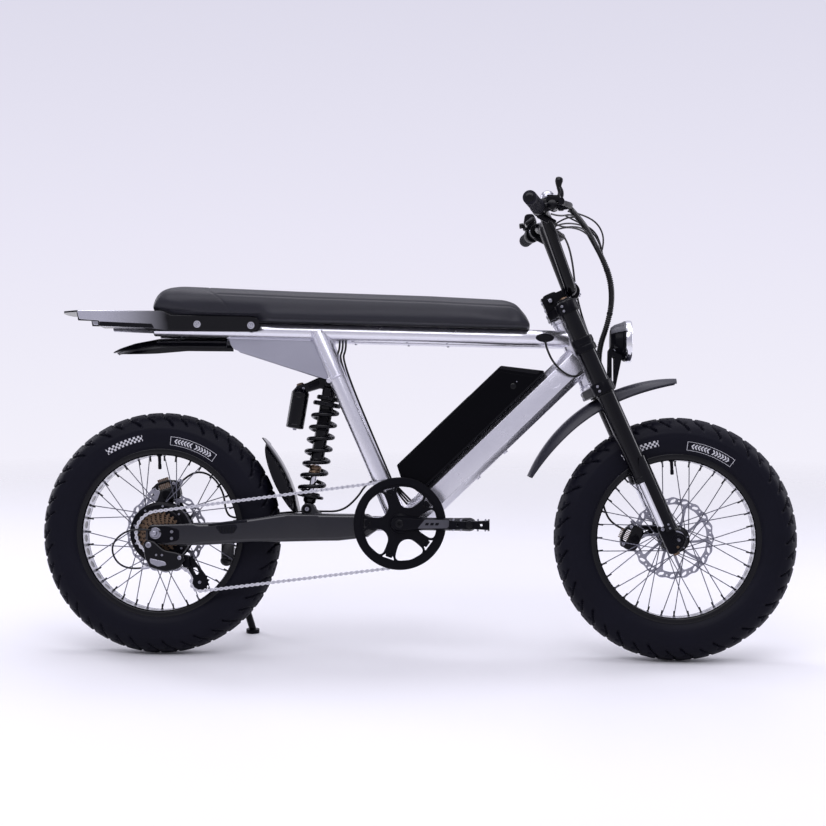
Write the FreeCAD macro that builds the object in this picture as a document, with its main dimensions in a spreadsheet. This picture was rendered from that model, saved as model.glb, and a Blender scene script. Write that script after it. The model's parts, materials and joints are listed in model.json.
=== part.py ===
import FreeCAD, Part
import math
import os
import re

import Sketcher
from FreeCAD import Placement, Rotation
from FreeCAD import Vector as V

# Electric bike: full suspension, fat tyres, long bench seat, leaning on its side stand.
# Everything is first placed on the upright bike: X forward, Y to its left, Z up, with the
# origin under the rear axle. One last placement leans the whole bike on to its stand.

os.makedirs("parts", exist_ok=True)
doc = FreeCAD.newDocument("electric_bike")
sheet = doc.addObject("Spreadsheet::Sheet", "Sizes")

# Driving sizes in millimetres and degrees: alias, value, meaning
SIZES = [
    ("wheelbase", 1260, "rear axle to front axle"),
    ("lean_angle", 8, "lean to the left on the side stand"),
    ("weld_gap", 0.2, "clearance between welded or bolted pieces"),
    ("running_gap", 0.1, "radial clearance of a turning bore on its pin"),
    # Wheels
    ("tyre_radius", 296, "outer radius of a tyre"),
    ("tyre_half_width", 49.5, "widest half width of a tyre"),
    ("tyre_widest_radius", 243, "wheel radius at the widest point"),
    ("shoulder_half_width", 38, "half width at the tread's shoulder"),
    ("shoulder_drop", 16, "shoulder below the crown"),
    ("tyre_wall", 5, "tyre wall thickness"),
    ("tyre_facets", 64, "flat faces round a tyre"),
    ("rim_outer", 206, "radius of the rim's flanges"),
    ("rim_inner", 190.5, "radius of the rim's inner face"),
    ("rim_half_width", 40, "half width of a rim"),
    ("rim_wall", 2.6, "rim wall thickness"),
    ("spoke_radius", 1.2, "radius of a spoke"),
    ("spokes_a_side", 18, "spokes on one side of a wheel"),
    ("rotor_radius", 101.5, "brake rotor radius"),
    ("rotor_thickness", 2, "brake rotor thickness"),
    ("rotor_inner", 80, "inner radius of the rotor's braking ring"),
    ("rotor_place", 55, "rotor's middle, left of the wheel's middle"),
    ("axle_radius", 6, "wheel axle radius"),
    ("front_flange_radius", 33, "front hub flange radius"),
    ("front_flange_place", 30, "front hub flange, from the wheel's middle"),
    ("front_hub_radius", 18, "front hub barrel radius"),
    ("front_hub_half", 61, "half length of the front hub"),
    ("hub_end_radius", 13, "radius of the front hub's ends"),
    ("flange_half", 3, "half thickness of a front hub flange"),
    ("motor_radius", 75, "hub motor radius"),
    ("motor_half", 38, "half width of the hub motor"),
    ("motor_edge", 8, "rounding of the hub motor's rim"),
    ("motor_boss", 34, "radius of the raised middle of the hub motor"),
    ("axle_nut", 13, "radius of the rear axle's nuts"),
    ("front_axle_nut", 12, "radius of the front axle's ends"),
    ("freewheel_radius", 56, "largest sprocket radius"),
    ("freewheel_start", 47, "inner face of the largest sprocket"),
    ("sprocket_pitch", 5, "step from one sprocket to the next"),
    ("sprocket_thickness", 2.2, "sprocket thickness"),
    ("sprockets", 7, "number of sprockets"),
    ("freewheel_body", 20, "radius of the freewheel's body"),
    # Steering
    ("head_angle", 24.3, "steering axis from the vertical"),
    ("axle_offset", 39, "front axle ahead of the steering axis"),
    ("axle_drop", 517.7, "head tube middle to front axle, along the axis"),
    ("head_radius", 22, "head tube outer radius"),
    ("head_bore", 17, "head tube inner radius"),
    ("head_below", 92, "head tube below its middle"),
    ("head_above", 80, "head tube above its middle"),
    ("cup_radius", 26, "headset cup radius"),
    ("cup_height", 9, "headset cup height"),
    ("steerer_radius", 14.3, "steerer radius"),
    ("leg_spacing", 85, "fork leg axis, from the bike's middle"),
    ("leg_lead", 22, "fork legs ahead of the steering axis"),
    ("outer_tube_radius", 22.5, "fork outer tube radius"),
    ("stanchion_radius", 17, "fork stanchion radius"),
    ("outer_tube_end", 355, "outer tube end below the head tube's middle"),
    ("crown_height", 20, "height of the fork crowns"),
    ("collar_height", 28, "height of a crown's leg collars"),
    ("collar_wall", 5, "wall of a crown's leg collar"),
    ("guard_wall", 3, "leg guard thickness"),
    ("guard_clearance", 2.5, "gap between leg guard and outer tube"),
    ("guard_top", 300, "leg guard's top below the head tube's middle"),
    ("lug_top", 470, "lug's top below the head tube's middle"),
    ("stem_reach", 50, "bar clamp ahead of the steering axis"),
    ("stem_rise", 137, "bar clamp above the head tube's middle"),
    ("clamp_radius", 22, "outer radius of the stem's bar clamp"),
    ("clamp_half", 32, "half width of the stem's bar clamp"),
    ("stem_half", 26, "half width of the stem"),
    ("stem_height", 40, "height of the stem's body"),
    ("stem_back", 24, "stem's body behind the steering axis"),
    ("riser_radius", 14, "radius of the bar's thick middle"),
    ("bar_radius", 11.1, "radius of the bar's ends"),
    ("bar_half_width", 370, "half width of the bar"),
    ("bar_bend_radius", 36, "bend radius of the bar"),
    ("grip_radius", 16.5, "grip radius"),
    ("grip_length", 128, "grip length"),
    ("bar_top", 1074.5, "height of the grips' axis"),
    ("bar_end_reach", 894, "forward place of the bar's ends"),
    ("lamp_radius", 52, "headlight radius"),
    ("lens_dome_radius", 300, "radius of the headlight glass's dome"),
    ("lamp_depth", 52, "headlight housing depth"),
    ("lamp_front", 1154, "forward place of the headlight's glass"),
    ("lamp_height", 777, "height of the headlight's axis"),
    ("fender_wall", 3, "fender thickness"),
    ("front_fender_radius", 392, "front fender radius about the axle"),
    ("front_fender_half", 54, "half width of the front fender"),
    ("fender_skirt", 12, "height of a fender's turned edge"),
    # Frame
    ("rail_radius", 20, "top rail radius"),
    ("rail_spacing", 46, "top rail axis, from the bike's middle"),
    ("rail_rear", -18, "forward place of the rails' rear ends"),
    ("rail_rear_height", 798, "height of the rail axis at its rear end"),
    ("rail_bend", 880, "forward place where the rails turn inwards"),
    ("rail_bend_height", 782, "height of the rail axis there"),
    ("rail_bend_radius", 120, "bend radius of the rails' front turn"),
    ("down_tube_height", 74, "down tube height"),
    ("down_tube_width", 70, "down tube width"),
    ("down_tube_chamfer", 15, "down tube corner chamfer"),
    ("down_tube_low_x", 615, "forward place of its lower end"),
    ("down_tube_low_z", 332, "height of its lower end"),
    ("crank_x", 591, "forward place of the crank axle"),
    ("crank_z", 326, "height of the crank axle"),
    ("bb_radius", 24, "crank shell radius"),
    ("bb_half", 50, "half width of the crank shell"),
    ("shell_bore", 17, "inner radius of the crank shell"),
    ("bearing_cup", 9, "depth of the crank shell's bearing cups"),
    ("crank_axle_radius", 11, "crank axle radius"),
    ("strut_radius", 21.75, "seat strut radius"),
    ("strut_top_x", 388, "forward place of the strut's upper end"),
    ("strut_foot", 38, "strut axis from the bike's middle, at its foot"),
    ("strut_foot_back", 6, "strut's foot behind the crank axle"),
    ("strut_foot_rise", 8, "strut's foot above the crank axle"),
    ("gusset_wall", 4, "thickness of the tail plates"),
    ("battery_height", 87, "battery height above the down tube"),
    ("battery_width", 92, "battery width"),
    ("battery_length", 345, "battery length along its base"),
    ("battery_start", 60, "battery base from the down tube's lower end"),
    ("battery_nose", 22, "setback of the battery's upper front corner"),
    ("battery_heel", 30, "size of the battery's cut lower corner"),
    ("seat_half_width", 105, "half width of the seat"),
    ("seat_setback", 106.4, "seat's front end behind the head tube's middle"),
    ("seat_rear", -12, "forward place of the seat's rear end"),
    ("seat_height", 76, "seat height"),
    ("rack_rear", -252, "forward place of the rack's rear end"),
    ("rack_half_width", 82, "half width of the rack"),
    ("rack_height", 838, "height of the rack's top face"),
    ("rack_wall", 4, "rack plate thickness"),
    ("rack_flange", 25, "height of the rack's turned edge"),
    ("rack_arm_reach", 246, "forward place of the rack's arm ends"),
    ("rack_hole", 2.75, "radius of the rack's screw holes"),
    ("rack_hole_spread", 60, "rack's screw holes from the bike's middle"),
    ("rack_hole_x", -90, "forward place of the rack's front screw holes"),
    ("arm_top", 347, "height of the swingarm's flat top"),
    ("hugger_radius", 344, "outer radius of the mudguard ahead of the rear wheel"),
    ("hugger_half", 60, "half width of that mudguard"),
    ("hugger_sweep", 35, "angle that it covers, in degrees"),
    # Rear suspension and drive
    ("arm_inner", 60, "swingarm inner face beside the tyre"),
    ("arm_outer", 97, "swingarm outer face beside the tyre"),
    ("arm_front_inner", 28, "swingarm inner face at its front"),
    ("arm_front_outer", 58, "swingarm outer face at its front"),
    ("dropout_wall", 10, "thickness of the swingarm's rear end"),
    ("pivot_x", 526, "forward place of the swingarm pivot"),
    ("pivot_z", 322, "height of the swingarm pivot"),
    ("pivot_radius", 8, "swingarm pivot shaft radius"),
    ("shock_low_x", 360, "forward place of the shock's lower eye"),
    ("shock_low_z", 358, "height of the shock's lower eye"),
    ("shock_top_along", 120.4, "shock's upper eye down the strut, from its upper end"),
    ("shock_top_behind", 21.3, "shock's upper eye behind the strut's axis"),
    ("shock_eye_radius", 13, "shock eye radius"),
    ("shock_pin_radius", 6, "shock mounting pin radius"),
    ("spring_radius", 29.5, "coil radius to the wire's middle"),
    ("spring_wire", 5, "spring wire radius"),
    ("spring_turns", 7, "turns of the spring"),
    ("reservoir_radius", 22, "shock reservoir radius"),
    ("chain_line", 66, "chain's middle, right of the bike's middle"),
    ("chain_half_width", 4, "half width of the chain"),
    ("chain_half_height", 4.2, "half height of the chain"),
    ("ring_pitch", 104.5, "chain radius on the chainring"),
    ("cog_pitch", 53, "chain radius on the sprocket"),
    ("guard_radius", 112, "chainring guard radius"),
    ("crank_length", 170, "crank axle to pedal axle"),
    ("crank_place", 84, "inner face of a crank arm"),
    ("crank_thickness", 15, "crank arm thickness"),
    ("pedal_length", 100, "pedal length along its axle"),
    ("pedal_depth", 96, "pedal size along the bike"),
    ("pedal_thickness", 18, "pedal thickness"),
    ("pedal_axle_radius", 6, "pedal axle radius"),
    # Stand
    ("stand_x", 150, "forward place of the stand's pivot"),
    ("stand_z", 244, "height of the stand's pivot"),
    ("stand_y", 120, "stand's pivot, left of the bike's middle"),
    ("foot_x", 196, "forward place of the stand's foot"),
    ("foot_y", 245, "stand's foot, left of the bike's middle"),
    ("stand_radius", 9, "stand leg radius"),
    ("foot_radius", 17, "stand foot radius"),
    ("foot_height", 10, "stand foot height"),
    ("stand_boss", 14, "radius of the stand's hinge boss"),
    ("stand_boss_half", 13.2, "half length of the stand's hinge boss"),
    ("cable_radius", 2.5, "brake hose radius"),
    ("loom_radius", 5, "wrapped loom radius"),
]
for row, (alias, value, meaning) in enumerate(SIZES, 1):
    sheet.set(f"A{row}", meaning)
    sheet.set(f"B{row}", str(value))
    sheet.setAlias(f"B{row}", alias)
doc.recompute()
S = {alias: float(sheet.get(alias)) for alias, _, _ in SIZES}

X_AXIS = V(1, 0, 0)
Y_AXIS = V(0, 1, 0)
Z_AXIS = V(0, 0, 1)
SUB_PARTS = []

# Places that several pieces share
REAR_AXLE = V(0, 0, S["tyre_radius"])
FRONT_AXLE = V(S["wheelbase"], 0, S["tyre_radius"])
HEAD_ANGLE = math.radians(S["head_angle"])
STEER_FORWARD = V(math.cos(HEAD_ANGLE), 0, math.sin(HEAD_ANGLE))
STEER_UP = V(-math.sin(HEAD_ANGLE), 0, math.cos(HEAD_ANGLE))
HEAD_MIDDLE = FRONT_AXLE - STEER_FORWARD * S["axle_offset"] + STEER_UP * S["axle_drop"]
STEER = Placement(HEAD_MIDDLE, Rotation(Y_AXIS, -S["head_angle"]))
CRANK = V(S["crank_x"], 0, S["crank_z"])
PIVOT = V(S["pivot_x"], 0, S["pivot_z"])
SHOCK_LOW = V(S["shock_low_x"], 0, S["shock_low_z"])
STAND = V(S["stand_x"], S["stand_y"], S["stand_z"])

# The parked bike: leaned to its left until both tyres and the foot meet the floor
LEAN = math.radians(S["lean_angle"])
CROWN_ARC = (S["shoulder_half_width"] ** 2 + S["shoulder_drop"] ** 2) / (2 * S["shoulder_drop"])
LEAN_LIFT = CROWN_ARC * (1 - math.cos(LEAN))
LEANED = Placement(V(0, 0, LEAN_LIFT), Rotation(X_AXIS, -S["lean_angle"]))
FLOOR_AT_FOOT = (S["foot_y"] * math.sin(LEAN) - LEAN_LIFT) / math.cos(LEAN)


def rail_axis(x):
    """Point on the right-hand top rail's axis at a forward place."""
    share = (x - S["rail_rear"]) / (S["rail_bend"] - S["rail_rear"])
    height = S["rail_rear_height"] + share * (S["rail_bend_height"] - S["rail_rear_height"])
    return V(x, -S["rail_spacing"], height)


def strut_ends():
    """Upper and lower end of the right-hand seat strut's axis."""
    top = rail_axis(S["strut_top_x"]) + V(-4, -2, 0)
    foot = CRANK + V(-S["strut_foot_back"], -S["strut_foot"], S["strut_foot_rise"])
    return top, foot


def shock_top():
    """Middle of the shock's upper eye, just behind the struts."""
    top, foot = strut_ends()
    slope = V(foot.x - top.x, 0, foot.z - top.z).normalize()
    behind = V(slope.z, 0, -slope.x)
    return V(top.x, 0, top.z) + slope * S["shock_top_along"] + behind * S["shock_top_behind"]


SHOCK_TOP = shock_top()


def formula(text):
    """Expression on the sheet's cells, from one that names them by alias alone."""
    return re.sub(r"[a-z]\w*", lambda name: f"Sizes.{name[0]}", text)


def worked_out(text):
    """Present value of a formula of the sheet's aliases."""
    return float(sheet.evalExpression(formula(text)))


def along(start, direction):
    """Placement that turns +Z into a direction and starts at a point."""
    return Placement(start, Rotation(Z_AXIS, direction))


def rod(start, end, radius):
    """Solid round bar between two points."""
    run = end - start
    return Part.makeCylinder(radius, run.Length, start, run)


def across(centre, left, right, radius):
    """Solid round bar along Y, from one side place to another."""
    return rod(V(centre.x, left, centre.z), V(centre.x, right, centre.z), radius)


def block(low, high):
    """Box between two corners."""
    size = high - low
    return Part.makeBox(size.x, size.y, size.z, low)


def outline(points, place):
    """Closed wire: a point is reached by a straight line, or by an arc through a middle point.

    place turns a flat pair of numbers into a point in space.
    """
    edges = []
    here = place(*points[0][-2:])
    for item in points[1:] + [points[0]]:
        there = place(*item[-2:])
        if len(item) == 4:
            edges.append(Part.Arc(here, place(*item[:2]), there).toShape())
        elif (there - here).Length > 1e-6:
            edges.append(Part.LineSegment(here, there).toShape())
        here = there
    return Part.Wire(edges)


def side_plate(points, low, high):
    """Plate with an outline seen from the side (X, Z), between two Y places."""
    wire = outline(points, lambda x, z: V(x, low, z))
    return Part.Face(wire).extrude(V(0, high - low, 0))


def top_plate(points, low, high):
    """Plate with an outline seen from above (X, Y), between two heights."""
    wire = outline(points, lambda x, y: V(x, y, low))
    return Part.Face(wire).extrude(V(0, 0, high - low))


def ring(points, centre, start=0.0, sweep=360.0):
    """Turn a closed profile of (radius, Y) pairs about the Y axis through a centre.

    start and sweep are degrees, from straight ahead and upwards.
    """
    wire = outline(points, lambda radius, y: V(centre.x + radius, centre.y + y, centre.z))
    face = Part.Face(wire)
    if start:
        face.rotate(centre, Y_AXIS, -start)
    return face.revolve(centre, Y_AXIS, -sweep)


def fused(shapes):
    """One solid from several that meet."""
    first, rest = shapes[0], shapes[1:]
    return first.fuse(rest).removeSplitter() if rest else first


def mirrored(shape):
    """The same piece on the other side of the bike."""
    return shape.mirror(V(0, 0, 0), Y_AXIS)


def moved(shape, placement):
    """Copy of a shape put in another place."""
    copy = shape.copy()
    copy.Placement = placement.multiply(copy.Placement)
    return copy


def parked(obj, label, place=Placement()):
    """Name a finished object, lean it with the whole bike and list it."""
    obj.Label = label
    obj.Placement = LEANED.multiply(place)
    SUB_PARTS.append(obj)
    return obj


def feature(label, shapes):
    """Sub-part from ready solids, one or more."""
    obj = doc.addObject("Part::Feature", label)
    solids = [solid for shape in shapes for solid in shape.Solids]
    obj.Shape = Part.makeCompound(solids)
    return parked(obj, label)


def primitive(kind, name, placement, **sizes):
    """Part primitive whose sizes are formulas of the sheet's aliases."""
    obj = doc.addObject(f"Part::{kind}", name)
    for prop, text in sizes.items():
        obj.setExpression(prop, formula(text))
    obj.Placement = placement
    return obj


def bar(name, start, direction, radius, length):
    """Part cylinder from a point along a direction."""
    return primitive("Cylinder", name, along(start, direction), Radius=radius, Height=length)


def boolean(kind, name, shapes):
    """Part boolean of document objects."""
    obj = doc.addObject(f"Part::{kind}", name)
    if kind in ("Cut", "Common"):
        obj.Base, obj.Tool = shapes
    else:
        obj.Shapes = shapes
    return obj


def drawn(body, role, corners):
    """Sketch of a closed outline on an origin plane, each corner a pair of formulas."""
    sketch = body.newObject("Sketcher::SketchObject", f"{body.Name}_outline")
    plane = next(item for item in body.Origin.OriginFeatures if item.Role == role)
    sketch.AttachmentSupport = (plane, "")
    sketch.MapMode = "FlatFace"
    points = [V(worked_out(one), worked_out(two), 0) for one, two in corners]
    for here, there in zip(points, points[1:] + points[:1]):
        sketch.addGeometry(Part.LineSegment(here, there), False)
    for number, corner in enumerate(corners):
        after = (number + 1) % len(corners)
        sketch.addConstraint(Sketcher.Constraint("Coincident", number, 2, after, 1))
        for kind, axis, text in (("DistanceX", -2, corner[0]), ("DistanceY", -1, corner[1])):
            value = worked_out(text)
            if value:
                index = sketch.addConstraint(Sketcher.Constraint(kind, -1, 1, number, 1, value))
                sketch.setExpression(f"Constraints[{index}]", formula(text))
            else:
                sketch.addConstraint(Sketcher.Constraint("PointOnObject", number, 1, axis))
    return sketch


def turned(label, centre, corners):
    """Sub-part turned about an axle from (radius, side place) corners."""
    body = doc.addObject("PartDesign::Body", label)
    turn = body.newObject("PartDesign::Revolution", f"{label}_turn")
    sketch = drawn(body, "XY_Plane", corners)
    turn.Profile = sketch
    turn.ReferenceAxis = (sketch, ["V_Axis"])
    turn.Angle = 360
    body.Tip = turn
    return parked(body, label, Placement(centre, Rotation()))


def cable(points, radius):
    """Round cable along straight runs joined by tangent arcs, with its bend radii."""
    edges, radii = [], []
    here = points[0]
    for before, corner, after in zip(points, points[1:], points[2:]):
        run_in, run_out = (corner - before), (after - corner)
        turn = run_in.getAngle(run_out)
        bend = 0.45 * min(run_in.Length, run_out.Length) / math.tan(turn / 2)
        trim = bend * math.tan(turn / 2)
        unit_in, unit_out = V(run_in).normalize(), V(run_out).normalize()
        enter, leave = corner - unit_in * trim, corner + unit_out * trim
        inward = (unit_out - unit_in).normalize()
        middle = corner + inward * (bend / math.cos(turn / 2) - bend)
        edges.append(Part.LineSegment(here, enter).toShape())
        edges.append(Part.Arc(enter, middle, leave).toShape())
        radii.append(bend)
        here = leave
    edges.append(Part.LineSegment(here, points[-1]).toShape())
    path = Part.Wire(edges)
    circle = Part.Circle(points[0], points[1] - points[0], radius).toShape()
    pipe = path.makePipeShell([Part.Wire(circle)], True, False)
    expected = math.pi * radius ** 2 * path.Length
    print(f"cable: bends {min(radii):.0f} to {max(radii):.0f} mm, "
          f"volume over section times length {pipe.Volume / expected:.4f}")
    return pipe


def bent_bar(points, radius, bend):
    """Round bar along straight runs joined by arcs of one bend radius."""
    edges = []
    here = points[0]
    for before, corner, after in zip(points, points[1:], points[2:]):
        unit_in, unit_out = (corner - before).normalize(), (after - corner).normalize()
        turn = unit_in.getAngle(unit_out)
        trim = bend * math.tan(turn / 2)
        enter, leave = corner - unit_in * trim, corner + unit_out * trim
        inward = (unit_out - unit_in).normalize()
        middle = corner + inward * (bend / math.cos(turn / 2) - bend)
        edges.append(Part.LineSegment(here, enter).toShape())
        edges.append(Part.Arc(enter, middle, leave).toShape())
        here = leave
    edges.append(Part.LineSegment(here, points[-1]).toShape())
    circle = Part.Circle(points[0], points[1] - points[0], radius).toShape()
    return Part.Wire(edges).makePipeShell([Part.Wire(circle)], True, False)


def wheel_tyre(centre):
    """Tyre of flat faces: side walls, shoulders and a crown, with beads inside the rim's flanges.

    Corners stand further out than the nominal radii, so that the middles of the faces lie on them
    and a face is flat on the floor.
    """
    bead = S["rim_half_width"] - S["rim_wall"] - S["weld_gap"]
    seat = S["rim_inner"] + S["rim_wall"] + S["weld_gap"]
    wide, wall = S["tyre_half_width"], S["tyre_wall"]
    crown_middle = S["tyre_radius"] - CROWN_ARC
    shoulder_turn = math.asin(S["shoulder_half_width"] / CROWN_ARC)
    turns = [LEAN, (LEAN + shoulder_turn) / 2, shoulder_turn]
    crown = [(crown_middle + CROWN_ARC * math.cos(turn), CROWN_ARC * math.sin(turn)) for turn in turns]
    side = [(S["tyre_widest_radius"] + 21, wide - 3), (S["tyre_widest_radius"], wide),
            (S["rim_outer"], bead), (seat, bead)]
    inside = [(seat, bead - wall), (S["tyre_widest_radius"], wide - wall),
              (S["tyre_radius"] - 2 * wall, S["shoulder_half_width"] / 2)]
    left = crown + side + inside
    profile = left + [(radius, -place) for radius, place in reversed(left)]
    count = int(S["tyre_facets"])
    step = 2 * math.pi / count
    grown = 1 / math.cos(step / 2)
    rings = []
    for number in range(count):
        turn = (number + 0.5) * step
        rings.append([centre + V(radius * grown * math.cos(turn), place, radius * grown * math.sin(turn))
                      for radius, place in profile])
    faces = []
    for here, there in zip(rings, rings[1:] + rings[:1]):
        for one, two in zip(range(len(profile)), list(range(1, len(profile))) + [0]):
            corners = [here[one], here[two], there[two], there[one], here[one]]
            faces.append(Part.Face(Part.makePolygon(corners)))
    skin = Part.makeShell(faces)
    skin.sewShape()
    tyre = Part.makeSolid(Part.Shell(skin.Faces))
    if tyre.Volume < 0:
        tyre.reverse()
    return tyre


def make_rim(label, centre):
    """Rim: a channel with a flat bed and two flanges."""
    bed, lip = "rim_inner + rim_wall", "rim_half_width - rim_wall"
    turned(label, centre, [
        ("rim_inner", "-rim_half_width"), ("rim_outer", "-rim_half_width"),
        ("rim_outer", f"-({lip})"), (bed, f"-({lip})"), (bed, lip), ("rim_outer", lip),
        ("rim_outer", "rim_half_width"), ("rim_inner", "rim_half_width"),
    ])


def wheel_spokes(centre, flange_radius, flange_place, wrap):
    """Spokes from both flanges to the rim, leading and trailing ones side by side.

    wrap is the angle that a spoke gains on its way out, in degrees.
    """
    count = int(S["spokes_a_side"])
    gap = 2 * S["spoke_radius"]
    rim = S["rim_inner"] - 2 * S["weld_gap"]
    spokes = []
    for side in (-1, 1):
        for number in range(count):
            lead = 1 if number % 2 else -1
            step = math.radians((number + (0.5 if side > 0 else 0)) * 360 / count)
            foot = step + math.radians(lead * wrap)
            start = V(flange_radius * math.cos(foot), side * (flange_place + lead * gap),
                      flange_radius * math.sin(foot))
            end = V(rim * math.cos(step), side * (10 + lead * gap), rim * math.sin(step))
            spokes.append(rod(centre + start, centre + end, S["spoke_radius"]))
    return spokes


def rotor(centre):
    """Brake rotor: a braking ring on five arms round a carrier."""
    low = S["rotor_place"] - S["rotor_thickness"] / 2
    high = S["rotor_place"] + S["rotor_thickness"] / 2
    outer, inner, carrier = S["rotor_radius"], S["rotor_inner"], 32
    bore = S["front_hub_radius"] + S["weld_gap"]
    pieces = [
        ring([(inner, low), (outer, low), (outer, high), (inner, high)], centre),
        ring([(bore, low), (carrier, low), (carrier, high), (bore, high)], centre),
    ]
    for number in range(5):
        arm = block(V(carrier - 5, low, -7), V(inner + 5, high, 7))
        arm.rotate(V(0, 0, 0), Y_AXIS, 72 * number)
        arm.translate(centre)
        pieces.append(arm)
    return fused(pieces)


def make_wheels():
    """Both wheels: tyre, rim, spokes, hub and brake rotor."""
    for name, centre in (("front", FRONT_AXLE), ("rear", REAR_AXLE)):
        feature(f"{name}_tyre", [wheel_tyre(centre)])
        make_rim(f"{name}_rim", centre)
        feature(f"{name}_rotor", [rotor(centre)])
    flange, place = S["front_flange_radius"], S["front_flange_place"]
    feature("front_spokes", wheel_spokes(FRONT_AXLE, flange + 1.5, place, 52))
    feature("rear_spokes", wheel_spokes(REAR_AXLE, S["motor_radius"] + 1.5, S["motor_half"] - 8, 20))

    bore = "axle_radius + running_gap"
    inner, outer = "front_flange_place - flange_half", "front_flange_place + flange_half"
    turned("front_hub", FRONT_AXLE, [
        (bore, "-front_hub_half"), ("hub_end_radius", "-front_hub_half"),
        ("hub_end_radius", f"-({outer})"), ("front_flange_radius", f"-({outer})"),
        ("front_flange_radius", f"-({inner})"), ("front_hub_radius", f"-({inner})"),
        ("front_hub_radius", inner), ("front_flange_radius", inner), ("front_flange_radius", outer),
        ("front_hub_radius", outer), ("front_hub_radius", "front_hub_half - 2"),
        ("hub_end_radius", "front_hub_half - 2"), ("hub_end_radius", "front_hub_half"),
        (bore, "front_hub_half"),
    ])
    face, edge = "motor_radius - motor_edge", "motor_half - motor_edge + 2"
    turned("hub_motor", REAR_AXLE, [
        (bore, "-motor_half - 6"), ("motor_boss - 8", "-motor_half - 6"),
        ("motor_boss", "-motor_half"), (face, "-motor_half"), ("motor_radius", f"-({edge})"),
        ("motor_radius", edge), (face, "motor_half"), ("motor_boss", "motor_half"),
        ("front_hub_radius", "motor_half + 6"), ("front_hub_radius", "rotor_place + 5"),
        (bore, "rotor_place + 5"),
    ])
    teeth = []
    for number in range(int(S["sprockets"])):
        near = f"-freewheel_start - {number} * sprocket_pitch"
        radius = f"freewheel_radius - {number + 1} * sprocket_pitch"
        teeth += [("freewheel_body", near), (radius, near), (radius, f"{near} - sprocket_thickness"),
                  ("freewheel_body", f"{near} - sprocket_thickness")]
    start, end = "-motor_half - 6.2", "-freewheel_start - 32"
    turned("freewheel", REAR_AXLE, [
        (bore, start), ("freewheel_body", start), *teeth, ("freewheel_body", end), (bore, end),
    ])


def head_solid(extra=0.0):
    """Head tube as a plain bar, with room round it for its neighbours."""
    body = rod(HEAD_MIDDLE - STEER_UP * (S["head_below"] + 40),
               HEAD_MIDDLE + STEER_UP * (S["head_above"] + 40), S["head_radius"] + extra)
    return body


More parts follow.
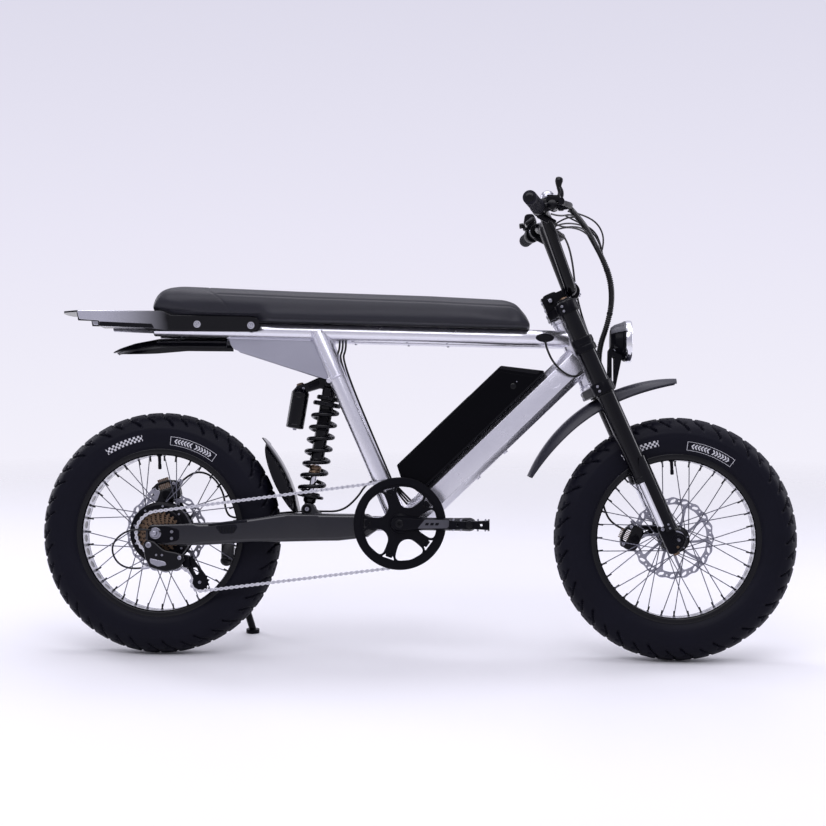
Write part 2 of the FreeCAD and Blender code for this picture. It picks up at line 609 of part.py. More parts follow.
def make_frame():
    """Head tube, rails, down tube, struts, crank shell and tail plates."""
    gap = S["weld_gap"]
    tube = primitive("Cylinder", "head_outer",
                     along(HEAD_MIDDLE - STEER_UP * S["head_below"], STEER_UP),
                     Radius="head_radius", Height="head_below + head_above")
    low_cup = primitive("Cylinder", "head_cup_low",
                        along(HEAD_MIDDLE - STEER_UP * (S["head_below"] + S["cup_height"]), STEER_UP),
                        Radius="cup_radius", Height="cup_height")
    top_cup = primitive("Cylinder", "head_cup_top",
                        along(HEAD_MIDDLE + STEER_UP * S["head_above"], STEER_UP),
                        Radius="cup_radius", Height="cup_height")
    outer = boolean("MultiFuse", "head_body", [tube, low_cup, top_cup])
    bore = primitive("Cylinder", "head_hollow",
                     along(HEAD_MIDDLE - STEER_UP * (S["head_below"] + 50), STEER_UP),
                     Radius="head_bore", Height="head_below + head_above + 100")
    parked(boolean("Cut", "head_tube", [outer, bore]), "head_tube")

    rear, bend = rail_axis(S["rail_rear"]), rail_axis(S["rail_bend"])
    front_x = HEAD_MIDDLE.x - 19
    front = V(front_x, -21, rail_axis(front_x).z)
    radius = S["rail_radius"]
    rail = bent_bar([rear, bend, front], radius, S["rail_bend_radius"])
    middle_cut = block(V(-500, 0, 0), V(2000, 400, 2000))
    half_rail = rail.cut(middle_cut)
    rails = fused([half_rail, mirrored(half_rail)])
    rails = rails.cut(head_solid(gap))
    cup_clear = rod(HEAD_MIDDLE + STEER_UP * (S["head_above"] - gap),
                    HEAD_MIDDLE + STEER_UP * (S["head_above"] + 60), S["cup_radius"] + 14)
    ahead = block(V(0, -60, -400), V(200, 60, 400))
    ahead = moved(ahead, STEER)
    rails = rails.cut([cup_clear, ahead])
    feature("top_rails", [rails])

    low, run, upward = tube_frame()
    half_h, half_w, cut = S["down_tube_height"] / 2, S["down_tube_width"] / 2, S["down_tube_chamfer"]
    section = [(-half_w + cut, -half_h), (half_w - cut, -half_h), (half_w, -half_h + cut),
               (half_w, half_h - cut), (half_w - cut, half_h), (-half_w + cut, half_h),
               (-half_w, half_h - cut), (-half_w, -half_h + cut)]
    unit = V(run).normalize()
    wire = outline(section, lambda y, z: low + V(0, y, 0) + upward * z)
    tube = Part.Face(wire).extrude(run)
    crank_clear = across(CRANK, -200, 200, S["bb_radius"] + gap)
    tube = tube.cut([head_solid(gap), moved(block(V(0, -60, -400), V(200, 60, 400)), STEER),
                     rails, crank_clear])
    solids = sorted(tube.Solids, key=lambda solid: -solid.Volume)
    tube = solids[0]
    for place in (0.34, 0.50):
        boss_place = low + run * place - upward * half_h
        boss = rod(boss_place + upward * 4, boss_place - upward * 4, 6)
        hole = rod(boss_place + upward * 6, boss_place - upward * 5, 2.6)
        tube = fused([tube, boss]).cut(hole)
    feature("down_tube", [tube])

    pack = doc.addObject("PartDesign::Body", "battery")
    pad = pack.newObject("PartDesign::Pad", "battery_pad")
    pad.Profile = drawn(pack, "XZ_Plane", [
        ("battery_start", "down_tube_height / 2 + weld_gap"),
        ("battery_start + battery_length", "down_tube_height / 2 + weld_gap"),
        ("battery_start + battery_length - battery_nose", "down_tube_height / 2 + battery_height"),
        ("battery_start + battery_heel", "down_tube_height / 2 + battery_height"),
        ("battery_start + 6", "down_tube_height / 2 + battery_heel"),
    ])
    pad.SideType = "Symmetric"
    pad.setExpression("Length", formula("battery_width"))
    pack.Tip = pad
    parked(pack, "battery", Placement(low, Rotation(unit, Y_AXIS, upward, "ZXY")))

    strut_top, strut_low = strut_ends()
    strut = rod(strut_top, strut_low, S["strut_radius"])
    strut = strut.cut([rails_room(gap), across(CRANK, -200, 200, S["bb_radius"] + gap),
                       tube, arm_room(), pivot_bracket(gap)])
    strut = sorted(strut.Solids, key=lambda solid: -solid.Volume)[0]
    inner = S["shock_eye_radius"] - 1
    crossbar = across(SHOCK_TOP, -60, 60, S["shock_pin_radius"])
    ear = side_plate([(SHOCK_TOP.x - 12, SHOCK_TOP.z - 12), (SHOCK_TOP.x + 22, SHOCK_TOP.z - 14),
                      (SHOCK_TOP.x + 10, SHOCK_TOP.z + 16), (SHOCK_TOP.x - 12, SHOCK_TOP.z + 14)],
                     -40, -inner - 6)
    feature("seat_struts", [fused([strut, mirrored(strut), ear, mirrored(ear), crossbar])])

    shell = across(CRANK, -S["bb_half"], S["bb_half"], S["bb_radius"])
    cup = S["bb_half"] - S["bearing_cup"]
    shell_hollow = across(CRANK, -cup, cup, S["shell_bore"])
    axle_room = across(CRANK, -200, 200, S["crank_axle_radius"] + S["running_gap"])
    body = fused([shell, pivot_bracket(0)])
    body = body.cut([shell_hollow, axle_room, across(PIVOT, -40, 40, S["pivot_radius"] + gap)])
    pivot_shaft = across(PIVOT, -62, 62, S["pivot_radius"])
    feature("crank_shell", [body, pivot_shaft])

    wall = S["gusset_wall"] / 2
    left = rail_axis(160)
    low_end = strut_top + (strut_low - strut_top) * 0.23
    plate = side_plate([(left.x, left.z), (left.x + 10, left.z - 47), (low_end.x - 52, low_end.z - 3),
                        (strut_top.x, strut_top.z)],
                       -S["rail_spacing"] - wall, -S["rail_spacing"] + wall)
    plate = plate.cut([rails_room(gap), strut_room(gap)])
    plate = sorted(plate.Solids, key=lambda solid: -solid.Volume)[0]
    feature("tail_gussets", [plate, mirrored(plate)])


def tube_frame():
    """Down tube's lower end on its axis, its run to the head tube, and its upward direction."""
    low = V(S["down_tube_low_x"], 0, S["down_tube_low_z"])
    run = HEAD_MIDDLE - STEER_UP * 25 - low
    unit = V(run).normalize()
    return low, run, V(-unit.z, 0, unit.x)


def tube_top(distance):
    """Point on the middle of the down tube's top face, at a distance from its lower end."""
    low, run, upward = tube_frame()
    return low + upward * (S["down_tube_height"] / 2) + V(run).normalize() * distance


def pivot_bracket(gap):
    """Block between the crank shell and the swingarm pivot, grown by a clearance."""
    return side_plate([(PIVOT.x - 14, PIVOT.z - 16 - gap), (CRANK.x, CRANK.z - 18 - gap),
                       (CRANK.x, CRANK.z + 18 + gap), (PIVOT.x - 10, PIVOT.z + 18 + gap)],
                      -27 - gap, 27 + gap)


def rails_room(gap):
    """Space that both top rails take, with a clearance."""
    rear, bend = rail_axis(S["rail_rear"]), rail_axis(S["rail_bend"])
    bar = rod(rear, bend, S["rail_radius"] + gap)
    return fused([bar, mirrored(bar)])


def strut_room(gap):
    """Space that both seat struts take, with a clearance."""
    top, foot = strut_ends()
    bar = rod(top, foot, S["strut_radius"] + gap)
    return fused([bar, mirrored(bar)])


def arm_room():
    """Space behind the crank shell that the swingarm's front ends take."""
    return block(V(PIVOT.x - 60, -80, PIVOT.z - 60), V(PIVOT.x + 23, 80, PIVOT.z + 25))


def make_swingarm():
    """Swingarm: two bent box arms, a yoke with the pivot, and the rear axle."""
    gap = S["weld_gap"]
    inner, outer = S["arm_inner"], S["arm_outer"]
    front_in, front_out = S["arm_front_inner"], S["arm_front_outer"]
    plate = outer - S["dropout_wall"]
    end = PIVOT.x + 21
    plan = [(-28, -outer), (320, -outer), (392, -front_out), (end, -front_out), (end, -front_in),
            (384, -front_in), (306, -inner), (112, -inner), (92, -plate), (-28, -plate)]
    side = [(-20, 316), (30, 318), (138, 322), (240, 336), (310, S["arm_top"]),
            (PIVOT.x - 20, S["arm_top"]),
            (PIVOT.x + 21, PIVOT.z), (PIVOT.x - 20, 290), (440, 282), (231, 277), (110, 268),
            (30, 268), (-22, 276)]
    side_body = side_plate(side, -outer - 5, -front_in + 5)
    plan_body = top_plate(plan, 200, 400)
    arm = side_body.common(plan_body)
    arm = arm.cut([across(PIVOT, -200, 200, S["pivot_radius"] + gap),
                   across(REAR_AXLE, -200, 200, S["axle_radius"] + gap)])
    feature("swingarm_right", [arm])
    left = mirrored(arm)
    direction = stand_axis()
    boss_start = STAND - direction * 40
    boss = rod(boss_start, STAND - direction * 13.5, 14)
    web = block(V(STAND.x - 16, outer - 12, STAND.z - 26), V(STAND.x + 16, outer - 0.5, 280))
    pin = rod(boss_start, STAND + direction * 15, S["stand_radius"] - 3)
    head = rod(STAND + direction * 13.5, STAND + direction * 17, S["stand_radius"] + 2)
    feature("swingarm_left", [fused([left, web, boss, pin, head])])

    room = [across(PIVOT, -200, 200, S["pivot_radius"] + gap)]
    bridge = block(V(392, -front_in + gap, 292), V(470, front_in - gap, 344))
    ears = []
    for side_sign in (-1, 1):
        low, high = sorted((side_sign * 15, side_sign * 21))
        ears.append(side_plate([(SHOCK_LOW.x - 15, SHOCK_LOW.z), (SHOCK_LOW.x - 11, SHOCK_LOW.z - 30),
                                (400, 300), (400, 343), (SHOCK_LOW.x + 20, SHOCK_LOW.z),
                                (SHOCK_LOW.x + 2, SHOCK_LOW.z + 15, SHOCK_LOW.x - 15, SHOCK_LOW.z)],
                               low, high))
    pin = across(SHOCK_LOW, -21, 21, S["shock_pin_radius"])
    feature("swingarm_yoke", [fused([bridge] + ears + [pin]).cut(room)])

    reach = outer + 22
    pieces = [bar("rear_axle_bar", REAR_AXLE - Y_AXIS * reach, Y_AXIS, "axle_radius",
                  "2 * (arm_outer + 22)")]
    for sign in (-1, 1):
        pieces.append(bar("rear_axle_nut", REAR_AXLE + Y_AXIS * sign * (outer + gap), Y_AXIS * sign,
                          "axle_nut", "13 - weld_gap"))
    parked(boolean("MultiFuse", "rear_axle", pieces), "rear_axle")


def make_shock():
    """Coil-over shock with its piggyback reservoir."""
    axis = SHOCK_TOP - SHOCK_LOW
    unit = V(axis).normalize()
    gap = S["weld_gap"]
    eye, pin = S["shock_eye_radius"], S["shock_pin_radius"] + gap
    pieces = [
        across(SHOCK_LOW, -14, 14, eye),
        rod(SHOCK_LOW, SHOCK_LOW + unit * 40, 13),
        rod(SHOCK_LOW + unit * 28, SHOCK_LOW + unit * 36, S["spring_radius"] + 3),
        rod(SHOCK_LOW + unit * 30, SHOCK_TOP - unit * 30, 8),
        rod(SHOCK_LOW + unit * 116, SHOCK_TOP - unit * 10, 17),
        rod(SHOCK_TOP - unit * 62, SHOCK_TOP - unit * 50, S["spring_radius"] + 4),
        across(SHOCK_TOP, -11, 11, eye),
    ]
    head = SHOCK_TOP - unit * 14
    tank_top = V(SHOCK_TOP.x - 74, 0, SHOCK_TOP.z - 20)
    tank_low = V(SHOCK_TOP.x - 89, 0, SHOCK_TOP.z - 116)
    pieces += [rod(head + V(-4, 0, 6), tank_top + V(4, 0, 4), 11), rod(tank_top, tank_low,
               S["reservoir_radius"]), rod(tank_top, tank_top + V(-4, 0, 16), 9)]
    shock = fused(pieces)
    shock = shock.cut([across(SHOCK_LOW, -60, 60, pin), across(SHOCK_TOP, -60, 60, pin),
                       strut_room(gap)])
    solids = sorted(shock.Solids, key=lambda solid: -solid.Volume)
    feature("shock", [solids[0]])

    start = SHOCK_LOW + unit * (36 + S["spring_wire"] + gap)
    length = axis.Length - 36 - 62 - 2 * (S["spring_wire"] + gap)
    turns = S["spring_turns"]
    helix = Part.makeHelix(length / turns, length, S["spring_radius"])
    circle = Part.Circle(V(S["spring_radius"], 0, 0), V(0, 1, 0.08), S["spring_wire"]).toShape()
    coil = helix.makePipeShell([Part.Wire(circle)], True, True)
    coil = moved(coil, along(start, axis))
    feature("shock_spring", [coil])


def chain_outline(grow):
    """Chain loop seen from the side: chainring, sprocket and the derailleur's low pulley."""
    ring_r, cog_r, pulley_r = (S["ring_pitch"] + grow, S["cog_pitch"] + grow, 22 + grow)
    pulley = V(106, 0, 178)
    ring_c, cog_c = V(CRANK), V(REAR_AXLE)

    def tangent(one, one_r, two, two_r, sign):
        """Points where a straight run leaves one circle and meets another on one side."""
        run = two - one
        base = math.atan2(run.z, run.x)
        lean = math.acos((one_r - two_r) / run.Length) * sign
        direction = V(math.cos(base + lean), 0, math.sin(base + lean))
        return one + direction * one_r, two + direction * two_r

    up_cog, up_ring = tangent(cog_c, cog_r, ring_c, ring_r, 1)
    low_pulley, low_ring = tangent(pulley, pulley_r, ring_c, ring_r, -1)
    back = V(cog_c.x - cog_r, 0, cog_c.z)
    return [(up_cog.x, up_cog.z), (up_ring.x, up_ring.z),
            (ring_c.x + ring_r, ring_c.z, low_ring.x, low_ring.z),
            (low_pulley.x, low_pulley.z),
            (pulley.x - pulley_r * 0.93, pulley.z - pulley_r * 0.37,
             pulley.x - pulley_r * 0.7, pulley.z + pulley_r * 0.71),
            (cog_c.x + 12 - grow * 0.4, cog_c.z - cog_r * 0.97),
            (back.x, back.z, up_cog.x, up_cog.z)]


def make_drive():
    """Chain, derailleur, crankset and pedals."""
    side, half = S["chain_line"], S["chain_half_width"]
    tall = S["chain_half_height"]
    outer = side_plate(chain_outline(tall), -side - half, -side + half)
    hollow = side_plate(chain_outline(-tall), -side - half - 1, -side + half + 1)
    feature("chain", [outer.cut(hollow)])

    arm = S["crank_place"]
    thick = S["crank_thickness"]
    inner_ring = S["ring_pitch"] - tall - 0.8
    disc_face = -side - 1.5
    toothed = ring([(74, disc_face), (inner_ring, disc_face), (inner_ring, disc_face + 3),
                    (74, disc_face + 3)], CRANK)
    cover = ring([(82, -side - 10), (S["guard_radius"], -side - 10), (S["guard_radius"], -side - 7),
                  (82, -side - 7)], CRANK)
    pieces = [toothed, cover, across(CRANK, -arm - thick, arm + thick, S["crank_axle_radius"]),
              across(CRANK, -arm - 2, -side + 2, 24)]
    for number in range(5):
        spider = block(V(0, -side - 10, -8), V(90, disc_face + 3, 8))
        spider.rotate(V(0, 0, 0), Y_AXIS, 36 + 72 * number)
        spider.translate(CRANK)
        pieces.append(spider)
    reach = S["crank_length"]
    for sign in (-1, 1):
        face, far = sorted((sign * arm, sign * (arm + thick)))
        tip = V(CRANK.x - sign * reach, 0, CRANK.z)
        left, right = sorted((CRANK.x, tip.x))
        bar = side_plate([(left, CRANK.z - 14), (right, CRANK.z - 14),
                          (right + 14, CRANK.z, right, CRANK.z + 14), (left, CRANK.z + 14),
                          (left - 14, CRANK.z, left, CRANK.z - 14)], face, far)
        spindle = across(tip, sign * (arm + 2), sign * (arm + thick + 6 + S["pedal_length"] - 8),
                         S["pedal_axle_radius"])
        pieces += [bar, spindle]
    feature("crankset", [fused(pieces)])

    depth, thin, length = S["pedal_depth"] / 2, S["pedal_thickness"] / 2, S["pedal_length"]
    for name, sign in (("pedal_right", -1), ("pedal_left", 1)):
        tip = V(CRANK.x - sign * reach, 0, CRANK.z)
        low, high = sorted((sign * (arm + thick + 6), sign * (arm + thick + 6 + length)))
        body = side_plate([(tip.x - depth, tip.z - thin + 3), (tip.x - depth + 3, tip.z - thin),
                           (tip.x + depth - 3, tip.z - thin), (tip.x + depth, tip.z - thin + 3),
                           (tip.x + depth, tip.z + thin - 3), (tip.x + depth - 3, tip.z + thin),
                           (tip.x - depth + 3, tip.z + thin), (tip.x - depth, tip.z + thin - 3)],
                          low, high)
        window = []
        for place in (-1, 1):
            for number in range(2):
                start = low + 14 + number * (length - 28 + 8) / 2
                near, far = sorted((tip.x + place * 14, tip.x + place * (depth - 8)))
                window.append(block(V(near, start, tip.z - 40),
                                    V(far, start + (length - 28 - 8) / 2, tip.z + 40)))
        bore = across(tip, sign * (arm + thick - 20), sign * (arm + thick + 6 + length - 6),
                      S["pedal_axle_radius"] + S["running_gap"])
        feature(name, [body.cut(window + [bore])])

    hanger = V(-14, 0, 268)
    cage = V(60, 0, 240)
    pulley = V(106, 0, 178)
    mech = [
        rod(V(hanger.x, -S["arm_outer"] - S["weld_gap"], hanger.z), V(hanger.x, -112, hanger.z), 12),
        rod(V(hanger.x, -106, hanger.z), V(cage.x, -106, cage.z), 8),
        side_plate([(cage.x - 14, cage.z + 10), (cage.x + 12, cage.z + 14),
                    (pulley.x + 14, pulley.z), (pulley.x + 6, pulley.z - 40),
                    (pulley.x - 28, pulley.z - 34), (pulley.x - 24, pulley.z + 4)], -88, -85),
        rod(V(cage.x, -112, cage.z), V(cage.x, -85, cage.z), 10),
        across(pulley, -86, -side - half - 0.3, 9),
    ]
    feature("derailleur", [fused(mech)])


def make_tail():
    """Seat, tail rack, rear fender and the mudguard ahead of the rear wheel."""
    gap = S["weld_gap"]
    rear, half = S["seat_rear"], S["seat_half_width"]
    front = HEAD_MIDDLE.x - S["seat_setback"]
    height = S["seat_height"]

    def rail_top(x):
        """Height where the seat lies on the rails."""
        return rail_axis(x).z + S["rail_radius"] + gap

    base = [(front, rail_top(front)), (front - 6, rail_top(front) + 22),
            (front - 25, rail_top(front) + height - 20, front - 52, rail_top(front) + height - 10),
            (rear + 40, rail_top(rear) + height), (rear + 6, rail_top(rear) + height - 14,
                                                   rear, rail_top(rear) + height - 36),
            (rear, rail_top(rear) + 18), (rear + 62, rail_top(rear + 62)), ]
    pad = side_plate(base, -half, half)
    feature("seat", [pad])

    tail, side, top = S["rack_rear"], S["rack_half_width"], S["rack_height"]
    wall, flange = S["rack_wall"], S["rack_flange"]
    end = rear - 2
    plate = top_plate([(end, -side), (end, side), (tail + 45, side), (tail + 8, side - 30),
                       (tail, 0, tail + 8, 30 - side), (tail + 45, -side)], top - wall, top)
    pieces = [plate]
    for sign in (-1, 1):
        low, high = sorted((sign * side, sign * (side - wall)))
        reach = S["rack_arm_reach"]
        arm_low, arm_top = rail_axis(100).z - 8, rail_axis(100).z + 17
        lip = side_plate([(tail + 45, top - 1), (tail + 50, top - flange), (-70, top - flange - 4),
                          (-24, arm_low), (reach - 12, arm_low),
                          (reach, (arm_low + arm_top) / 2, reach - 12, arm_top), (20, arm_top),
                          (end, top - 6), (end, top - 1)], low, high)
        pieces.append(lip)
        for place in (91, 223):
            pieces.append(rod(V(place, sign * (side - 1), rail_axis(place).z),
                              V(place, sign * (S["rail_spacing"] + S["rail_radius"] - 3),
                                rail_axis(place).z), 7))
    box = block(V(-162, -40, top - 34), V(end - 14, 40, top - wall / 2))
    holes = [rod(V(x, sign * S["rack_hole_spread"], top - wall - 1),
                 V(x, sign * S["rack_hole_spread"], top + 1), S["rack_hole"])
             for x in (S["rack_hole_x"], S["rack_hole_x"] - 100) for sign in (-1, 1)]
    rack = fused(pieces + [box]).cut([rails_room(gap)] + holes)
    feature("tail_rack", [rack])

    under = rail_axis(0).z - S["rail_radius"] - 1.5
    skin = [(162, under - 1), (-11, under), (-70, under - 6, -122, under - 32), (-124, under - 35),
            (-70, under - 10, -11, under - 4), (162, under - 5)]
    skirt = [(162, under - 1), (-11, under), (-70, under - 6, -122, under - 32),
             (-75, under - 34, -30, under - 33), (44, under - 26), (162, under - 26)]
    width = 62
    fender = [side_plate(skin, -width, width)]
    for sign in (-1, 1):
        low, high = sorted((sign * width, sign * (width - S["fender_wall"])))
        fender.append(side_plate(skirt, low, high))
    feature("rear_fender", [fused(fender).cut(rails_room(gap))])

    outer, wall, wide = S["hugger_radius"], S["fender_wall"], S["hugger_half"]
    seat_angle = math.degrees(math.asin((S["arm_top"] + gap - REAR_AXLE.z) / (outer - wall)))
    guard = [ring([(outer - wall, -wide), (outer, -wide), (outer, wide), (outer - wall, wide)],
                  REAR_AXLE, seat_angle, S["hugger_sweep"])]
    for sign in (-1, 1):
        low, high = sorted((sign * wide, sign * (wide - wall)))
        guard.append(ring([(outer - 34, low), (outer, low), (outer, high), (outer - 34, high)],
                          REAR_AXLE, seat_angle + 6.5, S["hugger_sweep"] - 7.5))
    feature("rear_hugger", [fused(guard)])


def make_fork():
    """Crowns, outer tubes, lower legs, guards and the front axle."""
    gap = S["weld_gap"]
    lead, leg = S["leg_lead"], S["leg_spacing"]
    tube, inner = S["outer_tube_radius"], S["stanchion_radius"]
    tall = S["crown_height"]
    low_top = -S["head_below"] - S["cup_height"] - 0.3
    high_low = S["head_above"] + S["cup_height"] + 0.3

    def crown(low, depth_back, hole):
        """Fork crown: a plate round both legs and the steerer, with taller leg collars."""
        r_leg = tube + S["collar_wall"]
        plate = [(depth_back, -40), (lead - 12, -leg - r_leg + 6),
                 (lead, -leg - r_leg, lead + r_leg - 5, -leg - 14),
                 (lead + r_leg - 2, -leg + 12), (lead + 20, -45), (lead + 20, 45),
                 (lead + r_leg - 2, leg - 12), (lead + r_leg - 5, leg + 14),
                 (lead, leg + r_leg, lead - 12, leg + r_leg - 6), (depth_back, 40)]
        below = (S["collar_height"] - tall) / 2
        collars = [rod(V(lead, sign * leg, low - below), V(lead, sign * leg, low + tall + below), r_leg)
                   for sign in (-1, 1)]
        body = fused([top_plate(plate, low, low + tall)] + collars)
        holes = [rod(V(lead, sign * leg, low - 20), V(lead, sign * leg, low + tall + 20), tube + gap)
                 for sign in (-1, 1)]
        return body.cut(holes + hole)

    steerer = rod(V(0, 0, low_top - tall + 2), V(0, 0, high_low + tall + 44), S["steerer_radius"])
    lower = fused([crown(low_top - tall, -26, []), steerer])
    feature("lower_crown", [moved(lower, STEER)])
    bore = rod(V(0, 0, 0), V(0, 0, 300), S["steerer_radius"] + gap)
    upper = crown(high_low, -26, [bore])
    feature("upper_crown", [moved(upper, STEER)])

    tubes, bores, legs, guards = [], [], [], []
    for sign in (-1, 1):
        y = sign * leg
        up = Z_AXIS
        end = -S["outer_tube_end"]
        tubes += [
            bar("outer_tube", V(lead, y, end), up, "outer_tube_radius",
                "outer_tube_end + head_above + cup_height + crown_height + 8.3"),
            bar("bumper", V(lead, y, -16), up, "outer_tube_radius + 5", "34"),
            bar("leg_cap", V(lead, y, high_low + tall + 7), up, "outer_tube_radius - 4", "5"),
        ]
        bores.append(bar("tube_bore", V(lead, y, end - 1), up, "stanchion_radius + weld_gap",
                         "outer_tube_end - 59"))
        stanchion = rod(V(lead, y, -S["lug_top"] - 4), V(lead, y, -S["outer_tube_end"] + 90), inner)
        axle_s = -S["axle_drop"]
        near, far = sorted((y - sign * 21, y + sign * 14))
        lug = block(V(lead - 17, near, -545), V(lead + 17, far, -S["lug_top"]))
        boss = rod(V(S["axle_offset"], near, axle_s), V(S["axle_offset"], far, axle_s), 17)
        hole = rod(V(S["axle_offset"], -200, axle_s), V(S["axle_offset"], 200, axle_s),
                   S["axle_radius"] + gap)
        legs.append(fused([stanchion, lug, boss]).cut(hole))
        start = tube + S["guard_clearance"]
        shell = rod(V(lead, y, -S["lug_top"] - 20), V(lead, y, -S["guard_top"]), start + S["guard_wall"])
        shell = shell.cut([rod(V(lead, y, -600), V(lead, y, -200), start),
                           block(V(lead - 60, y - 60, -600), V(lead - 4, y + 60, -200))])
        inside = block(V(lead - 60, y - sign * 14 - 60, -600), V(lead + 60, y - sign * 14, -200)) \
            if sign > 0 else block(V(lead - 60, y + 14, -600), V(lead + 60, y + 74, -200))
        shell = shell.cut(inside)
        tab = block(V(lead, min(y, y + sign * (start + 1)), -S["lug_top"] - 18),
                    V(lead + 16, max(y, y + sign * (start + 1)), -S["lug_top"] - 4))
        guards.append(fused([shell, tab]).cut([lug, boss, stanchion]))
    bodies = boolean("MultiFuse", "tube_bodies", tubes)
    hollows = boolean("MultiFuse", "tube_bores", bores)
    parked(boolean("Cut", "fork_tubes", [bodies, hollows]), "fork_tubes", STEER)
    feature("lower_legs", [moved(shape, STEER) for shape in legs])
    feature("leg_guards", [moved(max(shape.Solids, key=lambda s: s.Volume), STEER) for shape in guards])
    reach = leg + 20
    pieces = [bar("front_axle_bar", FRONT_AXLE - Y_AXIS * reach, Y_AXIS, "axle_radius",
                  "2 * (leg_spacing + 20)")]
    for sign in (-1, 1):
        pieces.append(bar("front_axle_end", FRONT_AXLE + Y_AXIS * sign * (leg + 14 + gap),
                          Y_AXIS * sign, "front_axle_nut", "6 - weld_gap"))
    parked(boolean("MultiFuse", "front_axle", pieces), "front_axle")

    radius, half, wall = S["front_fender_radius"], S["front_fender_half"], S["fender_wall"]
    skirt = S["fender_skirt"]
    profile = [(radius - skirt, -half), (radius - wall - 1, -half + 4), (radius, 0,
               radius - wall - 1, half - 4), (radius - skirt, half), (radius - skirt - wall, half - 3),
               (radius - wall - 4, half - 8), (radius - wall, 0, radius - wall - 4, 8 - half),
               (radius - skirt - wall, 3 - half)]
    fender = ring(profile, FRONT_AXLE, 90, 68)
    crown_face = low_top - tall - gap
    stay = moved(block(V(lead - 20, -28, crown_face - 60), V(lead + 14, 28, crown_face)), STEER)
    room = ring([(0, -200), (radius - wall / 2, -200), (radius - wall / 2, 200), (0, 200)], FRONT_AXLE)
    stay = stay.cut(room)
    feature("front_fender", [fused([fender, stay])])


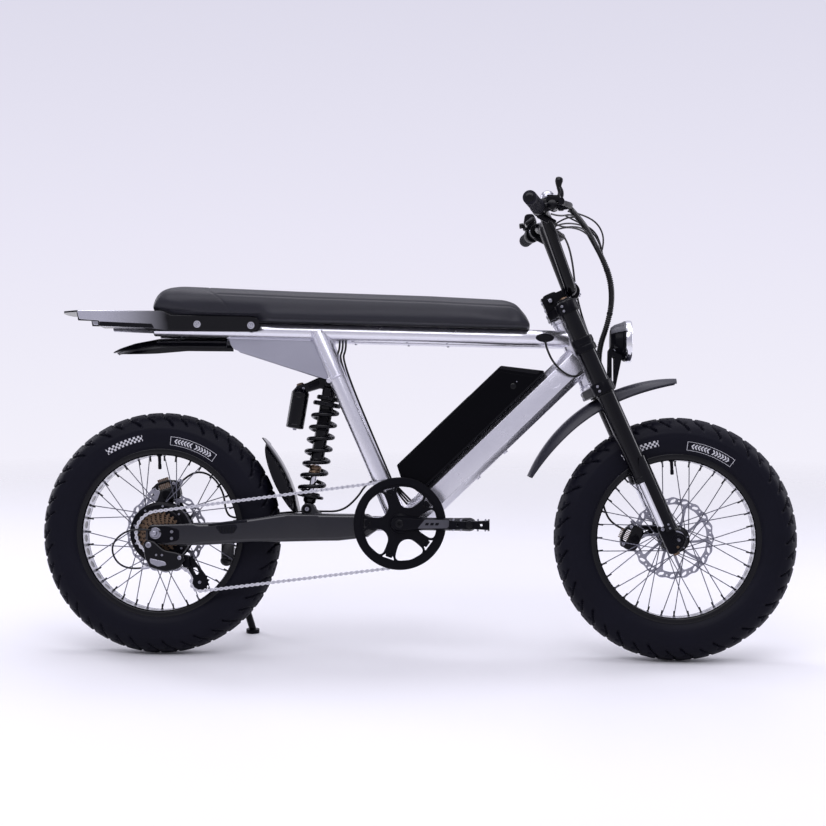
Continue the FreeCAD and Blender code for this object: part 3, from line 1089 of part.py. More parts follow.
def make_cockpit():
    """Stem, bar, grips, levers, controls and headlight."""
    gap = S["weld_gap"]
    high = S["head_above"] + S["cup_height"] + 0.3 + S["crown_height"]
    clamp = STEER.multVec(V(S["stem_reach"], 0, S["stem_rise"]))
    corner = V(-S["stem_back"], -S["stem_half"], high + gap)
    body = primitive("Box", "stem_body", Placement(corner, Rotation()),
                     Length="stem_back + stem_reach - 10", Width="2 * stem_half", Height="stem_height")
    local_clamp = V(S["stem_reach"], 0, S["stem_rise"])
    grip = bar("stem_clamp", local_clamp - Y_AXIS * S["clamp_half"], Y_AXIS, "clamp_radius",
               "2 * clamp_half")
    holes = [bar("stem_bar_hole", local_clamp - Y_AXIS * 60, Y_AXIS, "riser_radius + weld_gap", "120"),
             bar("stem_bore", V(), Z_AXIS, "steerer_radius + weld_gap", "300")]
    solid = boolean("MultiFuse", "stem_solid", [body, grip])
    room = boolean("MultiFuse", "stem_room", holes)
    parked(boolean("Cut", "stem", [solid, room]), "stem", STEER)

    knee = V(clamp.x, -62, clamp.z)
    shoulder = V(934, -104, S["bar_top"])
    end = V(S["bar_end_reach"], -S["bar_half_width"], S["bar_top"])
    thin, thick = S["bar_radius"], S["riser_radius"]
    unit = (end - shoulder).normalize()
    bend = S["bar_bend_radius"]
    swell = shoulder + unit * (bend * 0.8 + 6)
    middle = bent_bar([swell, shoulder, knee, V(knee.x, -knee.y, knee.z),
                       V(shoulder.x, -shoulder.y, shoulder.z), V(swell.x, -swell.y, swell.z)],
                      thick, bend)
    taper = Part.makeCone(thick, thin, 12, swell, unit)
    ends = fused([taper, rod(swell + unit * 12, end, thin)])
    feature("handlebar", [fused([middle, ends, mirrored(ends)])])

    covers, rooms = [], []
    for sign in (-1, 1):
        tip, out = V(end.x, sign * -end.y, end.z), V(unit.x, sign * -unit.y, unit.z)
        covers.append(bar("grip_cover", tip - out * S["grip_length"], out, "grip_radius",
                          "grip_length + 3"))
        rooms.append(bar("grip_room", tip - out * 300, out, "bar_radius + weld_gap", "300"))
    solid = boolean("MultiFuse", "grip_covers", covers)
    room = boolean("MultiFuse", "grip_rooms", rooms)
    parked(boolean("Cut", "grips", [solid, room]), "grips")

    bar_room = fused([bent_bar([swell, shoulder, knee, V(knee.x, 0, knee.z)], thick + gap, bend),
                      Part.makeCone(thick + gap, thin + gap, 12, swell, unit),
                      rod(swell + unit * 12, end, thin + gap)])
    clamp_at = end - unit * (S["grip_length"] + 2)
    bar_frame = Placement(clamp_at, Rotation(Y_AXIS, V(0, 0, 0) - unit))
    collar = rod(V(0, 8, 0), V(0, 30, 0), 17)
    pod = block(V(2, 6, -12), V(44, 34, 10))
    blade = cable([V(40, 18, 0), V(66, -14, -2), V(56, -64, -4), V(50, -112, -4)], 5)
    lever = moved(fused([collar, pod, blade]), bar_frame).cut(bar_room)
    feature("brake_levers", [lever, mirrored(lever)])

    throttle = moved(fused([rod(V(0, 44, 0), V(0, 62, 0), 18), rod(V(0, 53, 0), V(14, 51, 44), 6)]),
                     bar_frame).cut(bar_room)
    feature("bar_controls", [throttle, mirrored(throttle)])

    lamp = V(S["lamp_front"], 0, S["lamp_height"])
    depth, radius = S["lamp_depth"], S["lamp_radius"]
    lamp_profile = [(0, 0), (radius, 0), (radius, -14), (radius - 6, -20), (radius - 14, -depth + 8),
                    (radius - 22, -depth), (0, -depth)]
    wire = outline(lamp_profile, lambda r, x: lamp + V(x - 4, 0, r))
    housing = Part.Face(wire).revolve(lamp, X_AXIS, 360)
    foot = STEER.multVec(V(S["leg_lead"] + 24, 0, -S["head_below"] - S["cup_height"] - 14))
    arms = []
    for sign in (-1, 1):
        low, high_y = sorted((sign * 24, sign * 28))
        arms.append(side_plate([(foot.x - 8, foot.z - 8), (foot.x + 10, foot.z - 8),
                                (lamp.x - depth + 26, lamp.z - 34), (lamp.x - depth + 4, lamp.z - 6),
                                (lamp.x - depth - 8, lamp.z - 20)], low, high_y))
    cross = block(V(foot.x - 8, -28, foot.z - 8), V(foot.x + 4, 28, foot.z + 6))
    holder = fused(arms + [cross])
    lower = moved(block(V(-60, -130, -S["head_below"] - S["cup_height"] - 0.3 - S["crown_height"] - gap),
                        V(S["leg_lead"] + 20 + gap, 130, -S["head_below"])), STEER)
    feature("headlight", [fused([housing, holder.cut(lower)])])
    dome = primitive("Sphere", "lens_dome", Placement(V(4 - S["lens_dome_radius"], 0, 0), Rotation()),
                     Radius="lens_dome_radius")
    pane = bar("lens_pane", V(gap - 4, 0, 0), X_AXIS, "lamp_radius - 3", "14 - weld_gap")
    parked(boolean("Common", "headlight_lens", [pane, dome]), "headlight_lens",
           Placement(lamp, Rotation()))


def make_brakes():
    """Front and rear calipers on their brackets."""
    place, radius = S["rotor_place"], S["rotor_radius"]
    angle = math.radians(180 - 12)
    at = FRONT_AXLE + V((radius - 12) * math.cos(angle), place, (radius - 12) * math.sin(angle))
    body = block(at + V(-24, -16, -20), at + V(16, 18, 26))
    slot = ring([(0, place - 2), (radius + 3, place - 2), (radius + 3, place + 2), (0, place + 2)],
                FRONT_AXLE)
    leg = V(S["leg_lead"], S["leg_spacing"], 0)
    bracket_low = STEER.multVec(V(leg.x, leg.y - 8, -S["lug_top"] - 10))
    bracket = rod(at + V(0, 14, 0), bracket_low, 6)
    lug = moved(block(V(S["leg_lead"] - 17, S["leg_spacing"] - 21, -545),
                      V(S["leg_lead"] + 17, S["leg_spacing"] + 14, -S["lug_top"])), STEER)
    legs_room = moved(rod(V(S["leg_lead"], S["leg_spacing"], -560), V(S["leg_lead"], S["leg_spacing"], -300),
                          S["stanchion_radius"] + 0.2), STEER)
    front = fused([body, bracket]).cut([slot, lug, legs_room])
    feature("front_caliper", [max(front.Solids, key=lambda solid: solid.Volume)])

    at = REAR_AXLE + V(-4, place, radius - 4)
    body = block(at + V(-22, -16, -20), at + V(34, 18, 16))
    bracket = side_plate([(at.x - 10, at.z - 14), (at.x + 30, at.z - 6), (62, 319.6), (32, 318.5)],
                         S["rotor_place"] + 14, S["arm_outer"] - 1)
    rear = fused([body, bracket]).cut(slot_of(REAR_AXLE))
    feature("rear_caliper", [max(rear.Solids, key=lambda solid: solid.Volume)])


def slot_of(centre):
    """Room that a rotor sweeps inside its caliper."""
    place, reach = S["rotor_place"], S["rotor_radius"] + 3
    return ring([(0, place - 2), (reach, place - 2), (reach, place + 2), (0, place + 2)], centre)


def stand_axis():
    """Hinge axis of the side stand: it turns the leg from the floor to lie back."""
    down = (stand_foot() - STAND).normalize()
    back = V(-1, 0.12, 0.02).normalize()
    return down.cross(back).normalize()


def stand_foot():
    """Middle of the stand's foot on the floor."""
    return V(S["foot_x"], S["foot_y"], FLOOR_AT_FOOT)


def make_stand():
    """Side stand: a boss on the pin, a leg and a round foot flat on the floor."""
    axis = stand_axis()
    up = V(0, -math.sin(LEAN), math.cos(LEAN))
    foot = stand_foot()
    ankle = foot + up * (S["foot_height"] - 1)
    pieces = [
        bar("stand_hinge", STAND - axis * S["stand_boss_half"], axis, "stand_boss", "2 * stand_boss_half"),
        bar("stand_leg", STAND, ankle - STAND, "stand_radius", f"{(ankle - STAND).Length:.3f}"),
        bar("stand_pad", foot, up, "foot_radius", "foot_height"),
    ]
    bore = bar("stand_bore", STAND - axis * 60, axis, "stand_radius - 3 + running_gap", "120")
    solid = boolean("MultiFuse", "stand_solid", pieces)
    parked(boolean("Cut", "side_stand", [solid, bore]), "side_stand")


def make_cables():
    """Hoses and looms that the bike holds all the way."""
    thin, gap = S["cable_radius"], S["weld_gap"]
    loom = cable([V(996, -128, 1084), V(1030, -80, 1055), V(1056, -45, 1015), V(1080, -25, 975),
                  V(1100, -6, 925), V(1103, 0, 870), V(1091, 0, 815), V(1074, 0, 766),
                  V(1069.8, 0, 712), V(1085.8, 0, 674.6)], S["loom_radius"])
    right_hose = cable([V(947, -204, 1073.5), V(955, -165, 1082), V(980, -146, 1090),
                        V(995.6, -128.6, 1084.5)], thin)
    feature("bar_loom", [loom, right_hose])
    front_hose = cable([V(947, 204, 1073.5), V(962, 165, 1085), V(1004, 104, 1035), V(1022, 82, 866),
                        V(1085, 80, 719), V(1116, 76, 650), V(1122, 58.2, 582), V(1198, 58.2, 398),
                        V(1180, 64, 362), V(1168, 66, 342.2)], thin)
    feature("front_hose", [front_hose])

    _, _, upward = tube_frame()
    ports = []
    for number in range(3):
        x, y = 452 - 8 * number, 5 * number - S["rail_spacing"]
        drop = math.sqrt(S["rail_radius"] ** 2 - (y + S["rail_spacing"]) ** 2)
        port = V(x, y, rail_axis(x).z - drop - thin)
        entry = tube_top(22 + 6 * number) + V(0, y + 26, 0)
        ports.append(cable([port, V(x + 2, y, port.z - 16), V(x - 12, y + 20, port.z - 44),
                            V(x + 105, y + 24, 454), entry + upward * 32, entry + upward * gap], thin))
    feature("frame_cables", ports)

    rear_hose = cable([V(518, 39.9, 429.6), V(500, 40, 421.7), V(478, 44, 386), V(440, 45, 352.4),
                       V(384, 46, 352), V(330, 72, 351.5), V(230, 78, 343), V(120, 76, 345),
                       V(72, 68, 384), V(31, 66, 395)], thin)
    feature("rear_hose", [rear_hose])


make_wheels()
make_frame()
make_swingarm()
make_shock()
make_drive()
make_tail()
make_fork()
make_cockpit()
make_brakes()
make_stand()
make_cables()

doc.recompute()
for obj in doc.Objects:
    if "Invalid" in obj.State or "Error" in obj.State:
        raise RuntimeError(f"{obj.Label} failed: {obj.State}")
for obj in SUB_PARTS:
    if obj.Shape.isNull() or not obj.Shape.isValid():
        raise RuntimeError(f"{obj.Label} has a bad shape")

# The whole bike's box puts the origin under its middle
box = FreeCAD.BoundBox()
for obj in SUB_PARTS:
    box.add(obj.Shape.optimalBoundingBox(False, False))
shift = V(-(box.XMin + box.XMax) / 2, -(box.YMin + box.YMax) / 2, 0)
for obj in SUB_PARTS:
    obj.Placement = Placement(obj.Placement.Base + shift, obj.Placement.Rotation)
doc.recompute()
for obj in SUB_PARTS:
    obj.Shape.exportStep(f"parts/{obj.Label}.step")
    low, high = obj.Shape.BoundBox.ZMin, obj.Shape.BoundBox.ZMax
    print(f"{obj.Label:16s} solids {len(obj.Shape.Solids):3d} volume {obj.Shape.Volume / 1000:9.1f} cm3"
          f" z {low:8.2f} {high:8.2f}")
print("shift", tuple(shift), "box", box)
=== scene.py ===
"""Dressed model of an electric bike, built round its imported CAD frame.

Shapes are made in the upright bike's own frame, in millimetres: X forward, Y to the bike's left,
Z up, with the origin on the floor under the rear axle. One transform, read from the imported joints,
leans them with the parked bike.
"""
from __future__ import annotations

import json
import logging
import math
from dataclasses import dataclass, field
from enum import Enum
from typing import Any, Callable, Iterable, Mapping, Sequence

import bmesh
import bpy
import numpy as np
from mathutils import Matrix, Vector

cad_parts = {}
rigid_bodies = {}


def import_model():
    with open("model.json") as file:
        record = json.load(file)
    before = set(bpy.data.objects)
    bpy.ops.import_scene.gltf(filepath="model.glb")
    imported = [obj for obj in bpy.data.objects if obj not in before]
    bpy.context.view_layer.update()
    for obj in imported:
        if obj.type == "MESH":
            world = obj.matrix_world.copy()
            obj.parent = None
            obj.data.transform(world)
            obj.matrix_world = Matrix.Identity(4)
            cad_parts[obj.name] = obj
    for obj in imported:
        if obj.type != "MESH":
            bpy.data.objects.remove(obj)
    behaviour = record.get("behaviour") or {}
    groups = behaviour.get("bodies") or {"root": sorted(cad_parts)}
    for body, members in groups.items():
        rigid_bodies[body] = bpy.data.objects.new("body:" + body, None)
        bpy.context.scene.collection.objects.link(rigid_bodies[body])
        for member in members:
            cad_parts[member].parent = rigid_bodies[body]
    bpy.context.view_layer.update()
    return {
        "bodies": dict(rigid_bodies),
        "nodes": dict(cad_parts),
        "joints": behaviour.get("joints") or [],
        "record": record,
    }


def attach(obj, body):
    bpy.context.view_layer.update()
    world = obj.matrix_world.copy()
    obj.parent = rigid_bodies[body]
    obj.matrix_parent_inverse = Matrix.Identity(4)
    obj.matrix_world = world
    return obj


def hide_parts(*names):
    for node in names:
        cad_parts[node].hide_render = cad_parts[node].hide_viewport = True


LOG = logging.getLogger("bike")
Point = tuple[float, float, float]
Flat = tuple[float, float]
AHEAD: Point = (1.0, 0.0, 0.0)
BACK: Point = (-1.0, 0.0, 0.0)
LEFT: Point = (0.0, 1.0, 0.0)
RIGHT: Point = (0.0, -1.0, 0.0)
UP: Point = (0.0, 0.0, 1.0)
DOWN: Point = (0.0, 0.0, -1.0)
ASKEW: Point = (0.31, 0.2, 0.93)
TUBE_LOW: Point = (615.0, 0.0, 332.0)


# Sizes


@dataclass(frozen=True)
class WheelSizes:
    """Sizes of a wheel, in millimetres."""

    base: float = 1260.0
    tyre_radius: float = 296.0
    rim_outer: float = 206.0
    rim_inner: float = 190.5
    rim_half: float = 40.0
    rim_steps: int = 180
    bead_radius: float = 193.8
    bead_half: float = 37.0
    knobs: int = 42
    spokes: int = 36
    rotor_radius: float = 99.8
    rotor_wave: float = 1.6
    rotor_waves: int = 20
    rotor_arms: int = 10
    rotor_face: float = 55.0
    sprockets: int = 7
    sprocket_radius: float = 51.0
    sprocket_step: float = 5.0
    sprocket_face: float = -47.0
    hub_half: float = 97.2
    axle_radius: float = 6.0


@dataclass(frozen=True)
class ForkSizes:
    """Sizes of the fork, as places along and ahead of the steering axis, in millimetres."""

    lead: float = 22.0
    spread: float = 85.0
    axle_lead: float = 39.0
    axle_drop: float = -517.7
    guard_low: float = -490.0
    guard_high: float = -300.0
    guard_radii: Flat = (28.0, 25.2)
    upper_crown: Flat = (89.3, 109.3)
    lower_crown: Flat = (-121.3, -101.3)
    fender_turn: Flat = (90.0, 157.6)
    fender_radius: float = 391.4
    fender_half: float = 54.0
    fender_wall: float = 3.0


@dataclass(frozen=True)
class DriveSizes:
    """Sizes of the chain drive, in millimetres."""

    chain_line: float = -66.0
    pitch: float = 12.7
    ring_radius: float = 104.5
    cog_radius: float = 53.0
    pulley_radius: float = 22.0
    crank: Flat = (591.0, 326.0)
    axle: Flat = (0.0, 296.0)
    pulley: Flat = (106.0, 178.0)
    crank_length: float = 170.0
    ring_root: float = 96.0
    ring_tip: float = 100.2
    ring_teeth: int = 52
    guard_radius: float = 112.0
    spider_arms: int = 5
    arm_face: float = 91.5
    pedal_near: float = 106.0
    pedal_far: float = 203.0


@dataclass(frozen=True)
class SeatSizes:
    """Sizes of the bench seat, in millimetres."""

    voxel: float = 5.5
    pressure: float = 4.0
    frames: int = 20
    puff: float = 3.0
    shrink: float = 1.8
    seam: float = 1.6
    seam_width: float = 1.9
    top_power: float = 2.8
    foot_power: float = 6.0
    side_power: float = 6.5


@dataclass(frozen=True)
class ShotSizes:
    """Place and lens of the camera, in the upright bike's frame, in millimetres and radians."""

    place: Point = (834.77, -4610.06, 403.22)
    yaw: float = 0.0473
    pitch: float = 0.042
    roll: float = 0.0112
    focal: float = 1874.6
    frame: int = 826
    sensor: float = 36.0


def sideways(side: int) -> Point:
    """Direction out to one side: -1 for the right, 1 for the left."""
    return 0.0, float(side), 0.0


def rail_line(x: Any, start: float = 798.0) -> Any:
    """Height, at forward places, of the rails' middle or of a line level with it."""
    return start - (x + 18.0) * 16.0 / 898.0


def spot(x: float, y: float, z: float) -> Any:
    """Dataclass field that holds a place as an array."""
    return field(default_factory=lambda: np.array((x, y, z)))


WHEEL = WheelSizes()
FORK = ForkSizes()
DRIVE = DriveSizes()
SEAT = SeatSizes()
SHOT = ShotSizes()


# Finishes


@dataclass(frozen=True)
class Finish:
    """Look of a material. Lengths are in metres.

    Attributes:
        color: base colour, linear.
        roughness: mean roughness.
        metallic: 0 for plastic and paint, 1 for uncoated metal.
        tint: how far the colour varies, as a share.
        spread: how far the roughness varies, up and down.
        grain: size of the surface's grain.
        bump: height of the grain.
        stretch: the grain's length along X, Y and Z, over its size.
        coat: weight of the clear coat.
        coat_roughness: roughness of the clear coat.
        specular: specular level.
        sheen: weight of the sheen.
        transmission: share of light that passes through.
    """

    color: Point
    roughness: float
    metallic: float = 0.0
    tint: float = 0.1
    spread: float = 0.06
    grain: float = 0.002
    bump: float = 0.0
    stretch: Point = (1.0, 1.0, 1.0)
    coat: float = 0.0
    coat_roughness: float = 0.05
    specular: float = 0.5
    sheen: float = 0.0
    transmission: float = 0.0


class Look(Enum):
    """Every finish on the bike."""

    GLOSS = Finish((0.0016, 0.0016, 0.0032), 0.17, tint=0.2, spread=0.04, grain=0.0012, bump=0.00001,
                   specular=0.22)
    SATIN = Finish((0.0024, 0.0024, 0.0045), 0.32, tint=0.25, spread=0.08, grain=0.0006, bump=0.00002,
                   specular=0.1)
    MATTE = Finish((0.005, 0.005, 0.01), 0.5, tint=0.2, spread=0.08, grain=0.0009, bump=0.00005,
                   specular=0.15)
    FENDER = Finish((0.016, 0.016, 0.026), 0.34, tint=0.2, spread=0.08, grain=0.0009, bump=0.00003,
                    specular=0.32)
    ARM = Finish((0.005, 0.005, 0.009), 0.2, tint=0.15, spread=0.05, grain=0.0012, bump=0.00001,
                 coat=0.25, coat_roughness=0.08, specular=0.42)
    ALUMINIUM = Finish((0.74, 0.735, 0.79), 0.26, metallic=0.92, tint=0.05, spread=0.05, grain=0.0022,
                       stretch=(9.0, 1.0, 9.0))
    WELD = Finish((0.6, 0.595, 0.67), 0.36, metallic=0.85, tint=0.12, spread=0.1, grain=0.0015,
                  bump=0.00003)
    PLATE = Finish((0.42, 0.42, 0.48), 0.3, metallic=0.9, tint=0.05, spread=0.06, grain=0.002,
                   stretch=(9.0, 1.0, 9.0))
    # painted reflection: the rack's flanges turn from gloss black to pale metal towards the tail
    FLANGE = Finish((0.003, 0.003, 0.004), 0.2, tint=0.2, spread=0.05, grain=0.001, specular=0.25)
    CHROME = Finish((0.74, 0.74, 0.78), 0.09, metallic=1.0, tint=0.04, spread=0.03, grain=0.002)
    STEEL = Finish((0.38, 0.38, 0.43), 0.28, metallic=1.0, tint=0.12, spread=0.08, grain=0.0008,
                   bump=0.00001)
    SPOKE = Finish((0.12, 0.12, 0.15), 0.35, metallic=0.95, tint=0.1, spread=0.08, grain=0.0008)
    CHAIN = Finish((0.76, 0.76, 0.8), 0.25, metallic=0.92, tint=0.14, spread=0.06, grain=0.0016)
    BRONZE = Finish((0.17, 0.115, 0.075), 0.3, metallic=0.9, tint=0.18, spread=0.08, grain=0.001)
    RUBBER = Finish((0.005, 0.005, 0.009), 0.55, tint=0.25, spread=0.1, grain=0.0007, bump=0.00005,
                    specular=0.12)
    CABLE = Finish((0.004, 0.004, 0.005), 0.36, tint=0.2, spread=0.1, grain=0.0015, bump=0.00003,
                   specular=0.3)
    BATTERY = Finish((0.0015, 0.0015, 0.0026), 0.22, tint=0.2, spread=0.05, grain=0.001, bump=0.00001,
                     specular=0.06)
    PANEL = Finish((0.07, 0.07, 0.085), 0.4, metallic=0.3, tint=0.12, spread=0.08, grain=0.0006)
    PALE = Finish((0.55, 0.55, 0.6), 0.5, tint=0.06, spread=0.06, grain=0.001)
    LENS = Finish((0.85, 0.88, 0.92), 0.05, tint=0.02, spread=0.02, grain=0.004, transmission=0.9)
    TYRE = Finish((0.0042, 0.0042, 0.009), 0.5, tint=0.18, spread=0.1, grain=0.0011, bump=0.00006,
                  specular=0.1)
    RIM = Finish((0.003, 0.003, 0.0045), 0.2, tint=0.2, spread=0.05, grain=0.001, specular=0.25)
    LEATHER = Finish((0.009, 0.009, 0.016), 0.4, tint=0.15, spread=0.08, grain=0.0016,
                     bump=0.00012, sheen=0.04, specular=0.35)
    GRIP = Finish((0.005, 0.005, 0.01), 0.6, tint=0.2, spread=0.08, grain=0.0008, bump=0.00006,
                  specular=0.15)


# The bike's own frame


class Bike:
    """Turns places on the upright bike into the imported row's frame."""

    def __init__(self, record: Mapping[str, Any]) -> None:
        """Read the lean and the place from the rear wheel's joint.

        Args:
            record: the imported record.
        """
        joints = {joint["name"]: joint for joint in record["behaviour"]["joints"]}
        wheel = joints["rear_wheel_spin"]
        side = np.array(wheel["axis"], float)
        ahead = np.array(AHEAD)
        upward = np.cross(ahead, side)
        self.turn = np.stack([ahead, side, upward], axis=1)
        self.shift = np.array(wheel["pos_m"]) - self.turn @ np.array((0.0, 0.0, WHEEL.tyre_radius / 1000))
        head = self.turn.T @ (np.array(joints["steering"]["pos_m"]) - self.shift) * 1000
        up = self.turn.T @ np.array(joints["steering"]["axis"])
        self.head = head
        self.up = up
        self.ahead = np.cross(LEFT, up)

    def row(self, points: np.ndarray) -> np.ndarray:
        """Row-frame points in metres from points on the upright bike in millimetres."""
        return np.asarray(points, float) / 1000 @ self.turn.T + self.shift

    def own(self, points: np.ndarray) -> np.ndarray:
        """Points on the upright bike in millimetres from row-frame points in metres."""
        return (np.asarray(points, float) - self.shift) @ self.turn * 1000

    def steered(self, points: np.ndarray) -> np.ndarray:
        """Points on the upright bike from (ahead of the steering axis, left, up along it).

        Args:
            points: places as (ahead of the steering axis, left, up along it).

        Returns:
            The same places on the upright bike, an (n, 3) array.
        """
        places = np.atleast_2d(np.asarray(points, float))
        basis = np.stack([self.ahead, np.array(LEFT), self.up])
        return self.head + places @ basis


# Mesh parts


@dataclass
class Shell:
    """Points in millimetres and faces of one mesh part.

    Attributes:
        points: an (n, 3) array.
        faces: corner numbers, face by face.
        looks: the finish of each face.
        chart: an (n, 2) array of texture places, or zeros.
    """

    points: np.ndarray
    faces: list[tuple[int, ...]]
    looks: list[Look]
    chart: np.ndarray

    @classmethod
    def of(cls, points: np.ndarray, faces: Iterable[Sequence[int]], look: Look,
           chart: np.ndarray | None = None) -> "Shell":
        """Shell whose faces all have one finish.

        Args:
            points: an (n, 3) array.
            faces: corner numbers, face by face.
            look: finish of every face.
            chart: an (n, 2) array of texture places, if the part has one.

        Returns:
            The new shell.
        """
        rows = [tuple(map(int, face)) for face in faces]
        flat = np.zeros((len(points), 2)) if chart is None else chart
        return cls(np.asarray(points, float), rows, [look] * len(rows), flat)

    def __add__(self, other: "Shell") -> "Shell":
        """Both shells as one part.

        Args:
            other: the shell to join on.

        Returns:
            A new shell with the points and faces of both.
        """
        base = len(self.points)
        faces = self.faces + [tuple(base + corner for corner in face) for face in other.faces]
        return Shell(np.vstack([self.points, other.points]), faces, self.looks + other.looks,
                     np.vstack([self.chart, other.chart]))

    def mapped(self, change: Callable[[np.ndarray], np.ndarray]) -> "Shell":
        """Copy with every point changed."""
        return Shell(change(self.points), self.faces, self.looks, self.chart)

    def moved(self, x: float = 0.0, y: float = 0.0, z: float = 0.0) -> "Shell":
        """Copy moved along the axes."""
        return self.mapped(lambda points: points + (x, y, z))

    def mirrored(self) -> "Shell":
        """Copy on the bike's other side."""
        return self.mapped(lambda points: points * (1.0, -1.0, 1.0))

    def both(self) -> "Shell":
        """This shell and its mirror image."""
        return self + self.mirrored()

    def turned(self, centre: Flat, degrees: float) -> "Shell":
        """Copy turned about a line along Y through a place (X, Z) in the side view.

        Args:
            centre: place (X, Z) of the line.
            degrees: the angle, from X towards Z.

        Returns:
            The turned copy.
        """
        angle = math.radians(degrees)
        cos, sin = math.cos(angle), math.sin(angle)

        def change(points: np.ndarray) -> np.ndarray:
            """Turn points about the line.

            Args:
                points: an (n, 3) array.

            Returns:
                The turned points.
            """
            x, z = points[:, 0] - centre[0], points[:, 2] - centre[1]
            return np.stack([centre[0] + x * cos - z * sin, points[:, 1],
                             centre[1] + x * sin + z * cos], axis=1)

        return self.mapped(change)


def joined(shells: Iterable[Shell]) -> Shell:
    """One part from many.

    Args:
        shells: the parts, in order.

    Returns:
        One shell with all their points and faces.
    """
    parts = list(shells)
    bases = np.cumsum([0] + [len(part.points) for part in parts])
    faces = [tuple(int(base) + corner for corner in face)
             for base, part in zip(bases, parts) for face in part.faces]
    return Shell(np.vstack([part.points for part in parts]), faces,
                 [look for part in parts for look in part.looks],
                 np.vstack([part.chart for part in parts]))


def around(shell: Shell, centre: Flat, count: int, start: float = 0.0) -> Shell:
    """Copies of a shell evenly about a wheel's axis."""
    return joined(shell.turned(centre, start + 360.0 * number / count) for number in range(count))


def grid_faces(rows: int, columns: int, close_rows: bool, close_columns: bool) -> np.ndarray:
    """Corner numbers of the quads between neighbouring rows and columns of a grid.

    A closed direction joins its last line of points to its first.

    Args:
        rows: how many rows of points there are.
        columns: how many points a row has.
        close_rows: whether the last row meets the first.
        close_columns: whether the last column meets the first.

    Returns:
        An (n, 4) array.
    """
    first = np.arange(rows if close_rows else rows - 1)
    second = np.arange(columns if close_columns else columns - 1)
    row, column = np.meshgrid(first, second, indexing="ij")
    next_row, next_column = (row + 1) % rows, (column + 1) % columns
    corners = [row * columns + column, row * columns + next_column,
               next_row * columns + next_column, next_row * columns + column]
    return np.stack(corners, axis=-1).reshape(-1, 4)


def grid(points: np.ndarray, look: Look, close_rows: bool = False, close_columns: bool = False,
         caps: bool = False, chart: np.ndarray | None = None) -> Shell:
    """Surface through a (rows, columns, 3) grid of points.

    Args:
        points: the grid.
        look: finish of every face.
        close_rows: whether the last row meets the first.
        close_columns: whether the last column meets the first.
        caps: whether the first and last rows are closed with a face each.
        chart: a (rows, columns, 2) grid of texture places.

    Returns:
        The surface as a shell.
    """
    rows, columns = points.shape[:2]
    faces = [tuple(face) for face in grid_faces(rows, columns, close_rows, close_columns)]
    if caps:
        last = (rows - 1) * columns
        faces += [tuple(range(columns)), tuple(range(last, last + columns))]
    flat = None if chart is None else chart.reshape(-1, 2)
    return Shell.of(points.reshape(-1, 3), faces, look, flat)


def unit(vector: np.ndarray) -> np.ndarray:
    """Vector or rows of vectors at length one."""
    vector = np.asarray(vector, float)
    return vector / np.linalg.norm(vector, axis=-1, keepdims=True)


def rounded(points: Sequence[Flat], radius: float, steps: int = 3, closed: bool = True) -> np.ndarray:
    """Polyline whose corners are replaced by short curves.

    Each corner becomes a quadratic curve that starts and ends at the corner's rounding distance
    along its two runs, or at 0.45 of a run that is too short for it.

    Args:
        points: corners of the polyline.
        radius: rounding distance.
        steps: runs in the curve at each corner.
        closed: whether the last point joins the first.

    Returns:
        The rounded polyline, an (n, 2) array.
    """
    flat = np.asarray(points, float)
    before, after = np.roll(flat, 1, axis=0), np.roll(flat, -1, axis=0)
    if not closed:
        before[0], after[-1] = flat[0], flat[-1]
    back, ahead = before - flat, after - flat
    back_run = np.linalg.norm(back, axis=1, keepdims=True) + 1e-9
    ahead_run = np.linalg.norm(ahead, axis=1, keepdims=True) + 1e-9
    enter = flat + back / back_run * np.minimum(radius, 0.45 * back_run)
    leave = flat + ahead / ahead_run * np.minimum(radius, 0.45 * ahead_run)
    share = np.linspace(0.0, 1.0, steps + 1)[None, :, None]
    curve = (enter[:, None] * (1 - share) ** 2 + 2 * flat[:, None] * share * (1 - share)
             + leave[:, None] * share ** 2)
    if not closed:
        return np.vstack([flat[:1], curve[1:-1].reshape(-1, 2), flat[-1:]])
    return curve.reshape(-1, 2)


@dataclass(frozen=True)
class Axis:
    """A line in space with a direction and a first side direction."""

    start: Point
    direction: Point
    side: Point = AHEAD

    def basis(self) -> tuple[np.ndarray, np.ndarray, np.ndarray]:
        """Two side directions and the line's own, each at length one.

        Returns:
            The first side, the second side and the line's direction.
        """
        along = unit(np.array(self.direction))
        first = np.array(self.side) - along * np.dot(self.side, along)
        if np.linalg.norm(first) < 1e-3:
            first = np.array(UP) - along * along[2]
        first = unit(first)
        return first, np.cross(along, first), along


def lathe(axis: Axis, profile: Sequence[Flat], look: Look, segments: int = 40,
          closed: bool = False, soften: float = 0.0) -> Shell:
    """Profile of (radius, distance along the axis) turned about the axis.

    A point goes to start + radius cos(a) side + radius sin(a) other side + distance direction.

    Args:
        axis: the line to turn about.
        profile: pairs of radius and distance; an open profile is capped at both ends.
        look: finish of every face.
        segments: steps round the axis.
        closed: whether the profile is a closed ring.
        soften: rounding distance at the profile's corners.

    Returns:
        The turned surface.
    """
    flat = np.asarray(profile, float)
    if soften:
        flat = rounded(flat, soften, 3, closed)
    first, second, along = axis.basis()
    angle = np.linspace(0.0, 2 * math.pi, segments, endpoint=False)
    circle = np.cos(angle)[:, None] * first + np.sin(angle)[:, None] * second
    points = (np.array(axis.start) + flat[:, 0, None, None] * circle[None]
              + flat[:, 1, None, None] * along)
    return grid(points, look, close_rows=closed, close_columns=True, caps=not closed)


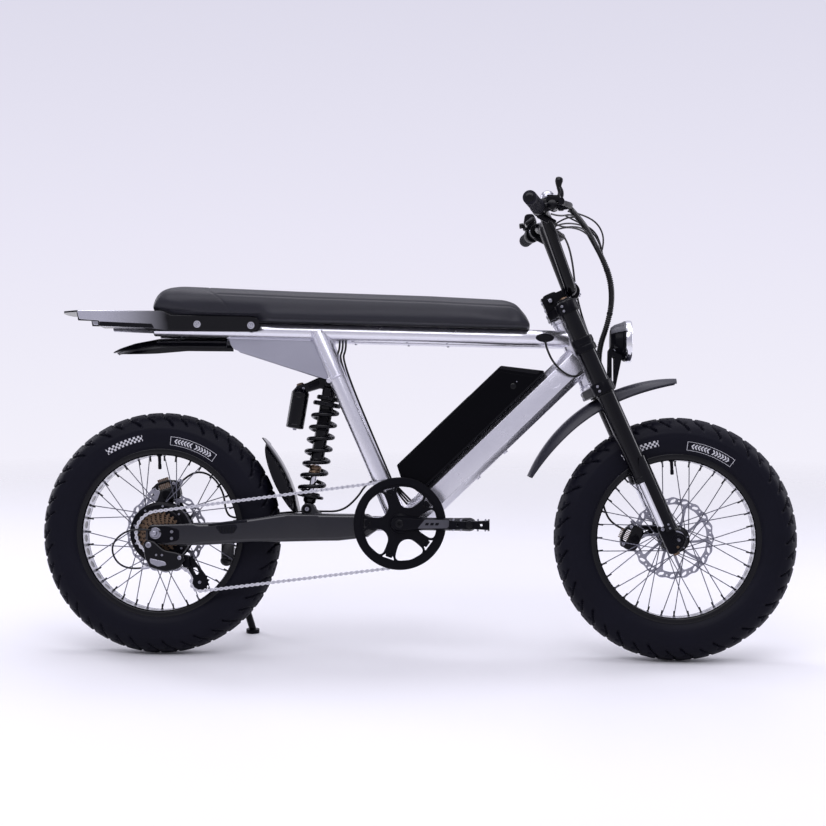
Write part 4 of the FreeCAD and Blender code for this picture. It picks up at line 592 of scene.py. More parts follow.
def rod(start: Sequence[float], end: Sequence[float], radius: float, look: Look,
        soften: float = 0.0, segments: int = 24) -> Shell:
    """Round bar between two points, with softened ends.

    Args:
        start: middle of one end.
        end: middle of the other end.
        radius: radius of the bar.
        look: finish of every face.
        soften: width of the softened edges.
        segments: steps round the bar.

    Returns:
        The bar.
    """
    start, end = np.array(start, float), np.array(end, float)
    length = float(np.linalg.norm(end - start))
    edge = min(soften, 0.45 * radius, 0.45 * length)
    profile = [(radius, 0.0), (radius, length)]
    if edge:
        profile = [(radius - edge, 0.0), (radius - edge * 0.3, edge * 0.3), (radius, edge),
                   (radius, length - edge), (radius - edge * 0.3, length - edge * 0.3),
                   (radius - edge, length)]
    return lathe(Axis(tuple(start), tuple(end - start)), profile, look, segments)


def frames(path: np.ndarray, reference: Point, closed: bool) -> tuple[np.ndarray, np.ndarray]:
    """Two side directions at each point of a path, both square to it.

    Args:
        path: an (n, 3) array of points.
        reference: direction that the second side leans to.
        closed: whether the path's end meets its start.

    Returns:
        The first and the second side direction at each point.
    """
    if closed:
        tangent = np.roll(path, -1, axis=0) - np.roll(path, 1, axis=0)
    else:
        tangent = np.gradient(path, axis=0)
    tangent = unit(tangent)
    first = unit(np.cross(tangent, np.array(reference)))
    return first, np.cross(tangent, first)


def sweep(path: np.ndarray, section: np.ndarray, look: Look, reference: Point = LEFT,
          closed: bool = False, scale: np.ndarray | None = None) -> Shell:
    """Closed section carried along a path.

    Args:
        path: an (n, 3) array of points.
        section: an (m, 2) closed outline, across the path.
        look: finish of every face.
        reference: direction that the section's second axis leans to.
        closed: whether the path's end meets its start.
        scale: size of the section at each point of the path.

    Returns:
        The swept bar, capped unless it is closed.
    """
    first, second = frames(path, reference, closed)
    size = np.ones(len(path)) if scale is None else scale
    points = (path[:, None] + size[:, None, None] * (section[None, :, 0, None] * first[:, None]
                                                     + section[None, :, 1, None] * second[:, None]))
    return grid(points, look, close_rows=closed, close_columns=True, caps=not closed)


def disc(radius: float, sides: int = 16) -> np.ndarray:
    """Round section."""
    angle = np.linspace(0.0, 2 * math.pi, sides, endpoint=False)
    return np.stack([radius * np.cos(angle), radius * np.sin(angle)], axis=1)


def vertex_array(mesh: bpy.types.Mesh) -> np.ndarray:
    """Places of a mesh's vertices.

    Args:
        mesh: the mesh.

    Returns:
        An (n, 3) array.
    """
    found = np.zeros(len(mesh.vertices) * 3)
    mesh.vertices.foreach_get("co", found)
    return found.reshape(-1, 3)


def curve_mesh(curve: bpy.types.Curve) -> tuple[np.ndarray, list[tuple[int, ...]]]:
    """Points and faces of the mesh that a curve makes. The curve is removed.

    Args:
        curve: the curve.

    Returns:
        The points, an (n, 3) array, and the corner numbers of each face.
    """
    body = bpy.data.objects.new(curve.name, curve)
    mesh = bpy.data.meshes.new_from_object(body)
    points, faces = vertex_array(mesh), [tuple(polygon.vertices) for polygon in mesh.polygons]
    bpy.data.objects.remove(body)
    bpy.data.curves.remove(curve)
    bpy.data.meshes.remove(mesh)
    return points, faces


def run_along(path: np.ndarray) -> np.ndarray:
    """Distance along a polyline at each of its points."""
    return np.concatenate([[0.0], np.cumsum(np.linalg.norm(np.diff(path, axis=0), axis=1))])


def read_at(path: np.ndarray, run: np.ndarray, places: np.ndarray) -> np.ndarray:
    """Points of a polyline at distances along it."""
    return np.stack([np.interp(places, run, column) for column in path.T], axis=1)


def smooth_path(points: Sequence[Point], count: int) -> np.ndarray:
    """Evenly spread points on a smooth curve near a route's points.

    Args:
        points: the route; the curve starts and ends on it and passes near the others.
        count: how many points the result has.

    Returns:
        A (count, 3) array, read from a NURBS curve of Blender's.
    """
    curve = bpy.data.curves.new("route", "CURVE")
    curve.dimensions = "3D"
    spline = curve.splines.new("NURBS")
    spline.points.add(len(points) - 1)
    flat = np.hstack([np.asarray(points, float), np.ones((len(points), 1))])
    spline.points.foreach_set("co", flat.ravel())
    spline.order_u = 3
    spline.use_endpoint_u = True
    spline.resolution_u = 24
    found, _ = curve_mesh(curve)
    run = run_along(found)
    return read_at(found, run, np.linspace(0.0, run[-1], count))


def plate(outlines: Sequence[np.ndarray], low: float, high: float, look: Look,
          bevel: float = 0.3) -> Shell:
    """Flat plate seen from the side, with its holes and bevelled edges.

    Args:
        outlines: closed outlines of (X, Z) pairs; those inside another are holes.
        low: Y of one face.
        high: Y of the other face.
        look: finish of every face.
        bevel: width of the edge's bevel.

    Returns:
        The plate.
    """
    curve = bpy.data.curves.new("plate", "CURVE")
    curve.dimensions = "2D"
    curve.fill_mode = "BOTH"
    for outline in outlines:
        spline = curve.splines.new("POLY")
        spline.points.add(len(outline) - 1)
        flat = np.hstack([outline, np.zeros((len(outline), 1)), np.ones((len(outline), 1))])
        spline.points.foreach_set("co", flat.ravel())
        spline.use_cyclic_u = True
    edge = min(bevel, 0.4 * (high - low))
    curve.extrude = (high - low) / 2 - edge
    curve.bevel_depth = edge
    curve.bevel_resolution = 1
    curve.offset = -edge
    points, faces = curve_mesh(curve)
    placed = np.stack([points[:, 0], (low + high) / 2 + points[:, 2], points[:, 1]], axis=1)
    return Shell.of(placed, faces, look)


def circle(centre: Flat, radius: float, sides: int = 24) -> np.ndarray:
    """Round outline in the side view."""
    return disc(radius, sides) + np.array(centre)


def ramp(values: np.ndarray, start: float, span: float) -> np.ndarray:
    """Share of a span that lies behind each value, from 0 to 1.

    Args:
        values: the places to read.
        start: the place where the share is 0.
        span: distance to the place where it is 1; below zero it lies on the lower side.

    Returns:
        The shares, an array of the values' shape.
    """
    return np.clip((values - start) / span, 0.0, 1.0)


def polar(centre: Flat, radii: np.ndarray, degrees: np.ndarray) -> np.ndarray:
    """Outline in the side view from radii and angles about a centre."""
    angle = np.radians(degrees)
    return np.stack([centre[0] + radii * np.cos(angle), centre[1] + radii * np.sin(angle)], axis=1)


def bolt(place: Sequence[float], direction: Point, radius: float, height: float,
         look: Look = Look.STEEL) -> Shell:
    """Round-headed screw with a hexagon socket, standing on a surface.

    Args:
        place: middle of the head's foot.
        direction: the way that the head points.
        radius: radius of the head.
        height: height of the head.
        look: finish of every face.

    Returns:
        The head with its socket.
    """
    axis = Axis(tuple(np.array(place, float)), direction)
    head = lathe(axis, [(radius, -0.4), (radius, height * 0.55), (radius * 0.8, height),
                        (radius * 0.5, height)], look, 20)
    socket = lathe(axis, [(radius * 0.5, height), (radius * 0.46, height * 0.35)], look, 6)
    return head + socket


# Shader graphs


class Socket:
    """An output of a shader node, with arithmetic that adds Math nodes."""

    def __init__(self, graph: "Graph", output: Any) -> None:
        """Keep the output and the graph that it belongs to."""
        self.graph = graph
        self.output = output

    def _math(self, operation: str, *values: Any) -> "Socket":
        """Math node with the given values as its inputs."""
        return self.graph.add("ShaderNodeMath", dict(enumerate(values)), {"operation": operation})

    def __add__(self, other: Any) -> "Socket":
        """This value plus another."""
        return self._math("ADD", self, other)

    def __radd__(self, other: Any) -> "Socket":
        """Another value plus this one."""
        return self._math("ADD", other, self)

    def __sub__(self, other: Any) -> "Socket":
        """This value less another."""
        return self._math("SUBTRACT", self, other)

    def __rsub__(self, other: Any) -> "Socket":
        """Another value less this one."""
        return self._math("SUBTRACT", other, self)

    def __mul__(self, other: Any) -> "Socket":
        """This value times another."""
        return self._math("MULTIPLY", self, other)

    def __rmul__(self, other: Any) -> "Socket":
        """Another value times this one."""
        return self._math("MULTIPLY", other, self)

    def __truediv__(self, other: Any) -> "Socket":
        """This value over another."""
        return self._math("DIVIDE", self, other)

    def __rtruediv__(self, other: Any) -> "Socket":
        """Another value over this one."""
        return self._math("DIVIDE", other, self)

    def __gt__(self, other: Any) -> "Socket":
        """1 where this value is greater, else 0."""
        return self._math("GREATER_THAN", self, other)

    def __lt__(self, other: Any) -> "Socket":
        """1 where this value is less, else 0."""
        return self._math("LESS_THAN", self, other)

    def apply(self, operation: str, *values: Any) -> "Socket":
        """Any other Math operation on this value and more."""
        return self._math(operation, self, *values)

    def within(self, low: float, high: float) -> "Socket":
        """1 where this value lies between two numbers, else 0."""
        return (self > low) * (self < high)


class Graph:
    """The node tree of one material or of the world."""

    def __init__(self, tree: bpy.types.NodeTree) -> None:
        """Keep the tree and its surface shader, if it has one.

        Args:
            tree: node tree of a material or of the world.
        """
        self.tree = tree
        self.material: bpy.types.Material | None = None
        self.shader = next((node for node in tree.nodes if node.type == "BSDF_PRINCIPLED"), None)

    @classmethod
    def for_material(cls, name: str) -> "Graph":
        """Graph of a new material with a plain surface shader.

        Args:
            name: the material's name.

        Returns:
            The graph, with its material.
        """
        material = bpy.data.materials.new(name)
        material.use_nodes = True
        graph = cls(material.node_tree)
        graph.material = material
        return graph

    def add(self, kind: str, inputs: Mapping[Any, Any] | None = None,
            settings: Mapping[str, Any] | None = None, output: Any = 0) -> Socket:
        """Add a node of any kind.

        Args:
            kind: the node's type name.
            inputs: values or sockets, by the input's name or number.
            settings: the node's own properties, set first; "stops" holds a ramp's stops.
            output: name or number of the output to return.

        Returns:
            That output.
        """
        node = self.tree.nodes.new(kind)
        for key, value in (settings or {}).items():
            if key == "stops":
                elements = node.color_ramp.elements
                while len(elements) < len(value):
                    elements.new(0.5)
                for element, (place, color) in zip(elements, value):
                    element.position, element.color = place, (*color, 1.0)
            else:
                setattr(node, key, value)
        for key, value in (inputs or {}).items():
            self.feed(node.inputs[key], value)
        return Socket(self, node.outputs[output] if len(node.outputs) else None)

    def feed(self, target: Any, value: Any) -> None:
        """Link a socket to an input, or set the input to a plain value.

        Args:
            target: the input.
            value: a socket or a plain value.
        """
        if isinstance(value, Socket):
            self.tree.links.new(value.output, target)
        else:
            target.default_value = value

    def surface(self, **inputs: Any) -> None:
        """Set the shader's inputs; an underscore in a name stands for a space."""
        for key, value in inputs.items():
            self.feed(self.shader.inputs[key.replace("_", " ")], value)

    def places(self, output: str = "Object") -> Socket:
        """Texture coordinates on the object."""
        return self.add("ShaderNodeTexCoord", output=output)

    def noise(self, size: float, detail: float = 3.0, stretch: Point = (1.0, 1.0, 1.0)) -> Socket:
        """Noise of a size in metres, drawn out along the axes.

        Args:
            size: size of the grain in metres.
            detail: how many finer layers it has.
            stretch: the grain's length along each axis, over its size.

        Returns:
            The noise, from 0 to 1.
        """
        scale = tuple(1.0 / (size * part) for part in stretch)
        spot = self.add("ShaderNodeMapping", {"Vector": self.places(), "Scale": scale})
        return self.add("ShaderNodeTexNoise", {"Vector": spot, "Scale": 1.0, "Detail": detail},
                        output="Fac")

    def blend(self, share: Any, low: Sequence[float], high: Sequence[float]) -> Socket:
        """Colour between two colours, through the Mix node's colour sockets (6, 7 and 2)."""
        ends = [end if isinstance(end, Socket) else (*end, 1.0) for end in (low, high)]
        return self.add("ShaderNodeMix", {0: share, 6: ends[0], 7: ends[1]}, {"data_type": "RGBA"}, 2)

    def pick(self, value: Any, low: float, high: float) -> Socket:
        """Number between two numbers, as a value from 0 to 1 goes up."""
        return self.add("ShaderNodeMapRange", {"Value": value, "To Min": low, "To Max": high})

    def relief(self, height: Socket, distance: float) -> None:
        """Bump the surface by a height from 0 to 1."""
        self.surface(Normal=self.add("ShaderNodeBump", {"Height": height, "Distance": distance,
                                                        "Strength": 0.8}, output="Normal"))


def tinted(color: Sequence[float], share: float) -> Point:
    """Colour made lighter by a share."""
    return tuple(min(1.0, part * (1.0 + share)) for part in color)


class Palette:
    """Makes each look's material once."""

    def __init__(self) -> None:
        """Start with no materials."""
        self.made: dict[Look, bpy.types.Material] = {}
        self.special: dict[Look, Callable[[Graph, Finish, Socket], None]] = {
            Look.TYRE: self.tyre, Look.RIM: self.rim, Look.LEATHER: self.leather,
            Look.BATTERY: self.battery, Look.FLANGE: self.flange,
        }

    def material(self, look: Look) -> bpy.types.Material:
        """The material of a look.

        Args:
            look: the look.

        Returns:
            Its material.
        """
        if look not in self.made:
            self.made[look] = self.build(look)
        return self.made[look]

    def build(self, look: Look) -> bpy.types.Material:
        """Common ground of all looks: blotches, grain, gloss that varies and a fine relief.

        Args:
            look: the look.

        Returns:
            The new material.
        """
        finish: Finish = look.value
        graph = Graph.for_material(look.name.lower())
        blotch = graph.noise(0.07, 4.0)
        grain = graph.noise(finish.grain, 4.0, finish.stretch)
        low, high = tinted(finish.color, -finish.tint), tinted(finish.color, finish.tint)
        graph.surface(
            Base_Color=graph.blend(blotch * 0.6 + grain * 0.4, low, high),
            Roughness=graph.pick(grain * 0.5 + blotch * 0.5, max(0.02, finish.roughness - finish.spread),
                                 finish.roughness + finish.spread),
            Metallic=finish.metallic, Coat_Weight=finish.coat,
            Coat_Roughness=finish.coat_roughness, Specular_IOR_Level=finish.specular,
            Sheen_Weight=finish.sheen, Transmission_Weight=finish.transmission)
        if finish.bump:
            graph.relief(grain, finish.bump)
        if look in self.special:
            self.special[look](graph, finish, blotch)
        return graph.material

    def tyre(self, graph: Graph, finish: Finish, blotch: Socket) -> None:
        """Matte rubber with a pale generic pattern on the right-hand side wall.

        The chart holds the angle round the wheel in degrees and the radius in millimetres, with
        400 added on the left-hand side. A strip of small squares runs from 102 to 124 degrees. A
        thin frame with slanted bars runs from 54 to 84 degrees.

        Args:
            graph: the material's graph.
            finish: the look's finish.
            blotch: noise of wide blotches, from 0 to 1.
        """
        spot = graph.add("ShaderNodeSeparateXYZ", {0: graph.places("UV")})
        node = spot.output.node
        angle, radius = Socket(graph, node.outputs[0]) * 360.0, Socket(graph, node.outputs[1]) * 1000.0
        squares = graph.add("ShaderNodeTexChecker", {
            "Vector": graph.add("ShaderNodeCombineXYZ", {0: angle / 1.3, 1: (radius - 228.0) / 5.0,
                                                         2: 0.5}),
            "Scale": 1.0}, output="Fac")
        strip = squares * angle.within(101.0, 124.0) * radius.within(228.0, 242.9)
        middle = (radius - 227.0).apply("ABSOLUTE")
        inside = angle.within(54.4, 83.6) * (middle < 9.7)
        frame = angle.within(54.1, 83.9) * (middle < 10.6) * (1.0 - inside)
        mirrored = (angle - 69.0).apply("ABSOLUTE")
        slant = ((mirrored + middle * 0.2) / 1.9).apply("FRACT")
        bars = (slant < 0.5) * (mirrored + middle * 0.2).within(1.9, 13.3) * (middle < 6.0)
        mark = (strip + frame + bars).apply("MINIMUM", 1.0)
        rubber = graph.blend(blotch, tinted(finish.color, -0.2), tinted(finish.color, 0.25))
        graph.surface(Base_Color=graph.blend(mark, rubber, (0.62, 0.62, 0.66)))

    def rim(self, graph: Graph, finish: Finish, blotch: Socket) -> None:
        """Black rim whose inner bed is silver, with dark ovals between the spokes.

        The chart holds the angle in turns and, on the bed alone, a second number above 1 that
        goes from 1 to 2 across it.

        Args:
            graph: the material's graph.
            finish: the look's finish.
            blotch: noise of wide blotches, from 0 to 1.
        """
        spot = graph.add("ShaderNodeSeparateXYZ", {0: graph.places("UV")})
        node = spot.output.node
        turn, across = Socket(graph, node.outputs[0]), Socket(graph, node.outputs[1])
        cell = (turn * WHEEL.spokes).apply("FRACT") - 0.5
        offset = across - 1.5
        oval = ((cell * cell) / 0.075 + (offset * offset) / 0.085) < 1.0
        silver = (across > 1.0) * (1.0 - oval)
        shade = graph.blend(blotch, (0.5, 0.5, 0.54), (0.62, 0.62, 0.66))
        graph.surface(Base_Color=graph.blend(silver, finish.color, shade),
                      Metallic=silver * 0.9, Roughness=graph.pick(silver, finish.roughness, 0.32))

    def leather(self, graph: Graph, finish: Finish, blotch: Socket) -> None:
        """Grained vinyl: fine cells with darker seams between them.

        Args:
            graph: the material's graph.
            finish: the look's finish.
            blotch: noise of wide blotches, from 0 to 1.
        """
        scale = tuple(1.0 / finish.grain for _ in range(3))
        spot = graph.add("ShaderNodeMapping", {"Vector": graph.places(), "Scale": scale})
        cells = graph.add("ShaderNodeTexVoronoi", {"Vector": spot, "Scale": 1.0},
                          {"feature": "DISTANCE_TO_EDGE"}, "Distance")
        raised = (cells * 3.0).apply("MINIMUM", 1.0)
        color = graph.blend(raised, tinted(finish.color, -0.35), tinted(finish.color, 0.2))
        graph.surface(Base_Color=graph.blend(blotch * 0.3, color, tinted(finish.color, 0.4)),
                      Roughness=graph.pick(raised, finish.roughness + 0.1, finish.roughness - 0.06))
        graph.relief(raised, finish.bump)

    def flange(self, graph: Graph, finish: Finish, blotch: Socket) -> None:
        """Gloss black that turns to pale polished metal towards the rack's tail: a painted reflection of the
        pale backdrop on the flange's side.

        Args:
            graph: the material's graph.
            finish: the look's finish.
            blotch: noise of wide blotches, from 0 to 1.
        """
        spot = graph.add("ShaderNodeSeparateXYZ", {0: graph.places()})
        # painted reflection: base colour and metallic go from black to pale metal along X towards the tail,
        # in place of the backdrop's reflection
        reflection_share = graph.add("ShaderNodeMapRange", {"Value": spot + blotch * 0.02, "From Min": -0.76,
                                                "From Max": -0.6, "To Min": 1.0, "To Max": 0.0})
        graph.surface(Base_Color=graph.blend(reflection_share, finish.color, (0.62, 0.62, 0.68)), Metallic=reflection_share * 0.95)

    def battery(self, graph: Graph, finish: Finish, blotch: Socket) -> None:
        """Gloss plastic with a faint cloudy reflection and fine scratches."""
        scratch = graph.noise(0.0007, 2.0, (40.0, 1.0, 1.0))
        graph.surface(Roughness=graph.pick(scratch * 0.4 + blotch * 0.6, 0.18, 0.3))


# Pieces in the scene


class Workshop:
    """Puts finished meshes in the scene, on the bodies that they ride."""

    def __init__(self, frame: Mapping[str, Any]) -> None:
        """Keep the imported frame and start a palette.
        """
        self.frame = frame
        self.bike = Bike(frame["record"])
        self.palette = Palette()
        self.made: list[str] = []
        self.slots = {row["node"]: row["material_slot"] for row in frame["record"]["subparts"]}
        self.bodies = {node: body for body, names in frame["record"]["behaviour"]["bodies"].items()
                       for node in names}

    def place(self, name: str, shell: Shell, node: str, replaces: bool = True,
              body: str | None = None, sharp: float = 35.0) -> bpy.types.Object:
        """Put a shell in the scene.

        Args:
            name: the piece's name.
            shell: its mesh, in the upright bike's frame.
            node: the CAD node that it stands for or goes with.
            replaces: whether the CAD node is hidden.
            body: the body it rides, if not the node's own.
            sharp: angle between faces, in degrees, above which an edge is sharp.

        Returns:
            The new object.
        """
        mesh = bpy.data.meshes.new(name)
        mesh.from_pydata(self.bike.row(shell.points).tolist(), [], shell.faces)
        looks = list(dict.fromkeys(shell.looks))
        for look in looks:
            mesh.materials.append(self.palette.material(look))
        order = {look: number for number, look in enumerate(looks)}
        mesh.polygons.foreach_set("material_index", [order[look] for look in shell.looks])
        if shell.chart.any():
            corners = np.zeros(len(mesh.loops), np.int32)
            mesh.loops.foreach_get("vertex_index", corners)
            layer = mesh.uv_layers.new(name="chart")
            layer.data.foreach_set("uv", shell.chart[corners].astype(np.float32).ravel())
        self.tidy(mesh, sharp)
        return self.finish(name, mesh, node, replaces, body)

    @staticmethod
    def tidy(mesh: bpy.types.Mesh, sharp: float) -> None:
        """Turn the faces outwards, then shade smooth with sharp edges.

        Args:
            mesh: the mesh.
            sharp: angle between faces, in degrees, above which an edge is sharp.
        """
        work = bmesh.new()
        work.from_mesh(mesh)
        bmesh.ops.recalc_face_normals(work, faces=work.faces)
        work.to_mesh(mesh)
        work.free()
        mesh.polygons.foreach_set("use_smooth", np.ones(len(mesh.polygons), bool))
        mesh.set_sharp_from_angle(angle=math.radians(sharp))
        mesh.update()

    def finish(self, name: str, mesh: bpy.types.Mesh, node: str, replaces: bool,
               body: str | None = None) -> bpy.types.Object:
        """Link a mesh as a piece that rides on a body.

        Args:
            name: the piece's name.
            mesh: its mesh.
            node: the CAD node that it stands for or goes with.
            replaces: whether the CAD node is hidden.
            body: the body that it rides, if not the node's own.

        Returns:
            The new object.
        """
        piece = bpy.data.objects.new(name, mesh)
        bpy.context.scene.collection.objects.link(piece)
        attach(piece, body or self.bodies[node])
        if replaces:
            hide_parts(node)
        self.made.append(name)
        return piece

    def softened(self, node: str, look: Look, bevel: float = 0.8, sharp: float = 32.0,
                 regions: Sequence[tuple[Look, Callable[[np.ndarray], np.ndarray]]] = ()
                 ) -> bpy.types.Object:
        """Stand-in for a CAD node: the same solid with rolled edges and a real finish.

        Args:
            node: the CAD node.
            look: its main finish.
            bevel: width of the rolled edges, in millimetres.
            sharp: angle in degrees above which an edge is rolled.
            regions: other looks, each with a test of the face centres on the upright bike.

        Returns:
            The new object.
        """
        mesh = self.frame["nodes"][node].data.copy()
        mesh.name = f"{node}_dressed"
        mesh.materials.clear()
        work = bmesh.new()
        work.from_mesh(mesh)
        bmesh.ops.remove_doubles(work, verts=work.verts, dist=2e-6)
        bmesh.ops.dissolve_limit(work, angle_limit=math.radians(1.0), verts=work.verts, edges=work.edges)
        edges = [edge for edge in work.edges if len(edge.link_faces) == 2
                 and edge.calc_face_angle(0.0) > math.radians(sharp)]
        if bevel and edges:
            bmesh.ops.bevel(work, geom=edges, offset=bevel / 1000, segments=2, profile=0.6,
                            affect="EDGES", clamp_overlap=True)
        work.to_mesh(mesh)
        work.free()
        mesh.materials.append(self.palette.material(look))
        centres = np.zeros(len(mesh.polygons) * 3)
        mesh.polygons.foreach_get("center", centres)
        centres = self.bike.own(centres.reshape(-1, 3))
        choice = np.zeros(len(mesh.polygons), np.int32)
        for number, (other, test) in enumerate(regions, 1):
            mesh.materials.append(self.palette.material(other))
            choice[test(centres)] = number
        mesh.polygons.foreach_set("material_index", choice)
        self.tidy(mesh, 38.0)
        return self.finish(f"{node}_dressed", mesh, node, True)

    def repaint(self, node: str, look: Look) -> None:
        """Give a CAD node that is shown as it is a real finish.

        Args:
            node: the CAD node.
            look: its finish.
        """
        piece = self.frame["nodes"][node]
        piece.data.materials.clear()
        piece.data.materials.append(self.palette.material(look))


def hose(points: Sequence[Point], radius: float, count: int = 90) -> Shell:
    """Plain hose along a smooth line through a route."""
    return sweep(smooth_path(points, count), disc(radius, 12), Look.CABLE, ASKEW)


@dataclass(frozen=True)
class Part:
    """One sub-assembly: it holds its sizes, and builds and dresses its own pieces."""

    shop: Workshop

    @property
    def bike(self) -> Bike:
        """Frame of the upright bike."""
        return self.shop.bike

    @property
    def tube_run(self) -> np.ndarray:
        """Run of the down tube, from its low end to its end at the head tube."""
        return self.bike.steered((0.0, 0.0, -25.0))[0] - np.array(TUBE_LOW)

    def steered_lathe(self, lead: float, y: float, profile: Sequence[Flat], look: Look,
                      segments: int = 56, soften: float = 0.8, closed: bool = False) -> Shell:
        """Profile of (radius, place up the axis) turned about a line along the steering axis.

        Args:
            lead: place of the line ahead of the steering axis.
            y: its place to the left.
            profile: pairs of radius and place up the axis.
            look: finish of every face.
            segments: steps round the axis.
            soften: rounding distance at the profile's corners.
            closed: whether the profile is a closed ring.

        Returns:
            The turned surface.
        """
        base = self.bike.steered((lead, y, 0.0))[0]
        axis = Axis(tuple(base), tuple(self.bike.up), tuple(self.bike.ahead))
        return lathe(axis, profile, look, segments, closed, soften)

    def steered_bolt(self, place: Point, direction: Point, radius: float, height: float,
                     look: Look = Look.STEEL) -> Shell:
        """Screw at a place and in a direction of the steering frame."""
        way = self.bike.steered(direction)[0] - self.bike.head
        return bolt(self.bike.steered(place)[0], tuple(way), radius, height, look)


# Wheels


@dataclass(frozen=True)
class TreadSizes:
    """Sizes of the tread, in millimetres, and of its grid."""

    rows: int = 24
    columns: int = 61
    depth: float = 6.0
    groove: float = 0.045
    bevel: float = 0.05
    end_radius: float = 262.0
    end_step: float = 7.0
    end_fade: float = 4.0
    crown: float = 20.0
    bend: float = 0.75
    bend_reach: float = 26.0
    middle: float = 6.0
    middle_share: float = 0.45
    ring: float = 13.0
    ring_wave: float = 3.0
    ring_half: float = 0.9
    ring_bevel: float = 1.1
    ring_radius: float = 280.0
    ring_share: float = 0.6
    notch: tuple[float, float] = (30.0, 36.0)
    notch_span: tuple[float, float] = (0.1, 0.34)
    notch_bevel: float = 1.5
    notch_share: float = 0.5


TREAD = TreadSizes()
SIDE_WALL = ((206.0, 39.0), (212.0, 43.3), (222.0, 47.0), (232.0, 48.9), (243.0, 49.3), (256.0, 48.3),
             (268.0, 44.8), (276.0, 40.8), (283.0, 34.0), (289.0, 24.5), (293.5, 13.0), (295.6, 0.0))


def seamless(points: np.ndarray, chart: np.ndarray, look: Look) -> Shell:
    """Closed ring surface whose chart runs from 0 to 1 round the wheel.

    The first row is repeated at the end, with 1 in place of 0, and closes the ring.

    Args:
        points: a (rows, columns, 3) grid, one row for each angle.
        chart: a (rows, columns, 2) grid of texture places.
        look: finish of every face.

    Returns:
        The closed surface.
    """
    ring = np.concatenate([points, points[:1]])
    last = chart[:1] + np.array([1.0, 0.0])
    return grid(ring, look, close_columns=True, chart=np.concatenate([chart, last]))


def wheel_points(centre_x: float, angle: np.ndarray, radius: np.ndarray, width: np.ndarray) -> np.ndarray:
    """Points at angles and radii about a wheel's axle, at places across it."""
    return np.stack(np.broadcast_arrays(centre_x + radius * np.cos(angle), width,
                                        WHEEL.tyre_radius + radius * np.sin(angle)), axis=-1)


def toothed(centre: Flat, root: float, tip: float, teeth: int) -> np.ndarray:
    """Outline of a sprocket: each tooth rises from its root and has a short flat tip.

    Args:
        centre: place (X, Z) of the sprocket's middle.
        root: radius at the foot of the teeth.
        tip: radius at their tips.
        teeth: how many teeth there are.

    Returns:
        The outline, an (n, 2) array.
    """
    step = 360.0 / teeth
    start = np.arange(teeth)[:, None] * step
    angle = start + step * np.array([0.0, 0.16, 0.34, 0.5, 0.62, 0.8])
    radii = np.broadcast_to(np.array([root, root, tip - 0.8, tip, tip, root + 0.5]), angle.shape)
    return polar(centre, radii.ravel(), angle.ravel())


